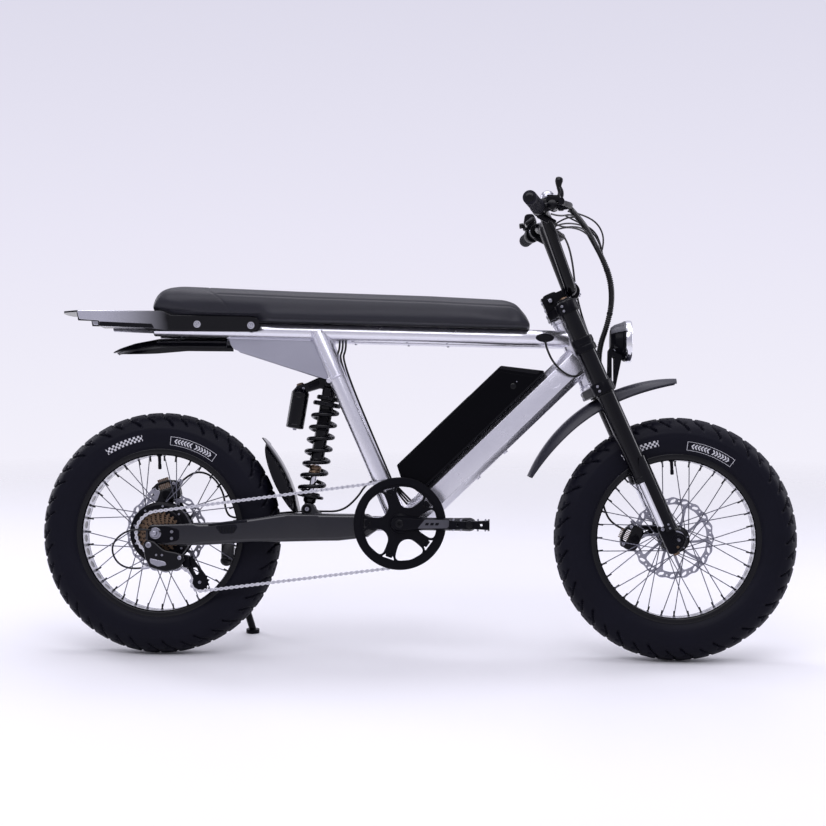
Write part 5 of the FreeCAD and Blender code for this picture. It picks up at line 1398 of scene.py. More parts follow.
@dataclass(frozen=True)
class Wheels(Part):
    """Both wheels: tyres, rims, spokes, hubs, rotors, sprockets and axles."""

    sizes: WheelSizes = WHEEL
    tread: TreadSizes = TREAD
    places: tuple[tuple[str, float], ...] = (("front", WHEEL.base), ("rear", 0.0))

    def build(self) -> None:
        """Tyres, rims, spokes, hubs, rotors and axles."""
        shop = self.shop
        for name, x in self.places:
            shop.place(f"{name}_tyre_tread", self.tyre(x), f"{name}_tyre", sharp=46.0)
            shop.place(f"{name}_rim_bed", self.rim(x), f"{name}_rim")
            shop.place(f"{name}_nipples", self.nipples(x), f"{name}_rim", replaces=False)
            shop.repaint(f"{name}_spokes", Look.SPOKE)
            shop.place(f"{name}_rotor_disc", self.rotor(x), f"{name}_rotor")
        shop.place("front_hub_shell", self.front_hub(), "front_hub")
        shop.place("motor_drum", self.hub_motor(), "hub_motor")
        shop.place("sprockets", self.freewheel(), "freewheel")
        shop.place("rear_axle_nuts", self.rear_axle(), "rear_axle")
        shop.place("front_axle_caps", self.front_axle(), "front_axle")

    def tread_depth(self, phase: np.ndarray, width: np.ndarray, radius: np.ndarray) -> np.ndarray:
        """Depth of the tread's grooves, from 0 to 1.

        A groove lies where the number of pitches round the tyre, plus a bend that grows with the
        square of the distance past the crown, is near a half. It is shallower over the crown's middle
        and fades half-way down the shoulder. Every other groove ends sooner. A zigzag groove runs
        round each side of the crown, and a notch lies between the grooves.

        Args:
            phase: pitches of the tread round the tyre.
            width: place across the tyre.
            radius: distance from the axle.

        Returns:
            The depth at each point of the grid.
        """
        tread, reach = self.tread, np.abs(width)
        shifted = phase + ramp(reach, tread.crown, tread.bend_reach) ** 2 * tread.bend
        near = np.abs(shifted % 1.0 - 0.5)
        slot = 1.0 - ramp(near, tread.groove, tread.bevel)
        low = tread.end_radius + tread.end_step * (np.floor(shifted) % 2)
        shallow = tread.middle_share + (1.0 - tread.middle_share) * ramp(reach, tread.middle, tread.middle)
        slot = slot * ramp(radius, low, tread.end_fade) * shallow
        wave = tread.ring + tread.ring_wave * np.abs(((phase * 2) % 1.0) - 0.5)
        ring = 1.0 - ramp(np.abs(reach - wave), tread.ring_half, tread.ring_bevel)
        ring = ring * (radius > tread.ring_radius) * tread.ring_share
        (inner, outer), (first, last) = tread.notch, tread.notch_span
        step = ramp(reach, inner, tread.notch_bevel) * ramp(reach, outer, -tread.notch_bevel)
        notch = step * ((shifted % 1.0 > first) & (shifted % 1.0 < last)) * tread.notch_share
        return np.maximum(np.maximum(slot, ring), notch)

    def tyre(self, centre_x: float) -> Shell:
        """Tyre with a road tread.

        The surface is a grid of the angle round the wheel and the distance over the profile. Each
        point is pushed along the profile's outward direction by raised lines and pulled in by the
        grooves.

        Args:
            centre_x: forward place of the wheel's axle.

        Returns:
            The tyre, with its beads.
        """
        rows = self.sizes.knobs * self.tread.rows
        half = smooth_path([(0.0, y, r) for r, y in SIDE_WALL], (self.tread.columns + 1) // 2)[:, 1:]
        profile = np.vstack([half * (-1.0, 1.0), half[-2::-1]])
        run = np.gradient(profile, axis=0)
        outward = unit(np.stack([-run[:, 1], run[:, 0]], axis=1))
        width, radius = profile[:, 0], profile[:, 1]
        angle = np.linspace(0.0, 2 * math.pi, rows, endpoint=False)[:, None]
        phase = angle / (2 * math.pi) * self.sizes.knobs
        lines = (0.9 * np.exp(-((radius - 256.0) / 1.4) ** 2) + 1.1 * np.exp(-((radius - 213.0) / 1.6) ** 2)
                 + 0.8 * np.exp(-((radius - 219.5) / 1.4) ** 2))
        height = lines - self.tread.depth * self.tread_depth(phase, width[None, :], radius[None, :])
        wide = width + outward[:, 0] * height
        tall = radius + outward[:, 1] * height
        skin = wheel_points(centre_x, angle, tall, wide)
        bead_half = self.sizes.bead_half
        bead = wheel_points(centre_x, angle, np.full((1, 2), self.sizes.bead_radius),
                            np.array([[bead_half, -bead_half]]))
        turn = np.broadcast_to(angle / (2 * math.pi), (rows, self.tread.columns + 2))
        shown = np.hstack([tall + 400.0 * (width > 0), np.full((rows, 2), 800.0)]) / 1000.0
        return seamless(np.concatenate([skin, bead], axis=1), np.stack([turn, shown], axis=2), Look.TYRE)

    def rim(self, centre_x: float) -> Shell:
        """Rim: two rounded flanges and a shallow bed with a chart for its ovals.

        Args:
            centre_x: forward place of the wheel's axle.

        Returns:
            The rim.
        """
        half, outer, inner = self.sizes.rim_half, self.sizes.rim_outer, self.sizes.rim_inner
        flange = rounded([(outer - 10.0, half - 2.6), (outer, half - 2.4), (outer, half),
                          (outer - 6.0, half), (inner + 3.0, half - 1.2), (inner, half - 6.0)],
                         1.5, 3, closed=False)
        bed = [(inner + 0.6, half - 9.0), (inner + 0.6, 9.0 - half)]
        back = [(inner + 2.6, 2.6 - half), (inner + 2.6, half - 2.6)]
        profile = np.vstack([flange, bed, flange[::-1] * (1.0, -1.0), back])
        across = np.zeros(len(profile))
        across[len(flange)], across[len(flange) + 1] = 2.0, 1.0
        angle = np.linspace(0.0, 2 * math.pi, self.sizes.rim_steps, endpoint=False)[:, None]
        points = wheel_points(centre_x, angle, profile[None, :, 0], profile[None, :, 1])
        turn = np.broadcast_to(angle / (2 * math.pi), points.shape[:2])
        chart = np.stack([turn, np.broadcast_to(across, points.shape[:2])], axis=2)
        return seamless(points, chart, Look.RIM)

    def nipples(self, centre_x: float) -> Shell:
        """Spoke nipples inside the rim, and the valve.

        Args:
            centre_x: forward place of the wheel's axle.

        Returns:
            The nipples and the valve.
        """
        centre = (centre_x, self.sizes.tyre_radius)
        each = self.sizes.spokes // 2
        reach = self.sizes.rim_inner
        parts = []
        for side, start in ((-1, 0.0), (1, 0.5)):
            for lead in (1, -1):
                y = side * 10.0 + lead * 2.4
                nipple = lathe(Axis((centre_x + reach, y, self.sizes.tyre_radius), BACK),
                               [(3.4, 0.0), (3.4, 2.0), (2.2, 2.6), (1.9, 13.0), (1.3, 14.0)],
                               Look.GLOSS, 8)
                offset = 0.5 * (lead > 0)
                parts.append(around(nipple, centre, each // 2, (start + 2 * offset) * 360.0 / each))
        valve = lathe(Axis((centre_x, -6.0, self.sizes.tyre_radius + reach), DOWN),
                      [(7.0, -1.0), (7.0, 1.5), (4.2, 3.0), (3.8, 22.0), (4.4, 23.0), (4.4, 33.0),
                       (3.0, 34.5)], Look.RUBBER, 20)
        return joined([*parts, valve.turned(centre, 3.0)])

    def rotor(self, centre_x: float) -> Shell:
        """Brake rotor: a wavy ring with slots, slanted arms and a carrier with its screws.

        The ring's edges follow a cosine round the rotor. The windows between the arms are slanted
        four-sided outlines, given as radii and angles.

        Args:
            centre_x: forward place of the wheel's axle.

        Returns:
            The rotor.
        """
        centre = (centre_x, self.sizes.tyre_radius)
        waves = self.sizes.rotor_waves
        turn = np.linspace(0.0, 360.0, 240, endpoint=False)
        cosine = np.cos(np.radians(turn) * waves)
        edge = self.sizes.rotor_radius + self.sizes.rotor_wave * cosine
        outlines = [polar(centre, edge, turn), circle(centre, 18.4, 40)]
        for number in range(waves):
            start = number * 360.0 / waves
            slot = polar(centre, np.array([95.6, 97.2, 94.0, 88.4, 86.8, 90.0]),
                         start + np.array([-4.4, -2.6, 2.8, 4.6, 3.0, -2.6]))
            outlines.append(rounded(slot, 1.6, 2))
            hole = circle(tuple(polar(centre, np.array([92.5]), np.array([start + 9.0]))[0]), 2.0, 10)
            outlines.append(hole)
        for number in range(self.sizes.rotor_arms):
            start = number * 360.0 / self.sizes.rotor_arms
            window = polar(centre, np.array([83.0, 84.0, 83.0, 60.0, 35.0, 35.0, 60.0]),
                           start + np.array([1.0, 15.0, 30.5, 26.0, 15.0, -9.0, -4.0]))
            outlines.append(rounded(window, 5.0, 3))
        middle = self.sizes.rotor_face
        blade = plate(outlines, middle - 1.0, middle + 1.0, Look.STEEL, 0.2)
        screws = around(bolt((centre_x + 26.0, middle + 1.0, self.sizes.tyre_radius), LEFT, 4.2, 2.4,
                             Look.SATIN), centre, 6)
        ring_part = lathe(Axis((centre_x, middle - 5.0, self.sizes.tyre_radius), LEFT),
                          [(33.0, 0.0), (34.0, 1.0), (34.0, 3.8), (20.0, 3.8)], Look.SATIN, 48)
        return joined([blade, screws, ring_part])

    def front_hub(self) -> Shell:
        """Front hub: barrel, two spoke flanges with small screws, and end caps.

        Returns:
            The hub.
        """
        x, z = self.sizes.base, self.sizes.tyre_radius
        axis = Axis((x, 0.0, z), LEFT)
        body = lathe(axis, [(8.0, -61.0), (12.5, -61.0), (13.0, -60.0), (13.0, -44.0), (24.0, -42.0),
                            (31.0, -36.0), (33.0, -33.0), (33.0, -27.5), (31.5, -26.5), (22.0, -25.0),
                            (18.5, -18.0), (17.0, 0.0), (18.5, 18.0), (22.0, 25.0), (31.5, 26.5),
                            (33.0, 27.5), (33.0, 32.5), (30.0, 35.0), (20.0, 38.0), (18.0, 60.0),
                            (13.0, 61.0), (8.0, 61.0)], Look.GLOSS, 64, soften=1.0)
        centre = (x, z)
        screws = around(bolt((x + 27.0, -39.0, z), RIGHT, 2.2, 2.0, Look.STEEL), centre, 6, 12)
        rings = lathe(axis, [(20.5, -42.6), (20.5, -44.2), (17.0, -44.6), (17.0, -42.0)], Look.STEEL, 48)
        return joined([body, screws, rings])

    def hub_motor(self) -> Shell:
        """Hub motor: a ribbed drum with cover screws and raised spoke flanges.

        Returns:
            The drum with its screws and ribs.
        """
        z = self.sizes.tyre_radius
        axis = Axis((0.0, 0.0, z), LEFT)
        drum = lathe(axis, [(7.0, -44.0), (26.0, -44.0), (27.0, -43.0), (33.0, -38.6), (58.0, -37.0),
                            (60.0, -35.0), (67.0, -35.0), (70.0, -34.0), (75.0, -32.0), (75.5, -28.0),
                            (72.0, -26.0), (71.0, -14.0), (73.0, -12.0), (73.0, 12.0), (71.0, 14.0),
                            (72.0, 26.0), (75.5, 28.0), (75.0, 32.0), (70.0, 34.0), (67.0, 35.0),
                            (60.0, 35.0), (58.0, 37.0), (34.0, 38.0), (20.0, 44.0), (18.0, 52.0),
                            (18.0, 60.0), (7.0, 60.0)], Look.SATIN, 96, soften=0.9)
        screws = [around(bolt((65.0, side * 35.0, z), sideways(side), 3.0, 2.4, Look.STEEL),
                         (0.0, z), 9, 5) for side in (-1, 1)]
        ribs = [around(rod((40.0, side * 37.6, z), (56.0, side * 36.6, z), 1.4, Look.SATIN, 0.6, 10),
                       (0.0, z), 24) for side in (-1, 1)]
        return joined([drum, *screws, *ribs])

    def freewheel(self) -> Shell:
        """Seven bronze sprockets with dark spacers and a lock ring.

        Returns:
            The sprockets on their body.
        """
        centre = DRIVE.axle
        parts = []
        step = self.sizes.sprocket_step
        for number in range(self.sizes.sprockets):
            face = self.sizes.sprocket_face - step * number
            radius = self.sizes.sprocket_radius - step * number
            teeth = round(2 * math.pi * (radius + 1.0) / DRIVE.pitch)
            outlines = [toothed(centre, radius - 4.4, radius + 2.0, teeth),
                        circle(centre, max(19.0, radius - 12.0), 48)]
            parts.append(plate(outlines, face - 2.2, face, Look.BRONZE, 0.25).turned(centre, 7.0 * number))
            parts.append(lathe(Axis((centre[0], face - step, centre[1]), LEFT),
                               [(19.0, 0.0), (radius - 6.0, 0.0), (radius - 6.0, 2.6), (19.0, 2.6)],
                               Look.SATIN, 48, closed=True))
        body = lathe(Axis((centre[0], -82.0, centre[1]), LEFT),
                     [(7.0, 0.0), (17.0, 0.0), (18.5, 1.0), (18.5, 5.0), (20.0, 6.0), (20.0, 37.8),
                      (7.0, 37.8)], Look.STEEL, 48, soften=0.6)
        notches = around(rod((centre[0] + 14.0, -83.4, centre[1]), (centre[0] + 14.0, -81.0, centre[1]), 1.6,
                             Look.SATIN, 0.4, 10), centre, 12)
        return joined([*parts, body, notches])

    def axle_end(self, centre_x: float, side: int, face: float, out: float, nut: float) -> Shell:
        """Washer, hexagon nut and rounded axle end on one side of a wheel.

        Args:
            centre_x: forward place of the wheel's axle.
            side: -1 for the right-hand side, 1 for the left.
            face: distance of the washer's foot from the wheel's middle.
            out: how far the axle reaches past it.
            nut: radius of the nut.

        Returns:
            The axle's end.
        """
        z = self.sizes.tyre_radius
        axis = Axis((centre_x, side * face, z), sideways(side))
        washer = lathe(axis, [(nut + 1.0, 0.2), (nut + 1.0, 1.8), (6.0, 1.8)], Look.STEEL, 40, soften=0.4)
        hexagon = lathe(axis, [(nut - 1.2, 1.8), (nut - 0.2, 2.8), (nut - 0.2, 9.0), (nut - 1.6, 10.6),
                               (6.2, 10.6)], Look.STEEL, 6)
        tip = lathe(axis, [(6.0, 0.0), (6.0, out - 2.0), (5.2, out - 0.6), (4.0, out)], Look.STEEL, 32)
        return joined([washer, hexagon, tip])

    def rear_axle(self) -> Shell:
        """Rear axle with its nuts.

        Returns:
            The axle and its nuts.
        """
        z = self.sizes.tyre_radius
        shaft = rod((0.0, -98.0, z), (0.0, 98.0, z), self.sizes.axle_radius, Look.STEEL)
        return joined([shaft, *(self.axle_end(0.0, side, self.sizes.hub_half, 21.8, 13.0)
                                for side in (-1, 1))])

    def front_axle(self) -> Shell:
        """Front through axle with its end caps.

        Returns:
            The axle and its caps.
        """
        x, z = self.sizes.base, self.sizes.tyre_radius
        shaft = rod((x, -100.0, z), (x, 100.0, z), self.sizes.axle_radius, Look.STEEL)
        ends = []
        for side in (-1, 1):
            axis = Axis((x, side * 99.2, z), sideways(side))
            ends.append(lathe(axis, [(12.0, 0.2), (12.0, 3.5), (10.5, 5.4), (5.6, 5.8), (5.0, 3.0)],
                              Look.SATIN, 40, soften=0.4))
            ends.append(lathe(axis, [(5.0, 3.0), (4.6, 2.0)], Look.STEEL, 6))
        return joined([shaft, *ends])


# Chain drive


@dataclass(frozen=True)
class Drive(Part):
    """Chain drive: chain, chainring, cranks, pedals and derailleur."""

    sizes: DriveSizes = DRIVE

    def build(self) -> None:
        """Chain, cranks, pedals and derailleur."""
        shop = self.shop
        shop.place("roller_chain", self.chain(), "chain")
        shop.place("crank_set", self.crankset(), "crankset")
        shop.place("pedal_right_cage", self.pedal(-1), "pedal_right")
        shop.place("pedal_left_cage", self.pedal(1), "pedal_left")
        shop.place("derailleur_links", self.derailleur(), "derailleur")
        shop.place("gear_cable", self.gear_cable(), "derailleur", replaces=False)

    def chain_path(self) -> np.ndarray:
        """Middle line of the chain in the side view, one point for each link.

        The loop goes round the chainring, the low pulley and the sprocket. Straight runs are common
        tangents of two circles: the angle between a tangent's radius and the line of centres is the
        arc cosine of the difference of the radii over the distance.

        Returns:
            A (links, 2) array of places (X, Z).
        """
        sizes = self.sizes
        ring, cog, pulley = (np.array(place) for place in (sizes.crank, sizes.axle, sizes.pulley))
        ring_radius, cog_radius, pulley_radius = sizes.ring_radius, sizes.cog_radius, sizes.pulley_radius

        def touch(one: np.ndarray, one_r: float, two: np.ndarray, two_r: float,
                  sign: int) -> list[np.ndarray]:
            """Common tangent of two circles.

            Args:
                one: middle of the first circle.
                one_r: its radius.
                two: middle of the second circle.
                two_r: its radius.
                sign: 1 for the upper tangent, -1 for the lower one.

            Returns:
                The places where it touches the first and the second circle.
            """
            run = two - one
            lean = math.acos((one_r - two_r) / np.linalg.norm(run)) * sign
            angle = math.atan2(run[1], run[0]) + lean
            direction = np.array((math.cos(angle), math.sin(angle)))
            return [one + direction * one_r, two + direction * two_r]

        def arc(centre: np.ndarray, radius: float, start: np.ndarray, end: np.ndarray) -> np.ndarray:
            """Arc of a circle from one point to another, clockwise as seen from the right.

            Args:
                centre: middle of the circle.
                radius: its radius.
                start: a point in the direction of the arc's start.
                end: a point in the direction of its end.

            Returns:
                Forty points of the arc.
            """
            first, last = (math.atan2(*(point - centre)[::-1]) for point in (start, end))
            if last > first:
                last -= 2 * math.pi
            return polar(tuple(centre), np.full(40, radius), np.degrees(np.linspace(first, last, 40)))

        top_cog, top_ring = touch(cog, cog_radius, ring, ring_radius, 1)
        low_pulley, low_ring = touch(pulley, pulley_radius, ring, ring_radius, -1)
        turn_in = pulley + np.array((-0.7, 0.71)) * pulley_radius
        leave = cog + np.array((12.0, -0.97 * cog_radius))
        loop = np.vstack([arc(ring, ring_radius, top_ring, low_ring), [low_pulley],
                          arc(pulley, pulley_radius, low_pulley, turn_in)[4:],
                          arc(cog, cog_radius, leave, top_cog), [top_ring]])
        run = run_along(loop)
        count = 2 * round(run[-1] / self.sizes.pitch / 2)
        return read_at(loop, run, np.linspace(0.0, run[-1], count, endpoint=False))

    def chain(self) -> Shell:
        """Roller chain: waisted side plates, inner and outer by turns, with rollers and pin ends.

        Returns:
            The chain, link by link.
        """
        path = self.chain_path()
        middle = self.sizes.chain_line
        half = self.sizes.pitch / 2
        turn = np.radians(np.array([-110.0, -66.0, -22.0, 22.0, 66.0, 110.0]))
        right = 4.3 * np.stack([np.cos(turn), np.sin(turn)], axis=1) + (half, 0.0)
        oval = np.vstack([right, [[0.0, 2.1]], -right, [[0.0, -2.1]]])
        count = len(oval)
        parts = []
        for number, (here, there) in enumerate(zip(path, np.roll(path, -1, axis=0))):
            run = there - here
            angle = math.degrees(math.atan2(run[1], run[0]))
            out = 3.1 if number % 2 else 2.0
            centre = (here + there) / 2
            for side in (-1, 1):
                faces = [middle + side * out, middle + side * (out + 0.9)]
                rows = np.stack([np.stack([oval[:, 0], np.full(count, face), oval[:, 1]], axis=1)
                                 for face in faces])
                link = grid(rows, Look.CHAIN, close_columns=True, caps=True)
                parts.append(link.turned((0.0, 0.0), angle).moved(centre[0], 0.0, centre[1]))
            parts.append(rod((here[0], middle - 4.0, here[1]), (here[0], middle + 4.0, here[1]), 1.9,
                             Look.CHAIN, 0.0, 10))
            parts.append(rod((here[0], middle - 1.9, here[1]), (here[0], middle + 1.9, here[1]), 3.8,
                             Look.SATIN, 0.0, 12))
        return joined(parts)

    def crank_arm(self, side: int) -> Shell:
        """Crank arm: it tapers and thins to the pedal; the left arm is the right one turned half round.

        Args:
            side: -1 for the right-hand side, 1 for the left.

        Returns:
            The arm.
        """
        x, z = self.sizes.crank
        share = np.linspace(0.0, 1.0, 26)
        tall = 20.0 - 4.5 * ramp(share, 0.0, 0.3) + ramp(share, 0.85, 0.15)
        ends = np.sqrt(np.clip(1 - np.linspace(-1, 0, 8)[:-1] ** 2, 0.02, 1))
        ahead = np.concatenate([-20.0 * np.linspace(1, 0, 8)[:-1], self.sizes.crank_length * share,
                                self.sizes.crank_length + 16.0 * np.linspace(0, 1, 8)[1:]])
        tall = np.concatenate([20.0 * ends, tall, 16.0 * ends[::-1]])
        section = rounded([(6.9, -1.0), (6.9, 1.0), (-7.0, 0.72), (-7.0, -0.72)], 0.5, 3)
        points = np.stack(np.broadcast_arrays(x + ahead[:, None], section[None, :, 0] - self.sizes.arm_face,
                                              z + section[None, :, 1] * tall[:, None]), axis=2)
        arm = grid(points, Look.SATIN, close_columns=True, caps=True)
        if side < 0:
            return arm
        return arm.mapped(lambda points: points * (-1.0, -1.0, 1.0) + (2 * x, 0.0, 0.0))

    def crankset(self) -> Shell:
        """Chainring with teeth and guard, a five-armed spider, both crank arms and their axle.

        Returns:
            The crankset.
        """
        x, z = self.sizes.crank
        centre = self.sizes.crank
        teeth = toothed(centre, self.sizes.ring_root, self.sizes.ring_tip, self.sizes.ring_teeth)
        ring = plate([teeth, circle(centre, 92.5, 96)], -67.4, -64.6, Look.SATIN, 0.3)
        guard_outline = circle(centre, self.sizes.guard_radius, 160)
        window = np.stack([np.array([83.0, 90.0, 91.5, 90.0, 83.0, 66.0, 47.0, 40.0, 47.0, 66.0]),
                           np.array([-25.0, -20.0, 0.0, 20.0, 25.0, 24.0, 19.0, 0.0, -19.0, -24.0])], axis=1)
        small = np.stack([np.array([90.0, 90.0, 80.0, 74.0, 80.0]),
                          np.array([-10.0, 10.0, 6.4, 0.0, -6.4])], axis=1)
        arms = self.sizes.spider_arms
        turns = [360.0 / arms * (number + 0.5) for number in range(arms)]
        holes = []
        for arm in turns:
            holes.append(rounded(polar(centre, window[:, 0], window[:, 1] + arm + 36.0), 9.0, 4))
            holes.append(rounded(polar(centre, small[:, 0], small[:, 1] + arm), 2.6, 3))
        guard = plate([guard_outline, *holes, circle(centre, 12.0, 32)], -76.0, -72.6, Look.SATIN, 0.7)
        rim_line = lathe(Axis((x, -75.6, z), RIGHT),
                         [(94.0, 0.0), (95.0, 1.7), (110.0, 1.7), (111.0, 0.0)], Look.SATIN, 120, closed=True)
        spider = [plate([rounded(polar(centre, np.array([24.0, 86.0, 86.0, 24.0]),
                                       np.array([-30.0, -5.5, 5.5, 30.0])), 3.0, 3)],
                        -74.0, -66.0, Look.SATIN, 0.8).turned(centre, arm) for arm in turns]
        screws = around(bolt((x + 72.0, -76.0, z), RIGHT, 4.2, 2.2, Look.GLOSS), centre, arms, turns[0])
        hub = lathe(Axis((x, -62.0, z), RIGHT),
                    [(26.0, 0.0), (27.0, 2.0), (27.0, 9.0), (25.0, 16.0), (19.0, 22.0)], Look.SATIN, 64,
                    soften=1.5)
        axle = rod((x, -97.0, z), (x, 97.0, z), 11.0, Look.STEEL, 1.0)
        caps = []
        for side in (-1, 1):
            axis = Axis((x, side * 98.6, z), sideways(side))
            caps.append(lathe(axis, [(9.6, -0.4), (9.6, 1.4), (8.6, 2.4), (4.4, 2.4)], Look.GLOSS, 40))
            caps.append(lathe(axis, [(4.4, 2.4), (4.0, 0.4)], Look.SATIN, 6))
        panel_outline = rounded([(x + 44.0, z - 11.0), (x + 116.0, z - 9.6), (x + 128.0, z + 9.6),
                                 (x + 62.0, z + 11.0)], 3.0, 3)
        panel = plate([panel_outline], -99.3, -98.2, Look.PANEL, 0.25)
        bars = [plate([rounded([(x + 62.0 + step, z - 3.0), (x + 70.0 + step, z - 3.0),
                                (x + 72.0 + step, z + 3.0), (x + 64.0 + step, z + 3.0)], 0.8, 2)],
                      -99.8, -99.2, Look.SATIN, 0.1) for step in (0.0, 12.0, 24.0)]
        spindles = []
        for side in (-1, 1):
            tip = x - side * self.sizes.crank_length
            spindles.append(rod((tip, side * 86.0, z), (tip, side * 196.0, z), 5.9, Look.STEEL, 1.0))
            spindles.append(lathe(Axis((tip, side * 99.0, z), sideways(side)),
                                  [(8.6, 0.0), (8.6, 5.0), (6.0, 5.0)], Look.STEEL, 6))
        return joined([ring, guard, rim_line, *spider, screws, hub, axle, *caps, panel, *bars, *spindles,
                       self.crank_arm(-1), self.crank_arm(1)])

    def pedal(self, side: int) -> Shell:
        """Platform pedal: a bored body, two cage plates with teeth, treads and an end cap.

        Args:
            side: -1 for the right-hand side, 1 for the left.

        Returns:
            The pedal.
        """
        x, z = self.sizes.crank[0] - side * self.sizes.crank_length, self.sizes.crank[1]
        near, far = side * self.sizes.pedal_near, side * self.sizes.pedal_far
        low, high = min(near, far), max(near, far)
        middle = (low + high) / 2
        axis = Axis((x, near, z), sideways(side))
        barrel = lathe(axis, [(6.2, 0.0), (11.0, 0.0), (11.5, 2.0), (9.4, 8.0), (8.6, 48.0), (9.4, 88.0),
                              (9.0, 96.0), (6.2, 97.0)], Look.SATIN, 32, soften=0.8)
        cap = lathe(axis, [(8.4, 96.0), (8.4, 98.5), (5.0, 99.4)], Look.GLOSS, 32)
        parts = [barrel, cap]
        teeth = np.arange(12)
        top = np.where(teeth % 2, 13.4, 10.4)
        for end in (-1, 1):
            face = x + end * 45.5
            outline = [(low + (high - low) * t / teeth[-1], h) for t, h in zip(teeth, top)]
            loop = np.array(outline + [(y, -h) for y, h in outline[::-1]])
            cage = plate([loop], face - 2.0, face + 2.0, Look.SATIN, 0.4)
            parts.append(cage.mapped(lambda p: np.stack([p[:, 1], p[:, 0], p[:, 2] + z], axis=1)))
        for place in (low + 3.0, middle, high - 3.0):
            half = [(-45.0, -10.6), (-14.0, -9.0), (14.0, -9.0), (45.0, -10.6)]
            outline = rounded([(x + dx, z + dz) for dx, dz in half]
                              + [(x - dx, z - dz) for dx, dz in half], 2.0, 3)
            parts.append(plate([outline, circle((x, z), 9.0, 24), circle((x - 28.0, z), 3.6, 16),
                                circle((x + 28.0, z), 3.6, 16)], place - 3.0, place + 3.0, Look.SATIN, 0.8))
        for up in (-1, 1):
            for dx in (-38.0, -20.0, 20.0, 38.0):
                for y in (low + 3.0, middle, high - 3.0):
                    parts.append(rod((x + dx, y, z + up * 8.0), (x + dx, y, z + up * 14.0), 1.8, Look.STEEL,
                                     0.4, 8))
        return joined(parts)

    def derailleur(self) -> Shell:
        """Rear derailleur: hanger, body links, two cage plates, toothed pulleys and screws.

        Returns:
            The derailleur.
        """
        x, z = self.sizes.pulley
        y = self.sizes.chain_line
        upper = (x - 28.0, z + 48.0)
        cage_outline = rounded([(upper[0] - 13, upper[1] + 6), (upper[0] + 2, upper[1] + 15),
                                (upper[0] + 13, upper[1] + 4), (x + 15, z + 14), (x + 19, z - 6),
                                (x + 4, z - 19), (x - 12, z - 14), (x - 14, z + 6)], 8.0, 4)
        hole = rounded([(x - 20, z + 34), (x - 8, z + 36), (x + 2, z + 16), (x - 9, z + 14)], 4.0, 3)
        parts = [plate([cage_outline, hole], y - 8.6, y - 7.2, Look.SATIN, 0.3),
                 plate([cage_outline, hole], y + 7.0, y + 8.4, Look.SATIN, 0.3)]
        for centre, radius, teeth in (((x, z), 20.5, 13), (upper, 15.0, 9)):
            wheel = [toothed(centre, radius - 1.0, radius + 2.6, teeth), circle(centre, 3.0, 16)]
            wheel += [circle(tuple(polar(centre, np.array([9.6]), np.array([a]))[0]), 2.7, 12)
                      for a in np.arange(6) * 60.0]
            parts.append(plate(wheel, y - 1.4, y + 1.4, Look.SATIN, 0.3))
            parts.append(bolt((centre[0], y - 8.4, centre[1]), RIGHT, 4.0, 2.4, Look.STEEL))
            parts.append(rod((centre[0], y - 8.0, centre[1]), (centre[0], y + 8.0, centre[1]), 3.2,
                             Look.STEEL))
        hanger = (-14.0, 268.0)
        parts.append(rod((hanger[0], -97.4, hanger[1]), (hanger[0], -112.0, hanger[1]), 12.0,
                         Look.GLOSS, 2.0, 40))
        parts.append(bolt((hanger[0], -112.0, hanger[1]), RIGHT, 7.0, 3.0, Look.STEEL))
        body = rounded([(-26, 268), (-22, 236), (-10, 214), (28, 204), (62, 212), (76, 234), (60, 250),
                        (24, 256), (-4, 280)], 8.0, 4)
        parts.append(plate([body], -113.5, -99.0, Look.GLOSS, 3.0))
        inset = rounded([(-10, 236), (28, 228), (32, 220), (10, 216), (-8, 224)], 4.0, 3)
        parts.append(plate([inset], -114.8, -113.2, Look.STEEL, 0.6))
        parts.append(rod((62.0, -112.0, 238.0), (62.0, -75.0, 238.0), 9.5, Look.GLOSS, 1.5, 32))
        parts.append(bolt((62.0, -113.4, 238.0), RIGHT, 5.0, 2.4, Look.STEEL))
        parts.append(plate([rounded([(52, 246), (78, 244), (86, 214), (70, 212)], 6.0, 3)], -90.0, -76.0,
                           Look.SATIN, 2.0))
        parts.append(rod((-12.0, -104.0, 214.0), (-32.0, -104.0, 211.0), 3.4, Look.STEEL, 0.5, 12))
        parts += [bolt((place, -113.5, 244.0), RIGHT, 3.0, 2.0) for place in (6.0, 20.0)]
        return joined(parts)

    def gear_cable(self) -> Shell:
        """Gear cable: out of the arm, back round in a loop and into the derailleur.

        Returns:
            The cable.
        """
        path = smooth_path([(14, -100, 300), (-24, -104, 306), (-72, -106, 302), (-106, -107, 268),
                            (-96, -107, 228), (-62, -105, 208), (-30, -104, 212)], 70)
        return sweep(path, disc(2.3, 10), Look.CABLE)


# Rear suspension


def line_point(start: np.ndarray, end: np.ndarray, distance: float) -> np.ndarray:
    """Point at a distance from the start of a line towards its end."""
    return start + unit(end - start) * distance


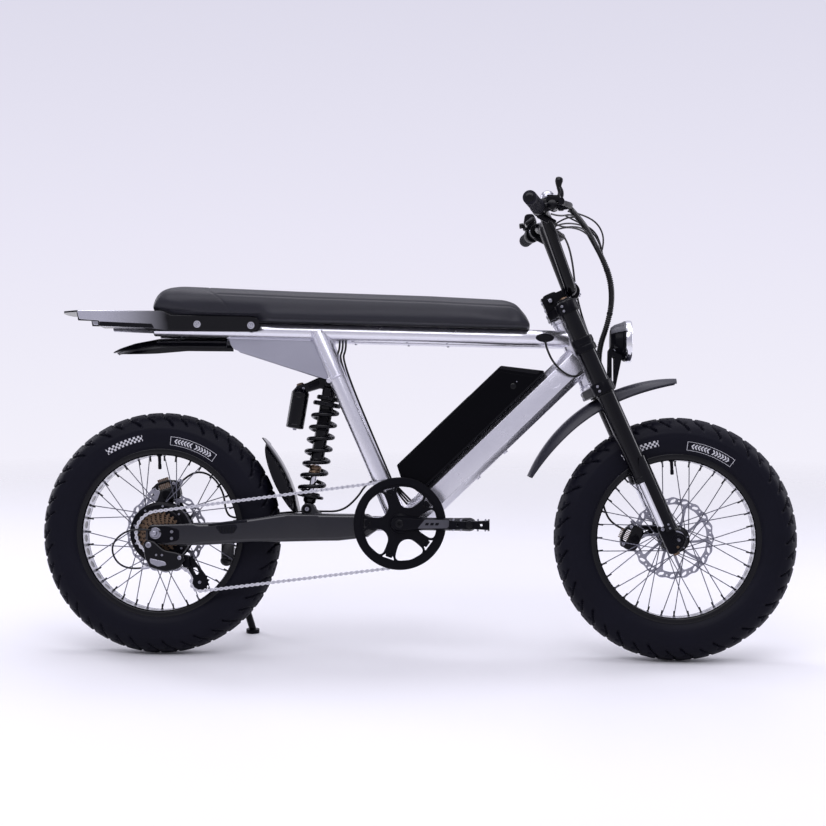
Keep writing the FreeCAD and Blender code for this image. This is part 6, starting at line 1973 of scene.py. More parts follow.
@dataclass(frozen=True)
class Suspension(Part):
    """Rear suspension: shock, spring, swingarm and the mudguard on it."""

    low: np.ndarray = spot(360.0, 0.0, 358.0)
    top: np.ndarray = spot(413.0, 0.0, 672.0)
    can_low: np.ndarray = spot(324.0, 0.0, 556.0)
    can_top: np.ndarray = spot(339.0, 0.0, 652.0)
    spring_radius: float = 29.5
    spring_wire: float = 5.0
    spring_turns: float = 7.0
    pivot: Flat = (526.0, 322.0)
    hugger_start: float = 8.9
    hugger_turn: float = 34.6
    hugger_radius: float = 343.6
    hugger_half: float = 60.0

    def build(self) -> None:
        """Shock, spring, swingarm and the mudguard on it."""
        shop = self.shop
        shop.place("shock_damper", self.shock_body() + self.reservoir(), "shock")
        shop.place("shock_screws", self.yoke_trim(), "shock", replaces=False)
        shop.place("shock_coil", self.shock_spring(), "shock_spring")
        shop.place("swingarm_right_leg", self.arm_sweep(-1), "swingarm_right")
        shop.place("swingarm_right_trim", self.arm_details(-1), "swingarm_right", replaces=False)
        shop.place("swingarm_left_trim", self.arm_details(1), "swingarm_left", replaces=False)
        shop.place("hugger_blade", self.hugger(), "rear_hugger")
        shop.softened("swingarm_left", Look.ARM, bevel=2.0)
        shop.softened("swingarm_yoke", Look.ARM, bevel=2.0)

    def shock_body(self) -> Shell:
        """Damper: eye brackets, spring seats with knurled rings, body, shaft and bronze seal.

        Returns:
            The damper.
        """
        length = float(np.linalg.norm(self.top - self.low))
        axis = Axis(tuple(self.low), tuple(self.top - self.low), LEFT)
        seat = lathe(axis, [(11.0, 14.0), (15.0, 18.0), (16.0, 26.0), (31.0, 28.5), (33.0, 30.0),
                            (33.0, 34.0), (30.0, 36.0), (24.0, 36.5), (22.0, 42.0), (10.0, 43.0)],
                     Look.GLOSS, 64, soften=1.0)
        shaft = lathe(axis, [(8.0, 40.0), (8.0, 118.0)], Look.CHROME, 40)
        stop = lathe(axis, [(8.2, 84.0), (14.5, 86.0), (15.5, 92.0), (13.0, 96.0), (15.5, 100.0),
                            (14.0, 108.0), (8.2, 110.0)], Look.BRONZE, 40, soften=1.5)
        body = lathe(axis, [(9.0, 116.0), (14.0, 116.5), (17.5, 119.0), (18.0, 124.0), (16.8, 126.0),
                            (16.8, 250.0), (17.5, 252.0), (17.5, length - 16.0), (14.0, length - 12.0),
                            (8.0, length - 11.0)], Look.GLOSS, 64, soften=0.8)
        threads = joined(lathe(axis, [(16.8, place), (17.5, place + 0.9), (16.8, place + 1.8)],
                               Look.SATIN, 40)
                         for place in np.arange(196.0, 250.0, 2.6))
        collars = []
        for low, radius in ((length - 62.0, 33.5), (length - 47.0, 27.0)):
            collars.append(lathe(axis, [(17.0, low), (radius - 1.5, low), (radius, low + 1.5),
                                        (radius, low + 9.5), (radius - 1.5, low + 11.0), (17.0, low + 11.0)],
                                 Look.GLOSS, 72, soften=0.8))
            first, second, along = axis.basis()
            for turn in np.arange(12) * math.pi / 6:
                out = first * math.cos(turn) + second * math.sin(turn)
                start = self.low + along * (low + 2.0) + out * (radius - 0.6)
                collars.append(rod(start, start + along * 7.0, 1.7, Look.SATIN, 0.5, 8))
        eyes = []
        for centre in (self.low, self.top):
            eyes.append(lathe(Axis((centre[0], -14.0, centre[2]), LEFT),
                              [(6.2, 0.0), (11.0, 0.0), (13.0, 2.0), (13.0, 26.0), (11.0, 28.0), (6.2, 28.0)],
                              Look.GLOSS, 40, soften=0.8))
        necks = [rod(line_point(self.low, self.top, 8.0), line_point(self.low, self.top, 20.0), 11.0,
                     Look.GLOSS, 1.0, 32),
                 rod(line_point(self.top, self.low, 8.0), line_point(self.top, self.low, 22.0), 12.0,
                     Look.GLOSS, 1.0, 32)]
        return joined([seat, shaft, stop, body, threads, *collars, *eyes, *necks])

    def reservoir(self) -> Shell:
        """Piggyback reservoir with bevelled ends, rings, a bronze knob and its bridge arm.

        Returns:
            The reservoir and its arm.
        """
        top, low = self.can_top, self.can_low
        axis = Axis(tuple(low), tuple(top - low), LEFT)
        length = float(np.linalg.norm(top - low))
        can = lathe(axis, [(4.0, 0.0), (14.0, 0.0), (21.0, 1.5), (22.0, 4.0), (22.0, 9.0), (21.2, 10.0),
                           (22.0, 11.0), (22.0, length - 20.0), (21.0, length - 19.0), (22.0, length - 18.0),
                           (22.0, length - 8.0), (15.0, length + 3.0), (8.0, length + 4.0)], Look.GLOSS, 64,
                    soften=0.6)
        knob_axis = Axis(tuple(line_point(low, top, length + 3.0)), (-0.3, 0.0, 0.95), LEFT)
        knob = lathe(knob_axis, [(7.0, 0.0), (9.0, 1.0), (9.0, 5.0), (7.4, 6.0), (7.4, 9.0), (9.0, 10.0),
                                 (9.0, 12.5), (6.5, 14.0)], Look.BRONZE, 12)
        valve = lathe(Axis(tuple(low), tuple(low - top), LEFT),
                      [(5.0, -0.5), (5.0, 3.0), (3.6, 4.0)], Look.STEEL, 24)
        arm = rounded([(404.0, 681.0), (384.0, 683.0), (352.0, 668.0), (330.0, 664.0), (322.0, 650.0),
                       (340.0, 644.0), (356.0, 646.0), (388.0, 656.0), (398.0, 650.0)], 5.0, 4)
        bridge = plate([arm], -11.0, 11.0, Look.GLOSS, 3.5)
        pocket = rounded([(384.0, 676.0), (356.0, 664.0), (362.0, 655.0), (386.0, 664.0)], 3.0, 3)
        plates = plate([pocket], -12.0, 12.0, Look.SATIN, 0.8)
        screws = [bolt((346.0, side * 11.0, 655.0), sideways(side), 3.6, 2.2) for side in (-1, 1)]
        return joined([can, knob, valve, bridge, plates, *screws])

    def shock_spring(self) -> Shell:
        """Coil spring with closed and flattened ends.

        Returns:
            The spring.
        """
        length = float(np.linalg.norm(self.top - self.low))
        low, high = 41.4, length - 67.4
        share = np.linspace(0.0, 1.0, 330)
        first, second, along = Axis(tuple(self.low), tuple(self.top - self.low), LEFT).basis()
        angle = share * self.spring_turns * 2 * math.pi
        height = low + (high - low) * share
        path = (self.low + np.cos(angle)[:, None] * self.spring_radius * first
                + np.sin(angle)[:, None] * self.spring_radius * second + height[:, None] * along)
        return sweep(path, disc(self.spring_wire, 16), Look.GLOSS, tuple(along))

    def arm_sweep(self, side: int) -> Shell:
        """Swingarm leg: a box section with rolled edges that follows the arm from front to rear.

        Rows run along the arm and columns round its section. Each row's height, low edge, inner face
        and outer face come from the arm's outline at that forward place.

        Args:
            side: -1 for the right-hand side, 1 for the left.

        Returns:
            The leg.
        """
        x = np.concatenate([np.linspace(-24.0, 104.0, 24), np.linspace(112.0, 300.0, 24),
                            np.linspace(306.0, 400.0, 20), np.linspace(410.0, 546.0, 24)])
        top = np.interp(x, (-24, -14, 30, 138, 240, 310, 506, 534, 546),
                        (300, 316, 318, 322, 336, 347, 347, 336, 326))
        low = np.interp(x, (-24, -14, 30, 110, 231, 440, 506, 534, 546),
                        (280, 272, 268, 268, 277, 282, 290, 308, 318))
        outer = np.interp(x, (-24, 313, 392, 546), (97, 97, 58, 58))
        inner = np.interp(x, (-24, 92, 112, 306, 384, 546), (87, 87, 60, 60, 28, 28))
        half_tall, half_wide = (top - low) / 2, (outer - inner) / 2
        edge = np.minimum(9.0, np.minimum(half_tall, half_wide) * 0.8)
        corner = np.linspace(0.0, math.pi / 2, 5)
        rows = []
        for sign_y, sign_z, start in ((1, 1, 0), (-1, 1, 1), (-1, -1, 2), (1, -1, 3)):
            turn = corner + start * math.pi / 2
            y = sign_y * (half_wide - edge)[:, None] + edge[:, None] * np.cos(turn)
            z = sign_z * (half_tall - edge)[:, None] + edge[:, None] * np.sin(turn)
            rows.append(np.stack([np.broadcast_to(x[:, None], y.shape), ((outer + inner) / 2)[:, None] + y,
                                  ((top + low) / 2)[:, None] + z], axis=2))
        points = np.concatenate(rows, axis=1) * (1.0, side, 1.0)
        return grid(points, Look.ARM, close_columns=True, caps=True)

    def arm_details(self, side: int) -> Shell:
        """Small things on a swingarm leg: chain pad, dropout plate, pivot cap and weld lines.

        Args:
            side: -1 for the right-hand side, 1 for the left.

        Returns:
            The trim of one leg.
        """
        y = side * 97.0
        direction = sideways(side)
        x, z = self.pivot
        parts = [lathe(Axis((x, side * 58.0, z), direction),
                       [(14.0, -1.0), (14.0, 3.0), (12.0, 4.5), (6.0, 4.5)], Look.SATIN, 40, soften=0.6),
                 bolt((x, side * 62.0, z), direction, 7.0, 3.4, Look.STEEL)]
        low, high = sorted((y - side * 1.0, y + side * 1.4))
        drop = rounded([(-18.0, 312.0), (26.0, 314.0), (58.0, 306.0), (58.0, 280.0), (28.0, 272.0),
                        (-18.0, 276.0)], 7.0, 4)
        parts.append(plate([drop, circle((0.0, 296.0), 7.0, 24)], low, high, Look.SATIN, 0.5))
        for place in ((40.0, 300.0), (40.0, 284.0)):
            parts.append(bolt((place[0], y + side * 1.2, place[1]), direction, 4.0, 2.6))
        if side < 0:
            low, high = y - 2.2, y + 0.4
            pad = rounded([(128.0, 316.0), (222.0, 326.0), (222.0, 330.5), (128.0, 320.0)], 1.5, 2)
            parts.append(plate([pad], low, high + 6.0, Look.RUBBER, 0.6))
            slot = rounded([(146.0, 312.0), (150.0, 316.0), (196.0, 320.0), (200.0, 312.0), (190.0, 298.0),
                            (160.0, 296.0)], 4.0, 3)
            parts.append(plate([slot], low + 1.4, high, Look.RUBBER, 0.4))
            parts += [plate([rounded([(x, 299.0), (x + 4.0, 299.0), (x + 5.0, 314.0), (x + 1.0, 314.0)],
                                     1.0, 2)],
                            low + 0.6, high - 0.4, Look.GLOSS, 0.3) for x in np.arange(156.0, 190.0, 8.0)]
        return joined(parts)

    def hugger(self) -> Shell:
        """Mudguard ahead of the rear wheel: a curved blade with side skirts and a pointed top.

        Rows go round the wheel. Across a row the radius falls towards both edges with the fourth
        power of the distance from the middle, and the skirts hang lower in the middle of the guard.

        Returns:
            The mudguard.
        """
        share = np.linspace(0.0, 1.0, 36)[:, None]
        angle = np.radians(self.hugger_start + share * self.hugger_turn)
        across = np.linspace(-1.0, 1.0, 33)[None, :]
        width = self.hugger_half * across * (1.0 - 0.5 * ramp(share, 0.72, 0.28) ** 2)
        drop = 32.0 * np.abs(across) ** 5 * np.sin(np.clip(share * 1.1, 0, 1) * math.pi) ** 0.6
        outer = self.hugger_radius - drop
        skin = wheel_points(0.0, angle, outer, width)
        under = wheel_points(0.0, angle, outer - 3.0, width * 0.96)
        shell = np.concatenate([skin, under[:, ::-1]], axis=1)
        return grid(shell, Look.GLOSS, close_columns=True, caps=True)

    def yoke_trim(self) -> Shell:
        """Screws at both eyes of the shock.

        Returns:
            The screws and their washers.
        """
        parts = []
        for eye, y in ((self.low, 21.0), (self.top, 40.0)):
            x, z = eye[0], eye[2]
            for side in (-1, 1):
                parts.append(lathe(Axis((x, side * y, z), sideways(side)),
                                   [(11.0, -0.5), (11.0, 1.4), (6.0, 1.4)], Look.SATIN, 32))
                parts.append(bolt((x, side * (y + 1.2), z), sideways(side), 6.0, 4.0, Look.STEEL))
        return joined(parts)


# Fork and steering


@dataclass(frozen=True)
class Fork(Part):
    """Fork: crowns, tubes, legs and guards, with the fender and the headlight on it."""

    sizes: ForkSizes = FORK
    lamp: Point = (1150.0, 0.0, 777.0)
    crown_bevel: float = 1.4

    def build(self) -> None:
        """Fork, front fender and headlight."""
        shop = self.shop
        shop.place("fork_outer_tubes", self.fork_tubes(), "fork_tubes")
        shop.place("fork_legs", self.lower_legs(), "lower_legs")
        shop.place("fork_guards", self.leg_guards(), "leg_guards")
        shop.place("front_fender_blade", self.front_fender(), "front_fender")
        shop.place("headlight_shell", self.headlight(), "headlight")
        shop.place("headlight_glass", self.lens(), "headlight_lens")
        shop.place("lower_crown_bolts", self.crown_bolts(*self.sizes.lower_crown), "lower_crown",
                   replaces=False)
        shop.place("upper_crown_bolts", self.crown_bolts(*self.sizes.upper_crown), "upper_crown",
                   replaces=False)
        for node in ("lower_crown", "upper_crown"):
            shop.softened(node, Look.SATIN, bevel=self.crown_bevel)

    def fork_tubes(self) -> Shell:
        """Outer tubes: bumper collars, bands, wiper seals and adjuster caps.

        Returns:
            Both tubes.
        """
        parts, lead, spread = [], self.sizes.lead, self.sizes.spread
        for side in (-1, 1):
            y = side * spread
            parts.append(self.steered_lathe(lead, y, [
                (17.6, -356.0), (21.5, -357.0), (23.4, -355.0), (23.4, -346.0), (22.5, -344.0),
                (22.5, -131.0), (23.0, -130.4), (23.0, -127.6), (22.5, -127.0), (22.5, 84.0), (22.5, 112.0),
                (21.5, 115.0), (18.5, 117.0), (18.5, 121.0), (14.0, 121.6)], Look.GLOSS))
            parts.append(self.steered_lathe(lead, y, [
                (22.4, -17.0), (26.5, -17.0), (27.5, -15.0), (27.5, -4.0), (26.2, -2.5), (26.2, 2.5),
                (27.5, 4.0), (27.5, 16.0), (26.5, 18.0), (22.4, 18.0)], Look.SATIN, soften=0.6))
            parts.append(self.steered_lathe(lead, y, [
                (16.9, -359.0), (20.5, -359.0), (21.8, -356.0), (21.8, -352.0), (16.9, -352.0)],
                                            Look.RUBBER, soften=0.6, closed=True))
            cap = self.bike.steered((lead, y, 121.0))[0]
            color = Look.BRONZE if side < 0 else Look.STEEL
            parts.append(lathe(Axis(tuple(cap), tuple(self.bike.up), tuple(self.bike.ahead)),
                               [(10.0, 0.0), (9.4, 4.0), (4.0, 4.4)], color, 6))
            for place in (-8.0, 9.0):
                parts.append(self.steered_bolt((lead - 26.6, y, place), BACK, 3.0, 2.0))
        return joined(parts)

    def lower_legs(self) -> Shell:
        """Chrome stanchions and cast axle lugs with pinch screws.

        Returns:
            Both legs.
        """
        parts, lead, spread = [], self.sizes.lead, self.sizes.spread
        for side in (-1, 1):
            y = side * spread
            parts.append(self.steered_lathe(lead, y, [(17.0, -474.0), (17.0, -265.0)], Look.CHROME,
                                            soften=0.0))
            outline = rounded([(4.0, -470.0), (40.0, -470.0), (41.0, -500.0), (57.0, -512.0), (57.0, -524.0),
                               (46.0, -536.0), (20.0, -546.0), (5.0, -542.0)], 6.0, 4)
            near, far = y - side * 21.0, y + side * 14.0
            lug = plate([outline, circle((self.sizes.axle_lead, self.sizes.axle_drop), 6.4, 32)],
                        min(near, far), max(near, far), Look.SATIN, 2.4)
            parts.append(lug.mapped(self.bike.steered))
            face = y + side * 14.0
            ring_base = self.bike.steered((self.sizes.axle_lead, face, self.sizes.axle_drop))[0]
            parts.append(lathe(Axis(tuple(ring_base), sideways(side)),
                               [(16.5, -1.0), (16.5, 0.6), (13.5, 1.4)], Look.SATIN, 48))
            parts.append(self.steered_bolt((14.0, face, -480.0), sideways(side), 5.0, 3.2))
            parts.append(self.steered_bolt((30.0, face, -533.0), sideways(side), 3.6, 2.6, Look.BRONZE))
            foot = self.bike.steered((lead, y, -546.0))[0]
            parts.append(lathe(Axis(tuple(foot), tuple(-self.bike.up), tuple(self.bike.ahead)),
                               [(8.0, -3.0), (8.0, 3.0), (6.0, 4.4), (3.0, 4.4)], Look.BRONZE, 24,
                               soften=0.5))
        return joined(parts)

    def leg_guards(self) -> Shell:
        """Half-round guards ahead of the stanchions, pointed at the top, on a screwed foot.

        Returns:
            Both guards.
        """
        parts, lead, spread = [], self.sizes.lead, self.sizes.spread
        height = np.linspace(0.0, 1.0, 40)[:, None]
        across = np.linspace(-1.0, 1.0, 21)[None, :]
        for side in (-1, 1):
            y = side * spread
            s = self.sizes.guard_low + height * (self.sizes.guard_high - self.sizes.guard_low)
            opening = np.radians(96.0 - 26.0 * ramp(height, 0.8, 0.2) ** 2)
            turn = across * opening
            rows = []
            for radius in self.sizes.guard_radii:
                ahead = lead + radius * np.cos(turn)
                out = y + radius * np.sin(turn) * 0.99
                rows.append(np.stack(np.broadcast_arrays(ahead, out, s), axis=2))
            loop = np.concatenate([rows[0], rows[1][:, ::-1]], axis=1)
            loop[..., 1] = np.clip(loop[..., 1] * side, 71.5, 200.0) * side
            shape = self.bike.steered(loop.reshape(-1, 3)).reshape(loop.shape)
            parts.append(grid(shape, Look.GLOSS, close_columns=True, caps=True))
            for place in (-484.0, -474.0):
                parts.append(self.steered_bolt((lead + 8.0, y + side * 26.6, place),
                                               (0.3, float(side), 0.0), 2.8, 1.8))
        return joined(parts)

    def crown_bolts(self, low: float, high: float) -> Shell:
        """Pinch screws at the back of a fork crown's collars and beside its steerer.

        Args:
            low: underside of the crown, as a place up the steering axis.
            high: its top, given the same way.

        Returns:
            The screws of one crown.
        """
        middle = (low + high) / 2
        parts, lead, spread = [], self.sizes.lead, self.sizes.spread
        for side in (-1, 1):
            for step in (-6.0, 6.0):
                parts.append(self.steered_bolt((lead - 12.0, side * (spread + 25.5), middle + step),
                                               (-0.35, float(side), 0.0), 3.6, 2.6))
                parts.append(self.steered_bolt((-25.0, side * 26.0, middle + step), BACK, 3.6, 2.6))
        return joined(parts)

    def fender_blade(self) -> Shell:
        """Front fender: a blade curved both ways, with turned edges and narrowed, lifted ends.

        Rows go round the wheel. The radius falls with the square of the place across and again at the
        turned edge. The half width shrinks at both ends with the cube of the distance from the middle.

        Returns:
            The blade.
        """
        share = np.linspace(0.0, 1.0, 64)[:, None]
        start, end = self.sizes.fender_turn
        angle = np.radians(start + share * (end - start))
        across = np.linspace(-1.0, 1.0, 25)[None, :]
        width = self.sizes.fender_half * across * (1.0 - 0.45 * np.abs(2 * share - 1) ** 5)
        skirt = 17.0 * (1.0 - np.abs(2 * share - 1) ** 2.4) + 3.0
        crown = 8.0 * across ** 2 + skirt * np.abs(across) ** 7
        ridge = 1.4 * np.exp(-(((np.abs(across) - 0.55) / 0.06) ** 2))
        outer = self.sizes.fender_radius - crown + ridge
        skin = wheel_points(WHEEL.base, angle, outer, width)
        under = wheel_points(WHEEL.base, angle, outer - self.sizes.fender_wall, width * 0.97)
        return grid(np.concatenate([skin, under[:, ::-1]], axis=1), Look.FENDER, close_columns=True,
                    caps=True)

    def front_fender(self) -> Shell:
        """Front fender with its bridge under the lower crown.

        Returns:
            The fender and its bridge.
        """
        blade = self.fender_blade()
        foot = plate([rounded([(8.0, -182.0), (40.0, -184.0), (36.0, -122.0), (4.0, -122.0)], 5.0, 3)],
                     -27.0, 27.0, Look.MATTE, 2.0).mapped(self.bike.steered)
        screws = [self.steered_bolt((22.0, side * 27.0, -140.0), sideways(side), 4.0, 2.6)
                  for side in (-1, 1)]
        return joined([blade, foot, *screws])

    def headlight(self) -> Shell:
        """Headlight: chrome ring and upper shell, finned lower shell and a bolted bracket.

        Returns:
            The headlight without its glass.
        """
        lamp_x, _, lamp_z = self.lamp
        axis = Axis(self.lamp, AHEAD, UP)
        shell = lathe(axis, [(3.0, -52.0), (28.0, -52.0), (33.0, -49.0), (40.0, -40.0), (46.0, -22.0),
                             (49.0, -18.0), (49.0, -12.0), (46.0, -12.0), (46.0, -3.0), (30.0, -10.0),
                             (8.0, -30.0)], Look.SATIN, 72, soften=1.2)
        angle = np.radians(np.linspace(-62.0, 62.0, 33))[:, None]
        radius = np.array([[50.2, 50.6, 49.6, 46.8, 41.0, 34.2, 33.6, 40.0, 45.8, 48.6]])
        ahead = np.array([[-13.0, -16.0, -19.0, -24.0, -41.0, -50.0, -49.0, -40.0, -23.0, -18.0]])
        dome = grid(np.stack(np.broadcast_arrays(lamp_x + ahead, radius * np.sin(angle),
                                                 lamp_z + radius * np.cos(angle)), axis=2),
                    Look.PANEL, close_columns=True, caps=True)
        ring = lathe(axis, [(46.5, -15.0), (51.0, -14.0), (52.4, -10.0), (52.0, -2.0), (49.6, 1.2),
                            (46.8, 0.6), (46.0, -3.0)], Look.CHROME, 96, soften=0.8, closed=True)
        bowl = lathe(axis, [(45.0, -4.4), (40.0, -9.0), (28.0, -15.0), (12.0, -19.0), (3.0, -20.0)],
                     Look.CHROME, 64)
        lamp = lathe(axis, [(8.0, -20.0), (8.0, -11.0), (5.0, -8.0), (1.0, -7.4)], Look.PALE, 32)
        fins = []
        for angle in np.arange(-64.0, 65.0, 16.0):
            fin = rounded([(1102.0, 739.5), (1134.0, 731.0), (1136.0, 736.0), (1104.0, 747.0)], 1.4, 2)
            blade = plate([fin], -1.8, 1.8, Look.SATIN, 0.5)
            turn = math.radians(angle)
            cos, sin = math.cos(turn), math.sin(turn)
            fins.append(blade.mapped(lambda p, c=cos, s=sin: np.stack(
                [p[:, 0], p[:, 1] * c - (p[:, 2] - lamp_z) * s,
                 lamp_z + p[:, 1] * s + (p[:, 2] - lamp_z) * c], axis=1)))
        foot = self.bike.steered((self.sizes.lead + 24.0, 0.0, -115.0))[0]
        arms = []
        for side in (-1, 1):
            low, high = sorted((side * 24.0, side * 28.0))
            outline = rounded([(foot[0] - 8, foot[2] - 8), (foot[0] + 10, foot[2] - 8), (1128.0, 743.0),
                               (1116.0, 772.0), (1104.0, 765.0), (1094.0, 757.0)], 5.0, 4)
            slot = rounded([(foot[0] + 2, foot[2] + 12), (foot[0] + 8, foot[2] + 12), (1108.0, 738.0),
                            (1102.0, 740.0)], 2.5, 3)
            arms.append(plate([outline, slot], low, high, Look.SATIN, 0.7))
            arms.append(bolt((1112.0, side * 28.0, 757.0), sideways(side), 6.4, 4.0))
            arms.append(bolt((foot[0] + 2.0, side * 28.0, foot[2] + 2.0), sideways(side), 5.0, 3.4))
        cross = rod((foot[0], -27.0, foot[2]), (foot[0], 27.0, foot[2]), 8.0, Look.SATIN, 1.0)
        pins = [rod((1112.0, side * 24.0, 757.0), (1112.0, side * 38.0, 762.0), 5.0, Look.SATIN)
                for side in (-1, 1)]
        return joined([shell, dome, ring, bowl, lamp, *fins, *arms, cross, *pins])

    def lens(self) -> Shell:
        """Headlight glass: a shallow dome.

        Returns:
            The glass.
        """
        axis = Axis(self.lamp, AHEAD, UP)
        radius = np.linspace(48.6, 1.0, 12)
        dome = [(r, math.sqrt(300.0 ** 2 - r ** 2) - 296.2) for r in radius]
        return lathe(axis, [(48.6, -1.6), *dome], Look.LENS, 72)


@dataclass(frozen=True)
class Cockpit(Part):
    """Handlebar with its grips, levers, switches and stem."""

    knee: np.ndarray = spot(1000.6, -62.0, 897.2)
    shoulder: np.ndarray = spot(934.0, -104.0, 1074.5)
    end: np.ndarray = spot(894.0, -370.0, 1074.5)
    thick: float = 14.0
    thin: float = 11.1
    grip_length: float = 128.0
    lever_reach: float = 130.0
    screen_tilt: float = 52.0

    def build(self) -> None:
        """Handlebar, grips, levers, switches and stem."""
        shop = self.shop
        shop.place("bar", self.handlebar(), "handlebar")
        shop.place("bar_grips", self.grips(), "grips")
        shop.place("brake_lever_set", self.bar_frame(self.brake_lever()).both(), "brake_levers")
        pods = [self.bar_frame(self.controls()).both(), self.bar_frame(self.thumb_lever()),
                self.switch_box(), self.small_screen()]
        shop.place("switch_pods", joined(pods), "bar_controls")
        shop.place("stem_fittings", self.stem_details(), "stem", replaces=False)
        shop.softened("stem", Look.SATIN, bevel=1.2)

    def handlebar(self) -> Shell:
        """Handlebar: a thick middle that rises in two bends and tapers to thin ends.

        Returns:
            The bar and its two marks.
        """
        out = unit(self.end - self.shoulder)
        swell = self.shoulder + out * 34.8
        half = smooth_path([tuple(self.knee * (1, 0, 1)), tuple(self.knee + (0.0, 30.0, 0.0)),
                            tuple(self.knee), tuple(self.knee + unit(self.shoulder - self.knee) * 34.0),
                            tuple(self.shoulder - unit(self.shoulder - self.knee) * 34.0),
                            tuple(self.shoulder), tuple(swell)], 60)
        tail = swell + np.outer(np.array([6.0, 12.0, 18.0, 60.0, 120.0, 180.0, 231.0]), out)
        path = np.vstack([half, tail])
        scale = np.concatenate([np.full(61, self.thick), [12.5], np.full(5, self.thin)])
        path = np.vstack([path[:0:-1] * (1, -1, 1), path])
        scale = np.concatenate([scale[:0:-1], scale])
        bar = sweep(path, disc(1.0, 28), Look.GLOSS, (1.0, 0.0, 0.2), scale=scale)
        marks = joined(lathe(Axis((self.knee[0], side * 36.0, self.knee[2]), sideways(side)),
                             [(14.25, 0.0), (14.25, 1.0)], Look.PANEL, 32) for side in (-1, 1))
        return joined([bar, marks])

    def grips(self) -> Shell:
        """Grips with ribs, an inner flange and a rounded end plug.

        Returns:
            Both grips.
        """
        out = unit(self.end - self.shoulder)
        start = self.end - out * self.grip_length
        axis = Axis(tuple(start), tuple(out), UP)
        profile = [(11.4, 0.0), (17.4, 0.0), (18.0, 1.5), (17.6, 5.0), (15.6, 7.0)]
        for place in np.arange(10.0, 112.0, 4.0):
            profile += [(15.2, place), (16.5, place + 0.9), (16.5, place + 2.4), (15.2, place + 3.2)]
        profile += [(16.4, 117.0), (16.6, 127.0), (15.6, 130.0), (11.0, 131.0), (2.0, 131.0)]
        one = lathe(axis, profile, Look.GRIP, 48)
        plug = lathe(axis, [(10.6, 130.4), (10.6, 132.0), (9.0, 132.8), (3.0, 132.8)], Look.GLOSS, 36)
        return (one + plug).both()

    def bar_frame(self, shell: Shell) -> Shell:
        """Move a shell from the grip's own frame (ahead, inwards, up) to the right-hand bar end.

        Args:
            shell: a shell in the grip's own frame.

        Returns:
            The shell at the bar's end.
        """
        inward = unit(self.shoulder - self.end)
        upward = np.array(UP)
        ahead = np.cross(inward, upward)
        origin = self.end + inward * self.lever_reach
        basis = np.stack([ahead, inward, upward])
        return shell.mapped(lambda points: origin + points @ basis)

    def clamp_band(self, inward: float, width: float, radius: float, look: Look = Look.SATIN) -> Shell:
        """Clamp round the bar, in the grip's own frame.

        Args:
            inward: place of the band's outer edge, inwards from the grip.
            width: its width.
            radius: its outer radius.
            look: finish of every face.

        Returns:
            The band.
        """
        return lathe(Axis((0.0, inward, 0.0), LEFT),
                     [(11.3, 0.0), (radius - 1.0, 0.0), (radius, 1.0), (radius, width - 1.0),
                      (radius - 1.0, width), (11.3, width)], look, 40, soften=0.6)

    def brake_lever(self) -> Shell:
        """Hydraulic brake lever: clamp, master cylinder with its cap, pivot and curved blade.

        Returns:
            The lever, in the grip's own frame.
        """
        clamp = self.clamp_band(8.0, 22.0, 18.0)
        cylinder = rod((36.0, -6.0, 2.0), (34.0, 44.0, 3.0), 12.0, Look.GLOSS, 2.5, 32)
        tank = plate([rounded([(20.0, 10.0), (52.0, 10.0), (54.0, 21.0), (22.0, 23.0)], 4.0, 4)], -4.0, 36.0,
                     Look.SATIN, 2.0)
        cap = plate([rounded([(22.0, 22.6), (53.0, 20.8), (53.0, 24.4), (23.0, 26.0)], 1.2, 3)], -2.0, 34.0,
                    Look.GLOSS, 0.8)
        screws = [bolt((38.0, y, 25.0), (0.05, 0.0, 1.0), 2.6, 1.4) for y in (4.0, 28.0)]
        neck = rod((8.0, 19.0, -1.0), (32.0, 19.0, 1.0), 10.0, Look.SATIN, 1.0)
        pivot = rod((54.0, 16.0, -10.0), (54.0, 16.0, 12.0), 6.6, Look.GLOSS, 1.0)
        pin = bolt((54.0, 16.0, 12.0), UP, 3.6, 1.6)
        web = rod((38.0, 8.0, 1.0), (54.0, 16.0, 1.0), 7.0, Look.SATIN, 1.0)
        path = smooth_path([(54.0, 16.0, 0.0), (74.0, 4.0, -2.0), (82.0, -18.0, -3.0), (76.0, -60.0, -6.0),
                            (68.0, -92.0, -7.0), (70.0, -110.0, -7.0)], 40)
        share = np.linspace(0, 1, 40)
        scale = 6.0 + 1.6 * np.exp(-(share / 0.16) ** 2) + 1.8 * np.exp(-((share - 1) / 0.05) ** 2)
        blade = sweep(path, disc(1.0, 16) * (0.9, 1.1), Look.SATIN, UP, scale=scale)
        outlet = lathe(Axis((34.0, 42.0, 2.0), (0.05, 1.0, 0.05)),
                       [(6.4, 0.0), (6.4, 7.0), (4.2, 8.0), (3.6, 18.0)], Look.STEEL, 24)
        return joined([clamp, cylinder, tank, cap, *screws, neck, pivot, pin, web, blade, outlet])

    def controls(self) -> Shell:
        """Thumb lever and switch pod inboard of a brake lever.

        Returns:
            The pod, in the grip's own frame.
        """
        band = self.clamp_band(42.0, 20.0, 19.0)
        pod = rod((8.0, 46.0, 6.0), (26.0, 56.0, 22.0), 13.0, Look.SATIN, 3.0, 32)
        wheel = lathe(Axis((10.0, 38.0, 8.0), LEFT),
                      [(9.0, 0.0), (15.0, 0.5), (16.5, 2.0), (16.5, 7.0), (15.0, 8.5)], Look.GLOSS, 18,
                      soften=0.5)
        under = rod((-4.0, 50.0, -12.0), (22.0, 56.0, -26.0), 9.0, Look.SATIN, 2.4, 28)
        trigger = rod((18.0, 52.0, -20.0), (38.0, 44.0, -32.0), 4.4, Look.SATIN, 1.4, 20)
        screw = bolt((-18.4, 52.0, 0.0), BACK, 3.2, 2.0)
        return joined([band, pod, wheel, under, trigger, screw])

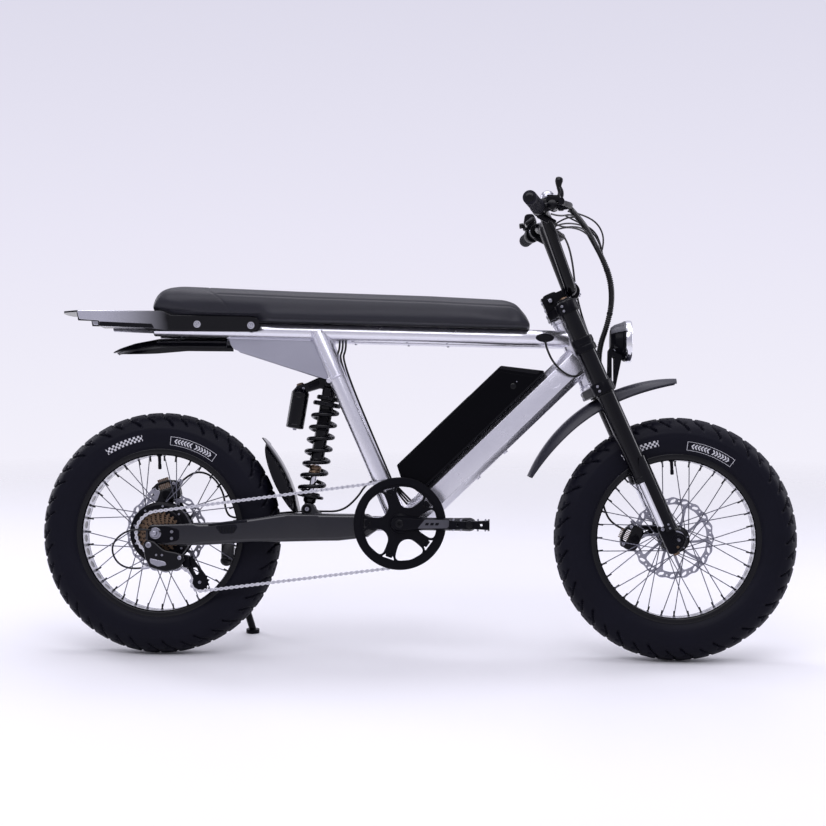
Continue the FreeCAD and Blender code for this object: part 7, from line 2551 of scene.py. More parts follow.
    def thumb_lever(self) -> Shell:
        """Upright thumb lever and the domed bell beside it, on the right.

        Returns:
            The lever and the bell, in the grip's own frame.
        """
        path = smooth_path([(34.0, 52.0, 14.0), (47.0, 52.0, 26.0), (50.0, 52.0, 40.0), (42.0, 52.0, 56.0),
                            (46.0, 52.0, 76.0)], 36)
        scale = np.interp(np.linspace(0, 1, 36), (0, 0.3, 0.66, 0.86, 0.96, 1),
                          (9.0, 8.0, 6.0, 9.6, 8.6, 4.0))
        lever = sweep(path, disc(1.0, 20) * (1.0, 0.8), Look.GLOSS, LEFT, scale=scale)
        bell = lathe(Axis((18.0, 54.0, 24.0), (-0.16, 0.0, 0.98)),
                     [(16.0, 0.0), (17.0, 2.0), (17.0, 6.0), (15.6, 11.0), (11.0, 17.0), (4.0, 20.0),
                      (1.0, 20.2)], Look.STEEL, 48, soften=0.8)
        base = rod((20.0, 54.0, 8.0), (18.0, 54.0, 25.0), 12.0, Look.SATIN, 1.5, 32)
        return joined([lever, bell, base])

    def switch_box(self) -> Shell:
        """Key switch and light switch over the left grip, each a rounded box with a button.

        Returns:
            Both switches.
        """
        parts = []
        for low, high, outline in (
                (222.0, 246.0, [(884.0, 1082.0), (916.0, 1082.0), (922.0, 1104.0), (912.0, 1126.0),
                                (890.0, 1124.0)]),
                (196.0, 220.0, [(886.0, 1078.0), (920.0, 1076.0), (924.0, 1096.0), (898.0, 1104.0)])):
            parts.append(plate([rounded(outline, 8.0, 4)], low, high, Look.SATIN, 3.0))
            middle = (low + high) / 2
            parts.append(rod((886.0, middle, 1094.0), (876.0, middle, 1092.0), 5.0, Look.GLOSS, 1.2, 24))
            parts.append(bolt((901.0, low, 1092.0), RIGHT, 3.0, 1.8))
        parts.append(rod((912.0, 220.0, 1070.0), (906.0, 246.0, 1070.0), 19.0, Look.SATIN, 2.0, 36))
        return joined(parts)

    def small_screen(self) -> Shell:
        """Small screen beside the stem, laid back over the bar.

        Returns:
            The screen.
        """
        outline = rounded([(-24.0, -14.0), (24.0, -14.0), (24.0, 14.0), (-24.0, 14.0)], 5.0, 4)
        case = plate([outline], -5.0, 5.0, Look.GLOSS, 1.6)
        glass = plate([outline * 0.82], -5.8, -4.8, Look.PANEL, 0.2)
        tilt = math.radians(self.screen_tilt)

        def seated(points: np.ndarray) -> np.ndarray:
            """Lay the screen back over the bar.

            Args:
                points: an (n, 3) array.

            Returns:
                The points where the screen sits.
            """
            x = points[:, 1] * math.cos(tilt) + points[:, 2] * math.sin(tilt)
            z = points[:, 2] * math.cos(tilt) - points[:, 1] * math.sin(tilt)
            return np.stack([902.0 + x, 150.0 + points[:, 0], 1092.0 + z], axis=1)

        return (case + glass).mapped(seated)

    def stem_details(self) -> Shell:
        """Stem's clamp screws, top cap and bronze spacer ring.

        Returns:
            The stem's fittings.
        """
        parts = []
        for side in (-1, 1):
            for step in (-14.0, 14.0):
                parts.append(self.steered_bolt((68.0, side * 22.0, 137.0 + step), AHEAD, 3.8, 3.0))
                parts.append(self.steered_bolt((-23.6, side * 14.0, 130.0 + step * 0.7), BACK, 3.4, 2.6))
        parts.append(self.steered_lathe(0.0, 0.0,
                                        [(21.0, 109.6), (22.6, 110.4), (22.6, 114.0), (21.0, 114.8)],
                                        Look.BRONZE))
        parts.append(self.steered_lathe(0.0, 0.0, [(17.0, 149.0), (17.0, 153.0), (14.0, 155.0), (4.0, 155.0)],
                                        Look.SATIN))
        for low, high in (((951.0, -34.0, 873.0), (951.0, 34.0, 873.0)),
                          ((963.0, -31.0, 832.0), (963.0, 31.0, 832.0))):
            parts.append(rod(low, high, 8.0, Look.SATIN, 1.5, 32))
            parts.append(bolt(low, RIGHT, 5.0, 3.0))
            middle = (np.array(low) + high) / 2
            parts.append(rod(middle, middle + (22.0, 0.0, 2.0), 13.0, Look.SATIN, 2.0, 28))
        for side in (-1, 1):
            y = side * 27.0
            parts.append(lathe(Axis((self.knee[0], y - side * 3.0, self.knee[2]), sideways(side)),
                               [(14.4, 0.0), (21.0, 0.0), (22.6, 1.5), (22.6, 6.0), (21.0, 7.4), (14.4, 7.4)],
                               Look.SATIN, 56, soften=0.8))
        return joined(parts)


# Frame


def distance_to_line(points: np.ndarray, start: np.ndarray, end: np.ndarray) -> np.ndarray:
    """Distance of points from the line through two points.

    Args:
        points: an array of points.
        start: a point on the line.
        end: another point on it.

    Returns:
        The distance of each point.
    """
    along = unit(end - start)
    offset = points - start
    return np.linalg.norm(offset - (offset @ along)[..., None] * along, axis=-1)


def meeting(outline: np.ndarray, direction: np.ndarray, start: np.ndarray, end: np.ndarray,
            radius: float) -> np.ndarray:
    """Where the lines of a tube's outline first enter a round tube.

    Args:
        outline: points round the first tube, outside the second.
        direction: the first tube's direction.
        start: a point on the second tube's axis.
        end: another point on it.
        radius: the second tube's radius.

    Returns:
        A point for each line.
    """
    steps = np.linspace(0.0, 220.0, 1200)
    lines = outline[:, None] + steps[None, :, None] * unit(direction)
    inside = distance_to_line(lines, start, end) < radius
    first = np.where(inside.any(axis=1), inside.argmax(axis=1), 0)
    return lines[np.arange(len(outline)), first]


def weld(path: np.ndarray, radius: float, closed: bool = False) -> Shell:
    """Weld bead of overlapping scales along a path.

    The bead's radius falls and jumps back once every scale, as a saw tooth of the run does.

    Args:
        path: an (n, 3) array of points.
        radius: radius of the bead where a scale ends.
        closed: whether the bead ends where it starts.

    Returns:
        The bead.
    """
    run = run_along(path)
    count = max(12, int(run[-1] / 0.9))
    even = np.linspace(0.0, run[-1], count, endpoint=not closed)
    smooth = read_at(path, run, even)
    size = radius * (1.0 + 0.16 * (1.0 - (even / 3.4) % 1.0))
    return sweep(smooth, disc(1.0, 10), Look.WELD, (0.31, 0.9, 0.29), closed, size)


def ring_about(start: np.ndarray, direction: np.ndarray, radius: float, count: int = 72) -> np.ndarray:
    """Points of a circle about a line.

    Args:
        start: middle of the circle.
        direction: direction of the line.
        radius: radius of the circle.
        count: how many points it has.

    Returns:
        A (count, 3) array.
    """
    first, second, _ = Axis(tuple(start), tuple(direction)).basis()
    angle = np.linspace(0.0, 2 * math.pi, count, endpoint=False)
    return start + radius * (np.cos(angle)[:, None] * first + np.sin(angle)[:, None] * second)


def apply_modifiers(piece: bpy.types.Object) -> None:
    """Turn what the modifiers make into the piece's own mesh.

    Args:
        piece: the object.
    """
    bpy.context.view_layer.update()
    graph = bpy.context.evaluated_depsgraph_get()
    made = bpy.data.meshes.new_from_object(piece.evaluated_get(graph))
    piece.modifiers.clear()
    work = bmesh.new()
    work.from_mesh(made)
    work.to_mesh(piece.data)
    work.free()
    bpy.data.meshes.remove(made)


LOOM = [(996, -128, 1084), (1030, -80, 1055), (1056, -45, 1015), (1080, -25, 975), (1100, -6, 925),
        (1103, 0, 870), (1091, 0, 815), (1074, 0, 766), (1069.8, 0, 712), (1085.8, 0, 674.6)]
RIGHT_HOSE = [(947, -204, 1073.5), (955, -165, 1082), (980, -146, 1090), (995.6, -128.6, 1084.5)]
FRONT_HOSE = [(947, 204, 1073.5), (962, 165, 1085), (1004, 104, 1035), (1022, 82, 866), (1085, 80, 719),
              (1116, 76, 650), (1122, 60, 582), (1100, 62, 470), (1084, 66, 395), (1098, 68, 345),
              (1124, 68, 322), (1146, 66, 314)]
REAR_HOSE = [(518, 39.9, 429.6), (500, 40, 421.7), (478, 44, 386), (440, 45, 352.4), (384, 46, 352),
             (330, 72, 351.5), (230, 78, 340), (160, 78, 330), (144, 76, 352), (140, 72, 396), (112, 70, 438),
             (72, 68, 450), (38, 66, 428), (24, 66, 412)]
BAR_LEADS = [
    [(948, -186, 1064), (968, -158, 1062), (1000, -122, 1074), (1034, -84, 1056), (1052, -58, 1026)],
    [(962, -66, 1058), (988, -76, 1074), (1020, -86, 1070), (1044, -66, 1036), (1060, -48, 1004)],
    [(944, 190, 1070), (960, 120, 1078), (996, 20, 1074), (1044, -40, 1054), (1074, -34, 1010),
     (1078, -26, 984)],
    [(948, 150, 1064), (966, 90, 1066), (1000, 10, 1062), (1042, -40, 1040), (1062, -42, 1006)],
    [(950, -170, 1048), (972, -150, 1036), (1010, -110, 1046), (1040, -70, 1040), (1064, -40, 1000)],
    [(990, -110, 1082), (1030, -70, 1080), (1070, -36, 1060), (1084, -20, 1018), (1072, -26, 986)],
    [(985, -112, 1070), (1020, -66, 1060), (1056, -34, 1048), (1074, -20, 1016), (1080, -24, 976)],
]


@dataclass(frozen=True)
class Frame(Part):
    """Welded frame with its gussets, fittings and battery."""

    rail_start: np.ndarray = spot(-18.0, -46.0, 798.0)
    rail_bend: np.ndarray = spot(880.0, -46.0, 782.0)
    strut_top: np.ndarray = spot(384.0, -48.0, 790.8)
    strut_foot: np.ndarray = spot(585.0, -38.0, 334.0)
    tube_low: np.ndarray = spot(*TUBE_LOW)

    def build(self) -> None:
        """Frame tubes, welds, gussets, fittings and battery."""
        shop = self.shop
        for node, bevel in (("head_tube", 1.2), ("top_rails", 0.6), ("down_tube", 1.6), ("crank_shell", 1.0)):
            shop.softened(node, Look.ALUMINIUM, bevel)
        shop.softened("seat_struts", Look.ALUMINIUM, 0.8, regions=((Look.GLOSS, self.black_cross),))
        shop.place("gusset_plates", self.gussets(), "tail_gussets")
        shop.place("battery_case", self.battery(), "battery")
        shop.place("frame_weld_beads", self.frame_welds(), "down_tube", replaces=False)
        shop.place("frame_fittings", self.frame_fittings(), "top_rails", replaces=False)
        shop.place("port_cable", self.port_cable(), "top_rails", replaces=False)

    def black_cross(self, centres: np.ndarray) -> np.ndarray:
        """Faces of the shock's upper mount, between and behind the struts.

        Args:
            centres: middles of the faces.

        Returns:
            Whether each face is painted black.
        """
        flat, inward = np.array((1.0, 0.0, 1.0)), np.array((0.0, 46.0, 0.0))
        apart = distance_to_line(centres * flat - inward, self.strut_top * flat - inward,
                                 self.strut_foot * flat - inward)
        between = (np.abs(centres[:, 1]) < 24.0) | (apart > 23.0)
        return between & (centres[:, 2] > 640.0) & (centres[:, 2] < 716.0)

    def frame_welds(self) -> Shell:
        """Weld beads where the tubes of the frame meet.

        Returns:
            The beads.
        """
        parts = []
        up = unit(self.strut_top - self.strut_foot)
        ring = ring_about(self.strut_foot + up * 380.0, up, 21.9)
        joint = meeting(ring, up, self.rail_start, self.rail_bend, 20.0)
        parts.append(weld(np.vstack([joint, joint[:1]]), 2.6, True).both())
        crank = np.array((*DRIVE.crank, 0.0))[[0, 2, 1]]
        ring = ring_about(self.strut_foot + up * 90.0, -up, 21.9)
        joint = meeting(ring, -up, crank, crank + LEFT, 24.0)
        parts.append(weld(np.vstack([joint, joint[:1]]), 2.4, True).both())

        run = self.tube_run
        across, upward = np.array(LEFT), np.array((-unit(run)[2], 0.0, unit(run)[0]))
        corners = rounded([(-20, -37), (20, -37), (35, -22), (35, 22), (20, 37), (-20, 37), (-35, 22),
                           (-35, -22)], 4.0, 3)
        middle = self.tube_low + unit(run) * 330.0
        outline = middle + corners[:, :1] * across + corners[:, 1:] * upward
        joint = meeting(outline, run, self.bike.head, self.bike.head + self.bike.up, 22.2)
        front = np.abs(joint[:, 1]) < 21.5
        parts.append(weld(joint[front & (corners[:, 1] > 0)], 2.8))
        parts.append(weld(joint[front & (corners[:, 1] < 0)], 2.8))
        for side in (-1, 1):
            ends = np.array([(160.0, side * 48.4, 775.0), (300.0, side * 48.4, 772.4),
                             (372.0, side * 48.4, 771.0)])
            parts.append(weld(ends, 1.7))
        for place in (-88.0, 76.0):
            ring = ring_about(self.bike.steered((0.0, 0.0, place))[0], self.bike.up, 22.6)
            parts.append(weld(ring, 1.2, True))
        return joined(parts)

    def frame_fittings(self) -> Shell:
        """Cable port, rail plugs, screws under the rails and an oval ring on each side of the down tube.

        Returns:
            The fittings.
        """
        parts = []
        oval = disc(1.0, 40) * (23.0, 10.6)
        port = plate([oval], -3.0, 3.0, Look.RUBBER, 1.6) + plate([oval * 0.72], -4.0, -2.6, Look.GLOSS, 0.5)
        turn = math.radians(12.0)

        def seated(points: np.ndarray) -> np.ndarray:
            """Lay the port on the rail's bent front part.

            Args:
                points: an (n, 3) array.

            Returns:
                The points where the port sits.
            """
            x = points[:, 0] * math.cos(turn) - points[:, 1] * math.sin(turn)
            y = points[:, 0] * math.sin(turn) + points[:, 1] * math.cos(turn)
            return np.stack([938.0 + x, -52.4 + y, 781.0 + points[:, 2]], axis=1)

        parts.append(port.mapped(seated))
        for side in (-1, 1):
            end = np.array((-18.0, side * 46.0, 798.0))
            axis = Axis(tuple(end), (-1.0, 0.0, 0.018), UP)
            parts.append(lathe(axis, [(19.0, -2.0), (19.0, 1.2), (16.0, 2.6), (4.0, 2.6)], Look.RUBBER, 40))
            for x in (470.0, 602.0, 700.0):
                z = rail_line(x) - 19.6
                parts.append(bolt((x, side * 46.0, z), DOWN, 3.4, 2.4))
        run = self.tube_run
        for side in (-1, 1):
            recess = oval * (0.8, 1.3)
            place = self.tube_low + run * 0.86
            angle = math.degrees(math.atan2(run[2], run[0]))
            inset = plate([recess, recess * 0.82], -0.5, 0.5, Look.ALUMINIUM, 0.3)
            parts.append(inset.turned((0.0, 0.0), angle).moved(place[0], side * 35.2, place[2]))
        return joined(parts)

    def gussets(self) -> Shell:
        """Gusset plates from the rear fender to the struts, under the rails.

        Returns:
            Both plates.
        """
        outline = rounded([(160.0, 793.0), (168.0, 760.0), (178.0, 747.0), (408.0, 675.0), (426.0, 690.0),
                           (386.0, 786.0), (372.0, 790.0)], 4.0, 4)
        return plate([outline], 44.0, 48.0, Look.PLATE, 0.8).both()

    def battery(self) -> Shell:
        """Battery: a long case with a slanted nose, raised side panels, a lid line and a lock.

        It is drawn in the down tube's frame, as places along it and out from its middle.

        Returns:
            The battery.
        """
        run = unit(self.tube_run)
        angle = math.degrees(math.atan2(run[2], run[0]))
        case = rounded([(62.0, 36.0), (486.0, 36.0), (488.0, 40.0), (421.0, 121.5), (70.0, 121.5),
                        (56.0, 92.0)], 4.0, 4)
        side = rounded([(70.0, 43.0), (462.0, 43.0), (408.0, 114.0), (80.0, 114.0), (66.0, 90.0)], 5.0, 3)
        nose = rounded([(478.0, 44.0), (480.0, 47.0), (422.0, 117.0), (414.0, 117.0), (470.0, 45.0)], 1.4, 3)
        foot = rounded([(64.0, 34.4), (484.0, 34.4), (484.0, 38.0), (64.0, 38.0)], 1.0, 2)
        parts = [plate([case], -46.0, 46.0, Look.BATTERY, 2.4), plate([foot], -47.0, 47.0, Look.SATIN, 0.8)]
        parts += [plate([side], sign * 46.2 - 0.8, sign * 46.2 + 0.8, Look.BATTERY, 0.7) for sign in (-1, 1)]
        parts += [plate([nose], sign * 46.1 - 0.5, sign * 46.1 + 0.5, Look.GLOSS, 0.4) for sign in (-1, 1)]
        grip = rounded([(180.0, 120.6), (320.0, 120.6), (314.0, 123.4), (186.0, 123.4)], 0.8, 2)
        parts.append(plate([grip], -18.0, 18.0, Look.GLOSS, 0.8))
        lock = lathe(Axis((408.0, -46.6, 64.0), RIGHT),
                     [(7.0, 0.0), (7.0, 1.0), (5.6, 1.6), (2.0, 1.6)], Look.GLOSS, 32)
        keyhole = bolt((422.0, -46.8, 66.0), RIGHT, 1.6, 0.8)
        whole = joined([*parts, lock, keyhole]).turned((0.0, 0.0), angle)
        return whole.moved(self.tube_low[0], 0.0, self.tube_low[2])

    def port_cable(self) -> Shell:
        """Cable that hangs from the rail's port and turns in behind the head tube."""
        return hose([(940, -50, 783), (939, -56, 768), (946, -52, 747), (958, -48, 723), (981, -45, 699),
                     (1005, -42, 687), (1024, -38, 691), (1032, -26, 700)], 2.6)


@dataclass(frozen=True)
class Seat(Part):
    """Bench seat, puffed by a short cloth simulation."""

    sizes: SeatSizes = SEAT

    def seat_top(self, x: np.ndarray) -> np.ndarray:
        """Height of the seat's top at forward places."""
        return np.interp(x, (-24, -21, -15, -7, 3, 18, 50, 340, 658, 852, 866, 876, 890, 905),
                         (845, 860, 875, 886, 893, 897, 898, 887, 878, 869, 865, 856, 833, 806))

    def seat_bottom(self, x: np.ndarray) -> np.ndarray:
        """Height of the seat's underside at forward places."""
        return rail_line(x, 818.6) + np.interp(x, (-24, 50), (17, 0))

    def seat_shape(self, shrink: float) -> Shell:
        """Bench seat before it is puffed: rounded sections, each smaller by a margin.

        A section is a superellipse: its corners are rounder at a lower power.

        Args:
            shrink: the margin, in millimetres.

        Returns:
            The seat's shell.
        """
        x = np.concatenate([np.linspace(-23.0, 30.0, 16), np.linspace(38.0, 846.0, 90),
                            np.linspace(852, 903, 16)])
        top, low = self.seat_top(x) - shrink, self.seat_bottom(x) + 0.6
        wide = np.interp(x, (-24, -18, -6, 18, 60, 340, 840, 880, 905),
                         (70, 84, 95, 101, 103, 103, 100, 97, 90)) - shrink
        turn = np.linspace(0.0, 2 * math.pi, 72, endpoint=False)[None, :]
        cos, sin = np.cos(turn), np.sin(turn)
        across = np.sign(cos) * np.abs(cos) ** (2 / self.sizes.side_power)
        tall = np.sign(sin) * np.abs(sin) ** (2 / np.where(sin > 0, self.sizes.top_power,
                                                           self.sizes.foot_power))
        height = ((top + low) / 2)[:, None] + tall * ((top - low) / 2)[:, None]
        height = height + 3.0 * (1.0 - across ** 2) * (tall > 0)
        tuck = 25.0 * ramp(x, 270.0, -30.0)[:, None] * np.clip(-tall - 0.35, 0.0, 0.3) / 0.3
        width = across * (wide[:, None] * (1.0 - 0.045 * tall) - tuck)
        points = np.stack([np.broadcast_to(x[:, None], width.shape), width, height], axis=2)
        return grid(points, Look.LEATHER, close_columns=True, caps=True)

    def puffed(self, piece: bpy.types.Object) -> None:
        """Puff the seat with cloth under pressure, its base held, and keep how far it may move.

        Args:
            piece: the seat, made of even cells.
        """
        mesh = piece.data
        before = vertex_array(mesh)
        own = self.bike.own(before)
        held = np.flatnonzero(own[:, 2] < self.seat_bottom(own[:, 0]) + 10.0)
        group = piece.vertex_groups.new(name="held")
        group.add(held.tolist(), 1.0, "REPLACE")
        cloth = piece.modifiers.new("cloth", "CLOTH")
        settings = cloth.settings
        settings.quality = 6
        settings.mass = 0.3
        settings.tension_stiffness = settings.compression_stiffness = 30.0
        settings.shear_stiffness = 12.0
        settings.bending_stiffness = 3.0
        settings.use_pressure = True
        settings.uniform_pressure_force = self.sizes.pressure
        settings.effector_weights.gravity = 0.0
        settings.vertex_group_mass = "held"
        scene = bpy.context.scene
        for number in range(1, self.sizes.frames + 1):
            scene.frame_set(number)
        apply_modifiers(piece)
        after = vertex_array(mesh)
        moved = after - before
        length = np.linalg.norm(moved, axis=1, keepdims=True) + 1e-9
        after = before + moved * np.minimum(1.0, self.sizes.puff / 1000 / length)
        mesh.vertices.foreach_set("co", after.ravel())
        scene.frame_set(1)

    def seam_depth(self, own: np.ndarray) -> np.ndarray:
        """How deep the seat's seams press in, from 0 to 1.

        On the sides a seam follows the top edge, then turns down behind the rider's place in a curve.
        The same curve crosses the top. A welt runs along the base.

        Args:
            own: places of the vertices on the upright bike.

        Returns:
            The depth at each vertex.
        """
        x, y, z = own.T
        top = self.seat_top(x)
        side = np.abs(y) > 84.0
        curve = np.interp(z, (816, 832, 850, 866, 878, 886, 896), (180, 174, 164, 150, 134, 122, 116))
        behind = np.abs(x - curve)
        ahead = np.abs(z - (top - 15.0)) + 100.0 * (x < 138.0) + 100.0 * (x > 872.0)
        base = np.abs(z - (self.seat_bottom(x) + 11.0)) + 100.0 * (x > 176.0)
        near = np.where(side, np.minimum(np.minimum(behind, ahead), base), np.abs(x - 117.0))
        return np.exp(-(near / self.sizes.seam_width) ** 2) * (z > self.seat_bottom(x) + 5.0)

    def build(self) -> None:
        """Bench seat: puffed by a short cloth simulation, smoothed and given its seams."""
        piece = self.shop.place("bench_seat", self.seat_shape(self.sizes.shrink), "seat", sharp=70.0)
        remesh = piece.modifiers.new("remesh", "REMESH")
        remesh.mode = "VOXEL"
        remesh.voxel_size = self.sizes.voxel / 1000
        apply_modifiers(piece)
        self.puffed(piece)
        smooth = piece.modifiers.new("smooth", "SMOOTH")
        smooth.factor = 0.5
        smooth.iterations = 6
        finer = piece.modifiers.new("finer", "SUBSURF")
        finer.levels = finer.render_levels = 1
        apply_modifiers(piece)
        mesh = piece.data
        places = vertex_array(mesh)
        own = self.shop.bike.own(places)
        normal = np.zeros(len(mesh.vertices) * 3)
        mesh.vertices.foreach_get("normal", normal)
        press = self.seam_depth(own)[:, None] * self.sizes.seam / 1000
        mesh.vertices.foreach_set("co", (places - normal.reshape(-1, 3) * press).ravel())
        mesh.polygons.foreach_set("use_smooth", np.ones(len(mesh.polygons), bool))
        mesh.materials.clear()
        mesh.materials.append(self.shop.palette.material(Look.LEATHER))
        mesh.update()


@dataclass(frozen=True)
class Tail(Part):
    """Tail rack with its flanges, and the rear fender."""

    flange: Flat = (77.6, 82.6)

    def build(self) -> None:
        """Rack, its flanges and screws, and the rear fender."""
        shop = self.shop
        shop.softened("tail_rack", Look.GLOSS, bevel=1.4)
        shop.place("rack_flanges", self.rack_trim(), "tail_rack", replaces=False)
        shop.place("rear_fender_blade", self.rear_fender(), "rear_fender")

    def rack_trim(self) -> Shell:
        """Rack's side flanges with their screws and washers, and screws on its plate.

        Returns:
            The trim of both sides.
        """
        outline = rounded([(-206.0, 838.0), (5.0, 838.0), (26.0, 827.5), (222.0, 826.0), (238.0, 822.0),
                           (244.0, 809.0), (240.0, 796.0), (228.0, 790.5), (12.0, 790.5), (-20.0, 795.0),
                           (-148.0, 799.0), (-150.0, 813.0), (-200.0, 816.0)], 4.0, 3)
        lower = rounded([(-150.0, 811.0), (-20.0, 806.0), (-14.0, 795.6), (-148.0, 799.4)], 3.0, 3)
        # the side flanges carry the painted reflection towards the tail
        parts = [plate([outline], *self.flange, Look.FLANGE, 1.2).both(),
                 plate([lower], 82.0, 83.4, Look.GLOSS, 0.6).both()]
        for side in (-1, 1):
            for x, z in ((91.0, 805.5), (223.0, 803.5)):
                place = (x, side * self.flange[1], z)
                parts.append(lathe(Axis(place, sideways(side)), [(8.6, -0.5), (8.6, 1.2), (4.0, 1.2)],
                                   Look.CHROME, 36))
                parts.append(bolt((place[0], place[1] + side * 1.2, place[2]), sideways(side), 6.0, 3.4,
                                  Look.CHROME))
            for x in (-140.0, -40.0):
                parts.append(bolt((x, side * 30.0, 838.0), UP, 4.4, 2.6))
        return joined(parts)

    def rear_fender(self) -> Shell:
        """Rear fender: an arched blade that narrows to a drooping tip.

        Rows run backwards. Across a row the height falls with the square of the place, and at the
        edge it turns down to the skirt.

        Returns:
            The fender.
        """
        x = np.linspace(161.0, -123.0, 60)[:, None]
        top = np.interp(x, (-123, -110, -70, -11, 60, 162), (743, 750, 763, 774.5, 775.5, 775.0))
        low = np.interp(x, (-123, -75, -31, 44, 162), (739, 741, 743, 750, 750))
        across = np.linspace(-1.0, 1.0, 29)[None, :]
        half = np.interp(x, (-123, -100, -60, 0, 162), (34, 48, 58, 61.5, 62))
        fall = (top - low - 3.0).clip(2.0)
        height = top - 4.0 * across ** 2 - (fall - 4.0).clip(0.0) * np.abs(across) ** 7
        ridge = 1.6 * np.exp(-((np.abs(across) - 0.5) / 0.07) ** 2)
        skin = np.stack(np.broadcast_arrays(x, half * across, height - ridge), axis=2)
        under = np.stack(np.broadcast_arrays(x, half * across * 0.965, height - ridge - 3.0), axis=2)
        return grid(np.concatenate([skin, under[:, ::-1]], axis=1), Look.GLOSS, close_columns=True, caps=True)


@dataclass(frozen=True)
class Brakes(Part):
    """Both brake calipers with their mounts."""

    fork: ForkSizes = FORK
    front: Flat = (1157.0, 297.0)
    rear: Flat = (-1.0, 398.0)
    front_turn: float = 66.0
    rear_turn: float = 19.0
    front_scale: float = 1.2
    rear_scale: float = 1.32

    def build(self) -> None:
        """Front and rear caliper."""
        self.shop.place("front_brake_caliper", self.front_caliper(), "front_caliper")
        self.shop.place("rear_brake_caliper", self.rear_caliper(), "rear_caliper")

    def caliper(self, centre: Flat, degrees: float, size: float) -> Shell:
        """Brake caliper: two halves with a bridge, bronze cooling fins, pistons, screws and a banjo.

        It is made with the rotor's edge along X and the wheel's axle below, then scaled and turned.

        Args:
            centre: place (X, Z) of its middle.
            degrees: how far it is turned.
            size: its scale in the side view.

        Returns:
            The caliper.
        """
        outline = rounded([(-25.0, -17.0), (-16.0, -20.0), (16.0, -20.0), (25.0, -17.0), (27.0, 2.0),
                           (21.0, 15.0), (10.0, 20.0), (-12.0, 20.0), (-23.0, 14.0), (-27.0, 0.0)], 5.0, 4)
        window = rounded([(-13.0, 5.0), (13.0, 5.0), (11.0, 15.0), (-11.0, 15.0)], 3.0, 3)
        parts = [plate([outline, window], 57.6, 71.0, Look.GLOSS, 3.0),
                 plate([outline, window], 40.0, 52.4, Look.GLOSS, 3.0)]
        parts += [rod((side * 19.0, 41.0, 9.0), (side * 19.0, 70.0, 9.0), 6.6, Look.GLOSS, 1.0)
                  for side in (-1, 1)]
        for place in np.linspace(-9.0, 9.0, 6):
            fin = rounded([(place - 1.1, 3.0), (place + 1.1, 3.0), (place + 1.1, 25.0),
                           (place - 1.1, 25.0)], 0.5, 2)
            parts.append(plate([fin], 47.0, 63.0, Look.BRONZE, 0.3))
        for y, side in ((71.0, 1.0), (40.0, -1.0)):
            parts.append(lathe(Axis((0.0, y, -7.0), (0.0, side, 0.0)),
                               [(9.4, -1.0), (9.4, 0.8), (8.0, 1.6), (5.0, 1.6), (4.4, 0.6)], Look.SATIN, 36))
            parts += [bolt((x, y, 9.0), (0.0, side, 0.0), 3.4, 2.2) for x in (-19.0, 19.0)]
        parts.append(rod((25.0, 64.0, 4.0), (33.0, 65.0, 12.0), 4.4, Look.STEEL, 0.8, 16))
        body = joined(parts).mapped(lambda points: points * (size, 1.0, size)).turned((0.0, 0.0), degrees)
        return body.moved(centre[0], 0.0, centre[1])

    def front_caliper(self) -> Shell:
        """Front caliper on an arm from the left-hand lug.

        Returns:
            The caliper and its arm.
        """
        body = self.caliper(self.front, self.front_turn, self.front_scale)
        low = self.bike.steered((self.fork.lead, self.fork.spread - 8.0, -480.0))[0]
        arms = [rod((1162.0, 68.0, 318.0), low, 6.0, Look.SATIN, 1.0),
                rod((1160.0, 68.0, 286.0), low, 6.0, Look.SATIN, 1.0)]
        screws = [bolt((1162.0, 73.0, z), LEFT, 4.6, 3.0) for z in (318.0, 286.0)]
        return joined([body, *arms, *screws])

    def rear_caliper(self) -> Shell:
        """Rear caliper on a plate from the swingarm, with a steel tab behind it.

        Returns:
            The caliper and its plate.
        """
        body = self.caliper(self.rear, self.rear_turn, self.rear_scale)
        outline = rounded([(-16.0, 382.0), (24.0, 390.0), (62.0, 320.0), (30.0, 319.0), (6.0, 350.0)], 6.0, 4)
        hole = rounded([(12.0, 372.0), (24.0, 368.0), (42.0, 334.0), (30.0, 334.0)], 4.0, 3)
        bracket = plate([outline, hole], 71.0, 76.0, Look.SATIN, 1.0)
        tab = rounded([(-50.0, 386.0), (-34.0, 404.0), (-14.0, 398.0), (-22.0, 372.0)], 5.0, 4)
        steel = plate([tab, circle((-34.0, 388.0), 4.0, 20)], 38.0, 42.0, Look.STEEL, 0.6)
        foot = plate([rounded([(30.0, 328.0), (58.0, 328.0), (62.0, 320.0), (30.0, 319.0)], 2.0, 3)],
                     71.0, 95.0, Look.SATIN, 1.0)
        screws = [bolt((x, 76.0, z), LEFT, 4.6, 3.0)
                  for x, z in ((-4.0, 386.0), (18.0, 386.0), (48.0, 326.0))]
        return joined([body, bracket, steel, foot, *screws])


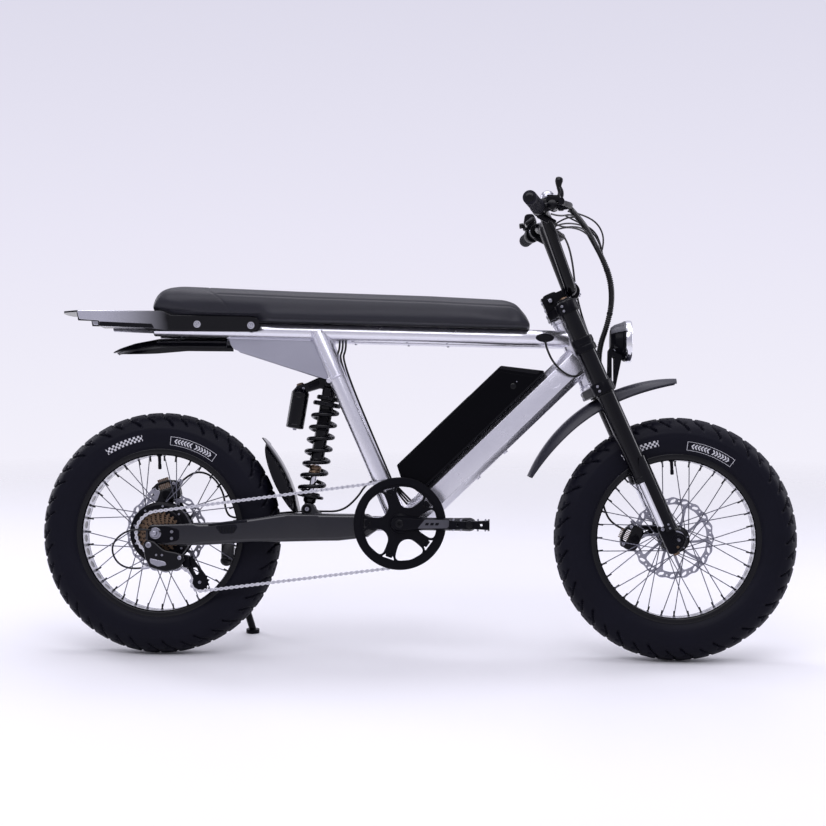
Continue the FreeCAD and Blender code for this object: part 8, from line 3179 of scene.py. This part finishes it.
@dataclass(frozen=True)
class Stand(Part):
    """Side stand and its return spring."""

    bevel: float = 1.2
    coil_radius: float = 4.6
    coil_turns: int = 16
    wire: float = 1.1
    foot: np.ndarray = spot(196.0, 245.0, 34.0)

    def build(self) -> None:
        """Stand with rolled edges, and its spring."""
        self.shop.softened("side_stand", Look.SATIN, bevel=self.bevel)
        self.shop.place("stand_return_spring", self.stand_spring(), "side_stand", replaces=False)

    def stand_spring(self) -> Shell:
        """Return spring of the side stand, beside its hinge, with its hooks.

        Returns:
            The spring.
        """
        joints = self.shop.frame["record"]["behaviour"]["joints"]
        joint = next(joint for joint in joints if joint["name"] == "side_stand")
        hinge = self.shop.bike.own(np.array([joint["pos_m"]]))[0]
        down = unit(self.foot - hinge)
        side = unit(np.cross(down, AHEAD))
        start, end = hinge + side * -15.0 - down * 4.0, hinge + side * -13.0 + down * 62.0
        share = np.linspace(0.0, 1.0, 240)
        first, second, along = Axis(tuple(start), tuple(end - start)).basis()
        angle = share * self.coil_turns * 2 * math.pi
        path = (start + share[:, None] * (end - start) + self.coil_radius * np.cos(angle)[:, None] * first
                + self.coil_radius * np.sin(angle)[:, None] * second)
        return sweep(path, disc(self.wire, 8), Look.STEEL, tuple(along))


@dataclass(frozen=True)
class Cables(Part):
    """Wrapped loom, brake hoses and frame cables."""

    loom_radius: float = 7.4
    hose_radius: float = 2.6
    lead_radius: float = 2.1
    tube_low: np.ndarray = spot(*TUBE_LOW)

    def build(self) -> None:
        """Loom, hoses and the cables in the frame."""
        shop = self.shop
        shop.place("bar_loom_wrap", self.bar_loom(), "bar_loom")
        shop.place("front_brake_hose", hose(FRONT_HOSE, self.hose_radius, 120), "front_hose")
        shop.place("rear_brake_hose", hose(REAR_HOSE, self.hose_radius, 140), "rear_hose")
        shop.place("frame_cable_run", self.frame_cables(), "frame_cables")

    def wrapped(self, points: Sequence[Point], radius: float, pitch: float = 5.2) -> Shell:
        """Loom in tape and spiral wrap: under the wrap its radius rises and falls once every turn.

        Args:
            points: the route.
            radius: radius of the loom.
            pitch: distance between the turns of the wrap.

        Returns:
            The loom.
        """
        path = smooth_path(points, 560)
        share = np.linspace(0.0, 1.0, 560)
        run = np.linalg.norm(np.diff(path, axis=0), axis=1).sum() * share
        ribbed = ((share > 0.36) & (share < 0.5)) | ((share > 0.6) & (share < 0.86))
        size = radius * (0.94 + 0.1 * ribbed * np.clip(1.6 * np.sin(run / pitch * 2 * math.pi), -1.0, 1.0)
                         + 0.05 * np.sin(run / 31.0))
        return sweep(path, disc(1.0, 14), Look.CABLE, ASKEW, scale=size)

    def bar_loom(self) -> Shell:
        """Wrapped loom, the hose that joins it and loose leads from the switches.

        Returns:
            The loom, the hose, the leads and two ties.
        """
        leads = [hose(route, self.lead_radius, 60) for route in BAR_LEADS]
        ties = []
        for start, end in ((LOOM[3], LOOM[4]), (LOOM[5], LOOM[6])):
            low = np.array(start, float)
            way = np.array(end, float) - low
            ties.append(lathe(Axis(tuple(low + way * 0.4), tuple(way)), [(4.0, 0.0), (7.4, 0.4), (7.4, 4.0),
                                                                         (4.0, 4.4)], Look.RUBBER, 24))
        return joined([self.wrapped(LOOM, self.loom_radius), hose(RIGHT_HOSE, self.hose_radius, 50),
                       *leads, *ties])

    def frame_cables(self) -> Shell:
        """Three cables from the rail's underside, past the strut and into the down tube.

        Returns:
            The three cables.
        """
        run = unit(self.tube_run)
        upward = np.array((-run[2], 0.0, run[0]))
        parts = []
        for number in range(3):
            x, y = 452.0 - 8.0 * number, 5.0 * number - 46.0
            axis_z = rail_line(x)
            z = axis_z - math.sqrt(400.0 - (y + 46.0) ** 2) - 2.5
            entry = self.tube_low + upward * 37.0 + run * (22.0 + 6.0 * number) + (0.0, y + 26.0, 0.0)
            route = [(x, y, z + 3.0), (x + 2.0, y, z - 16.0), (x - 12.0, y + 20.0, z - 44.0),
                     (x + 105.0, y + 24.0, 454.0), tuple(entry + upward * 32.0), tuple(entry)]
            parts.append(hose(route, 2.5, 110))
        return joined(parts)


# Stage


@dataclass(frozen=True)
class Lamp:
    """A rectangular studio lamp: place and aim in metres, size in metres, power in watts."""

    name: str
    place: Point
    aim: Point
    size: Flat
    power: float


@dataclass(frozen=True)
class Stage(Part):
    """Pale floor that fades into a pale backdrop, soft lights and the camera."""

    shot: ShotSizes = SHOT
    floor_half: float = 9.0
    fade: Flat = (1.6, 4.2)
    side_shade: float = 0.2
    lamp_color: Point = (0.94, 0.93, 1.0)
    lamps: tuple[Lamp, ...] = (
        Lamp("key", (-0.6, -2.4, 3.1), (0.0, 0.0, 0.5), (3.4, 1.6), 52.0),
        Lamp("top", (0.2, 0.3, 3.6), (0.0, 0.0, 0.6), (4.0, 1.8), 52.0),
        Lamp("rim_left", (-3.2, 1.6, 1.6), (0.0, 0.0, 0.6), (0.8, 2.4), 35.0),
        Lamp("rim_right", (3.4, 0.9, 1.6), (0.2, 0.0, 0.6), (0.8, 2.4), 40.0))
    seen: tuple[tuple[float, Point], ...] = (
        (0.0, (0.94, 0.925, 0.99)), (0.41, (0.93, 0.915, 0.985)), (0.5, (0.82, 0.8, 0.92)),
        (0.63, (0.63, 0.62, 0.74)), (0.78, (0.7, 0.69, 0.8)), (1.0, (1.7, 1.68, 1.85)))
    lit: tuple[tuple[float, Point], ...] = (
        (0.0, (0.68, 0.67, 0.76)), (0.48, (0.64, 0.63, 0.72)), (0.54, (0.36, 0.355, 0.42)),
        (0.62, (0.24, 0.235, 0.26)), (0.8, (0.46, 0.45, 0.51)), (1.0, (0.85, 0.84, 0.93)))

    def build(self) -> None:
        """Floor, world, lamps and camera."""
        self.floor()
        self.world()
        for lamp in self.lamps:
            self.light(lamp)
        bpy.context.scene.view_settings.view_transform = "Standard"
        self.camera()

    def floor(self) -> None:
        """Flat pale floor that turns clear away from the bike."""
        half = self.floor_half
        mesh = bpy.data.meshes.new("floor")
        mesh.from_pydata([(-half, -half, 0), (half, -half, 0), (half, half, 0), (-half, half, 0)], [],
                         [(0, 1, 2, 3)])
        floor = bpy.data.objects.new("floor", mesh)
        bpy.context.scene.collection.objects.link(floor)
        graph = Graph.for_material("floor")
        distance = graph.add("ShaderNodeVectorMath", {0: graph.places()}, {"operation": "LENGTH"}, "Value")
        near, far = self.fade
        fade = graph.add("ShaderNodeMapRange", {"Value": distance, "From Min": near, "From Max": far,
                                                "To Min": 1.0, "To Max": 0.0})
        graph.surface(Base_Color=graph.blend(graph.noise(0.5, 2.0), (0.88, 0.875, 0.91), (0.9, 0.895, 0.93)),
                      Roughness=0.55, Alpha=fade)
        mesh.materials.append(graph.material)

    def world(self) -> None:
        """Backdrop as the camera and clear reflections see it, and dimmer light for all else."""
        world = bpy.data.worlds.new("studio")
        bpy.context.scene.world = world
        world.use_nodes = True
        world.node_tree.nodes.clear()
        graph = Graph(world.node_tree)
        apart = graph.add("ShaderNodeSeparateXYZ", {0: graph.places("Generated")}).output.node
        height = graph.add("ShaderNodeMapRange", {"Value": Socket(graph, apart.outputs[2]), "From Min": -1.0})
        side = graph.add("ShaderNodeMapRange",
                         {"Value": Socket(graph, apart.outputs[1]), "From Min": -0.9, "From Max": 0.5,
                          "To Min": 1.0 - self.side_shade, "To Max": 1.0},
                         {"interpolation_type": "SMOOTHSTEP"})
        lit, seen = (graph.add("ShaderNodeBackground", {
            "Color": graph.add("ShaderNodeValToRGB", {0: height}, {"stops": stops}), "Strength": side})
                     for stops in (self.lit, self.seen))
        shown = graph.add("ShaderNodeLightPath", output="Is Camera Ray")
        for kind in ("Is Glossy Ray", "Is Transmission Ray"):
            shown = shown.apply("MAXIMUM", graph.add("ShaderNodeLightPath", output=kind))
        mixed = graph.add("ShaderNodeMixShader", {0: shown, 1: lit, 2: seen})
        graph.add("ShaderNodeOutputWorld", {"Surface": mixed})

    def light(self, lamp: Lamp) -> None:
        """Put one lamp in the scene, turned towards its aim.

        Args:
            lamp: its place, aim, size and power.
        """
        light = bpy.data.lights.new(lamp.name, "AREA")
        light.shape = "RECTANGLE"
        light.size, light.size_y = lamp.size
        light.energy = lamp.power
        light.color = self.lamp_color
        stand = bpy.data.objects.new(lamp.name, light)
        bpy.context.scene.collection.objects.link(stand)
        stand.location = lamp.place
        stand.rotation_euler = (Vector(lamp.aim) - Vector(lamp.place)).to_track_quat("-Z", "Y").to_euler()

    def camera(self) -> None:
        """Camera at the photograph's place and angle, leaned with the bike."""
        yaw, pitch, roll = self.shot.yaw, self.shot.pitch, self.shot.roll
        forward = np.array((-math.sin(yaw) * math.cos(pitch), math.cos(yaw) * math.cos(pitch),
                            math.sin(pitch)))
        right = np.array((math.cos(yaw), math.sin(yaw), 0.0))
        above = np.cross(right, forward)
        turned_right = math.cos(roll) * right + math.sin(roll) * above
        turned_up = -math.sin(roll) * right + math.cos(roll) * above
        axes = self.bike.turn @ np.stack([turned_right, turned_up, -forward], axis=1)
        lens = bpy.data.cameras.new("camera")
        lens.sensor_width = self.shot.sensor
        lens.lens = self.shot.focal * self.shot.sensor / self.shot.frame
        lens.clip_end = 60.0
        camera = bpy.data.objects.new("camera", lens)
        bpy.context.scene.collection.objects.link(camera)
        matrix = Matrix(axes.tolist()).to_4x4()
        matrix.translation = Vector(self.bike.row(np.array(self.shot.place)).tolist())
        camera.matrix_world = matrix
        bpy.context.scene.camera = camera


# Assembly


def main() -> None:
    """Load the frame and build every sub-assembly in order."""
    logging.basicConfig(level=logging.INFO, format="%(name)s %(message)s")
    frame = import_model()
    shop = Workshop(frame)
    for kind in (Wheels, Drive, Suspension, Fork, Cockpit, Frame, Seat, Tail, Brakes, Stand, Cables, Stage):
        kind(shop).build()
        while shop.made:
            LOG.info("%s: %s", kind.__name__, shop.made.pop(0))


if __name__ == "__main__":
    main()
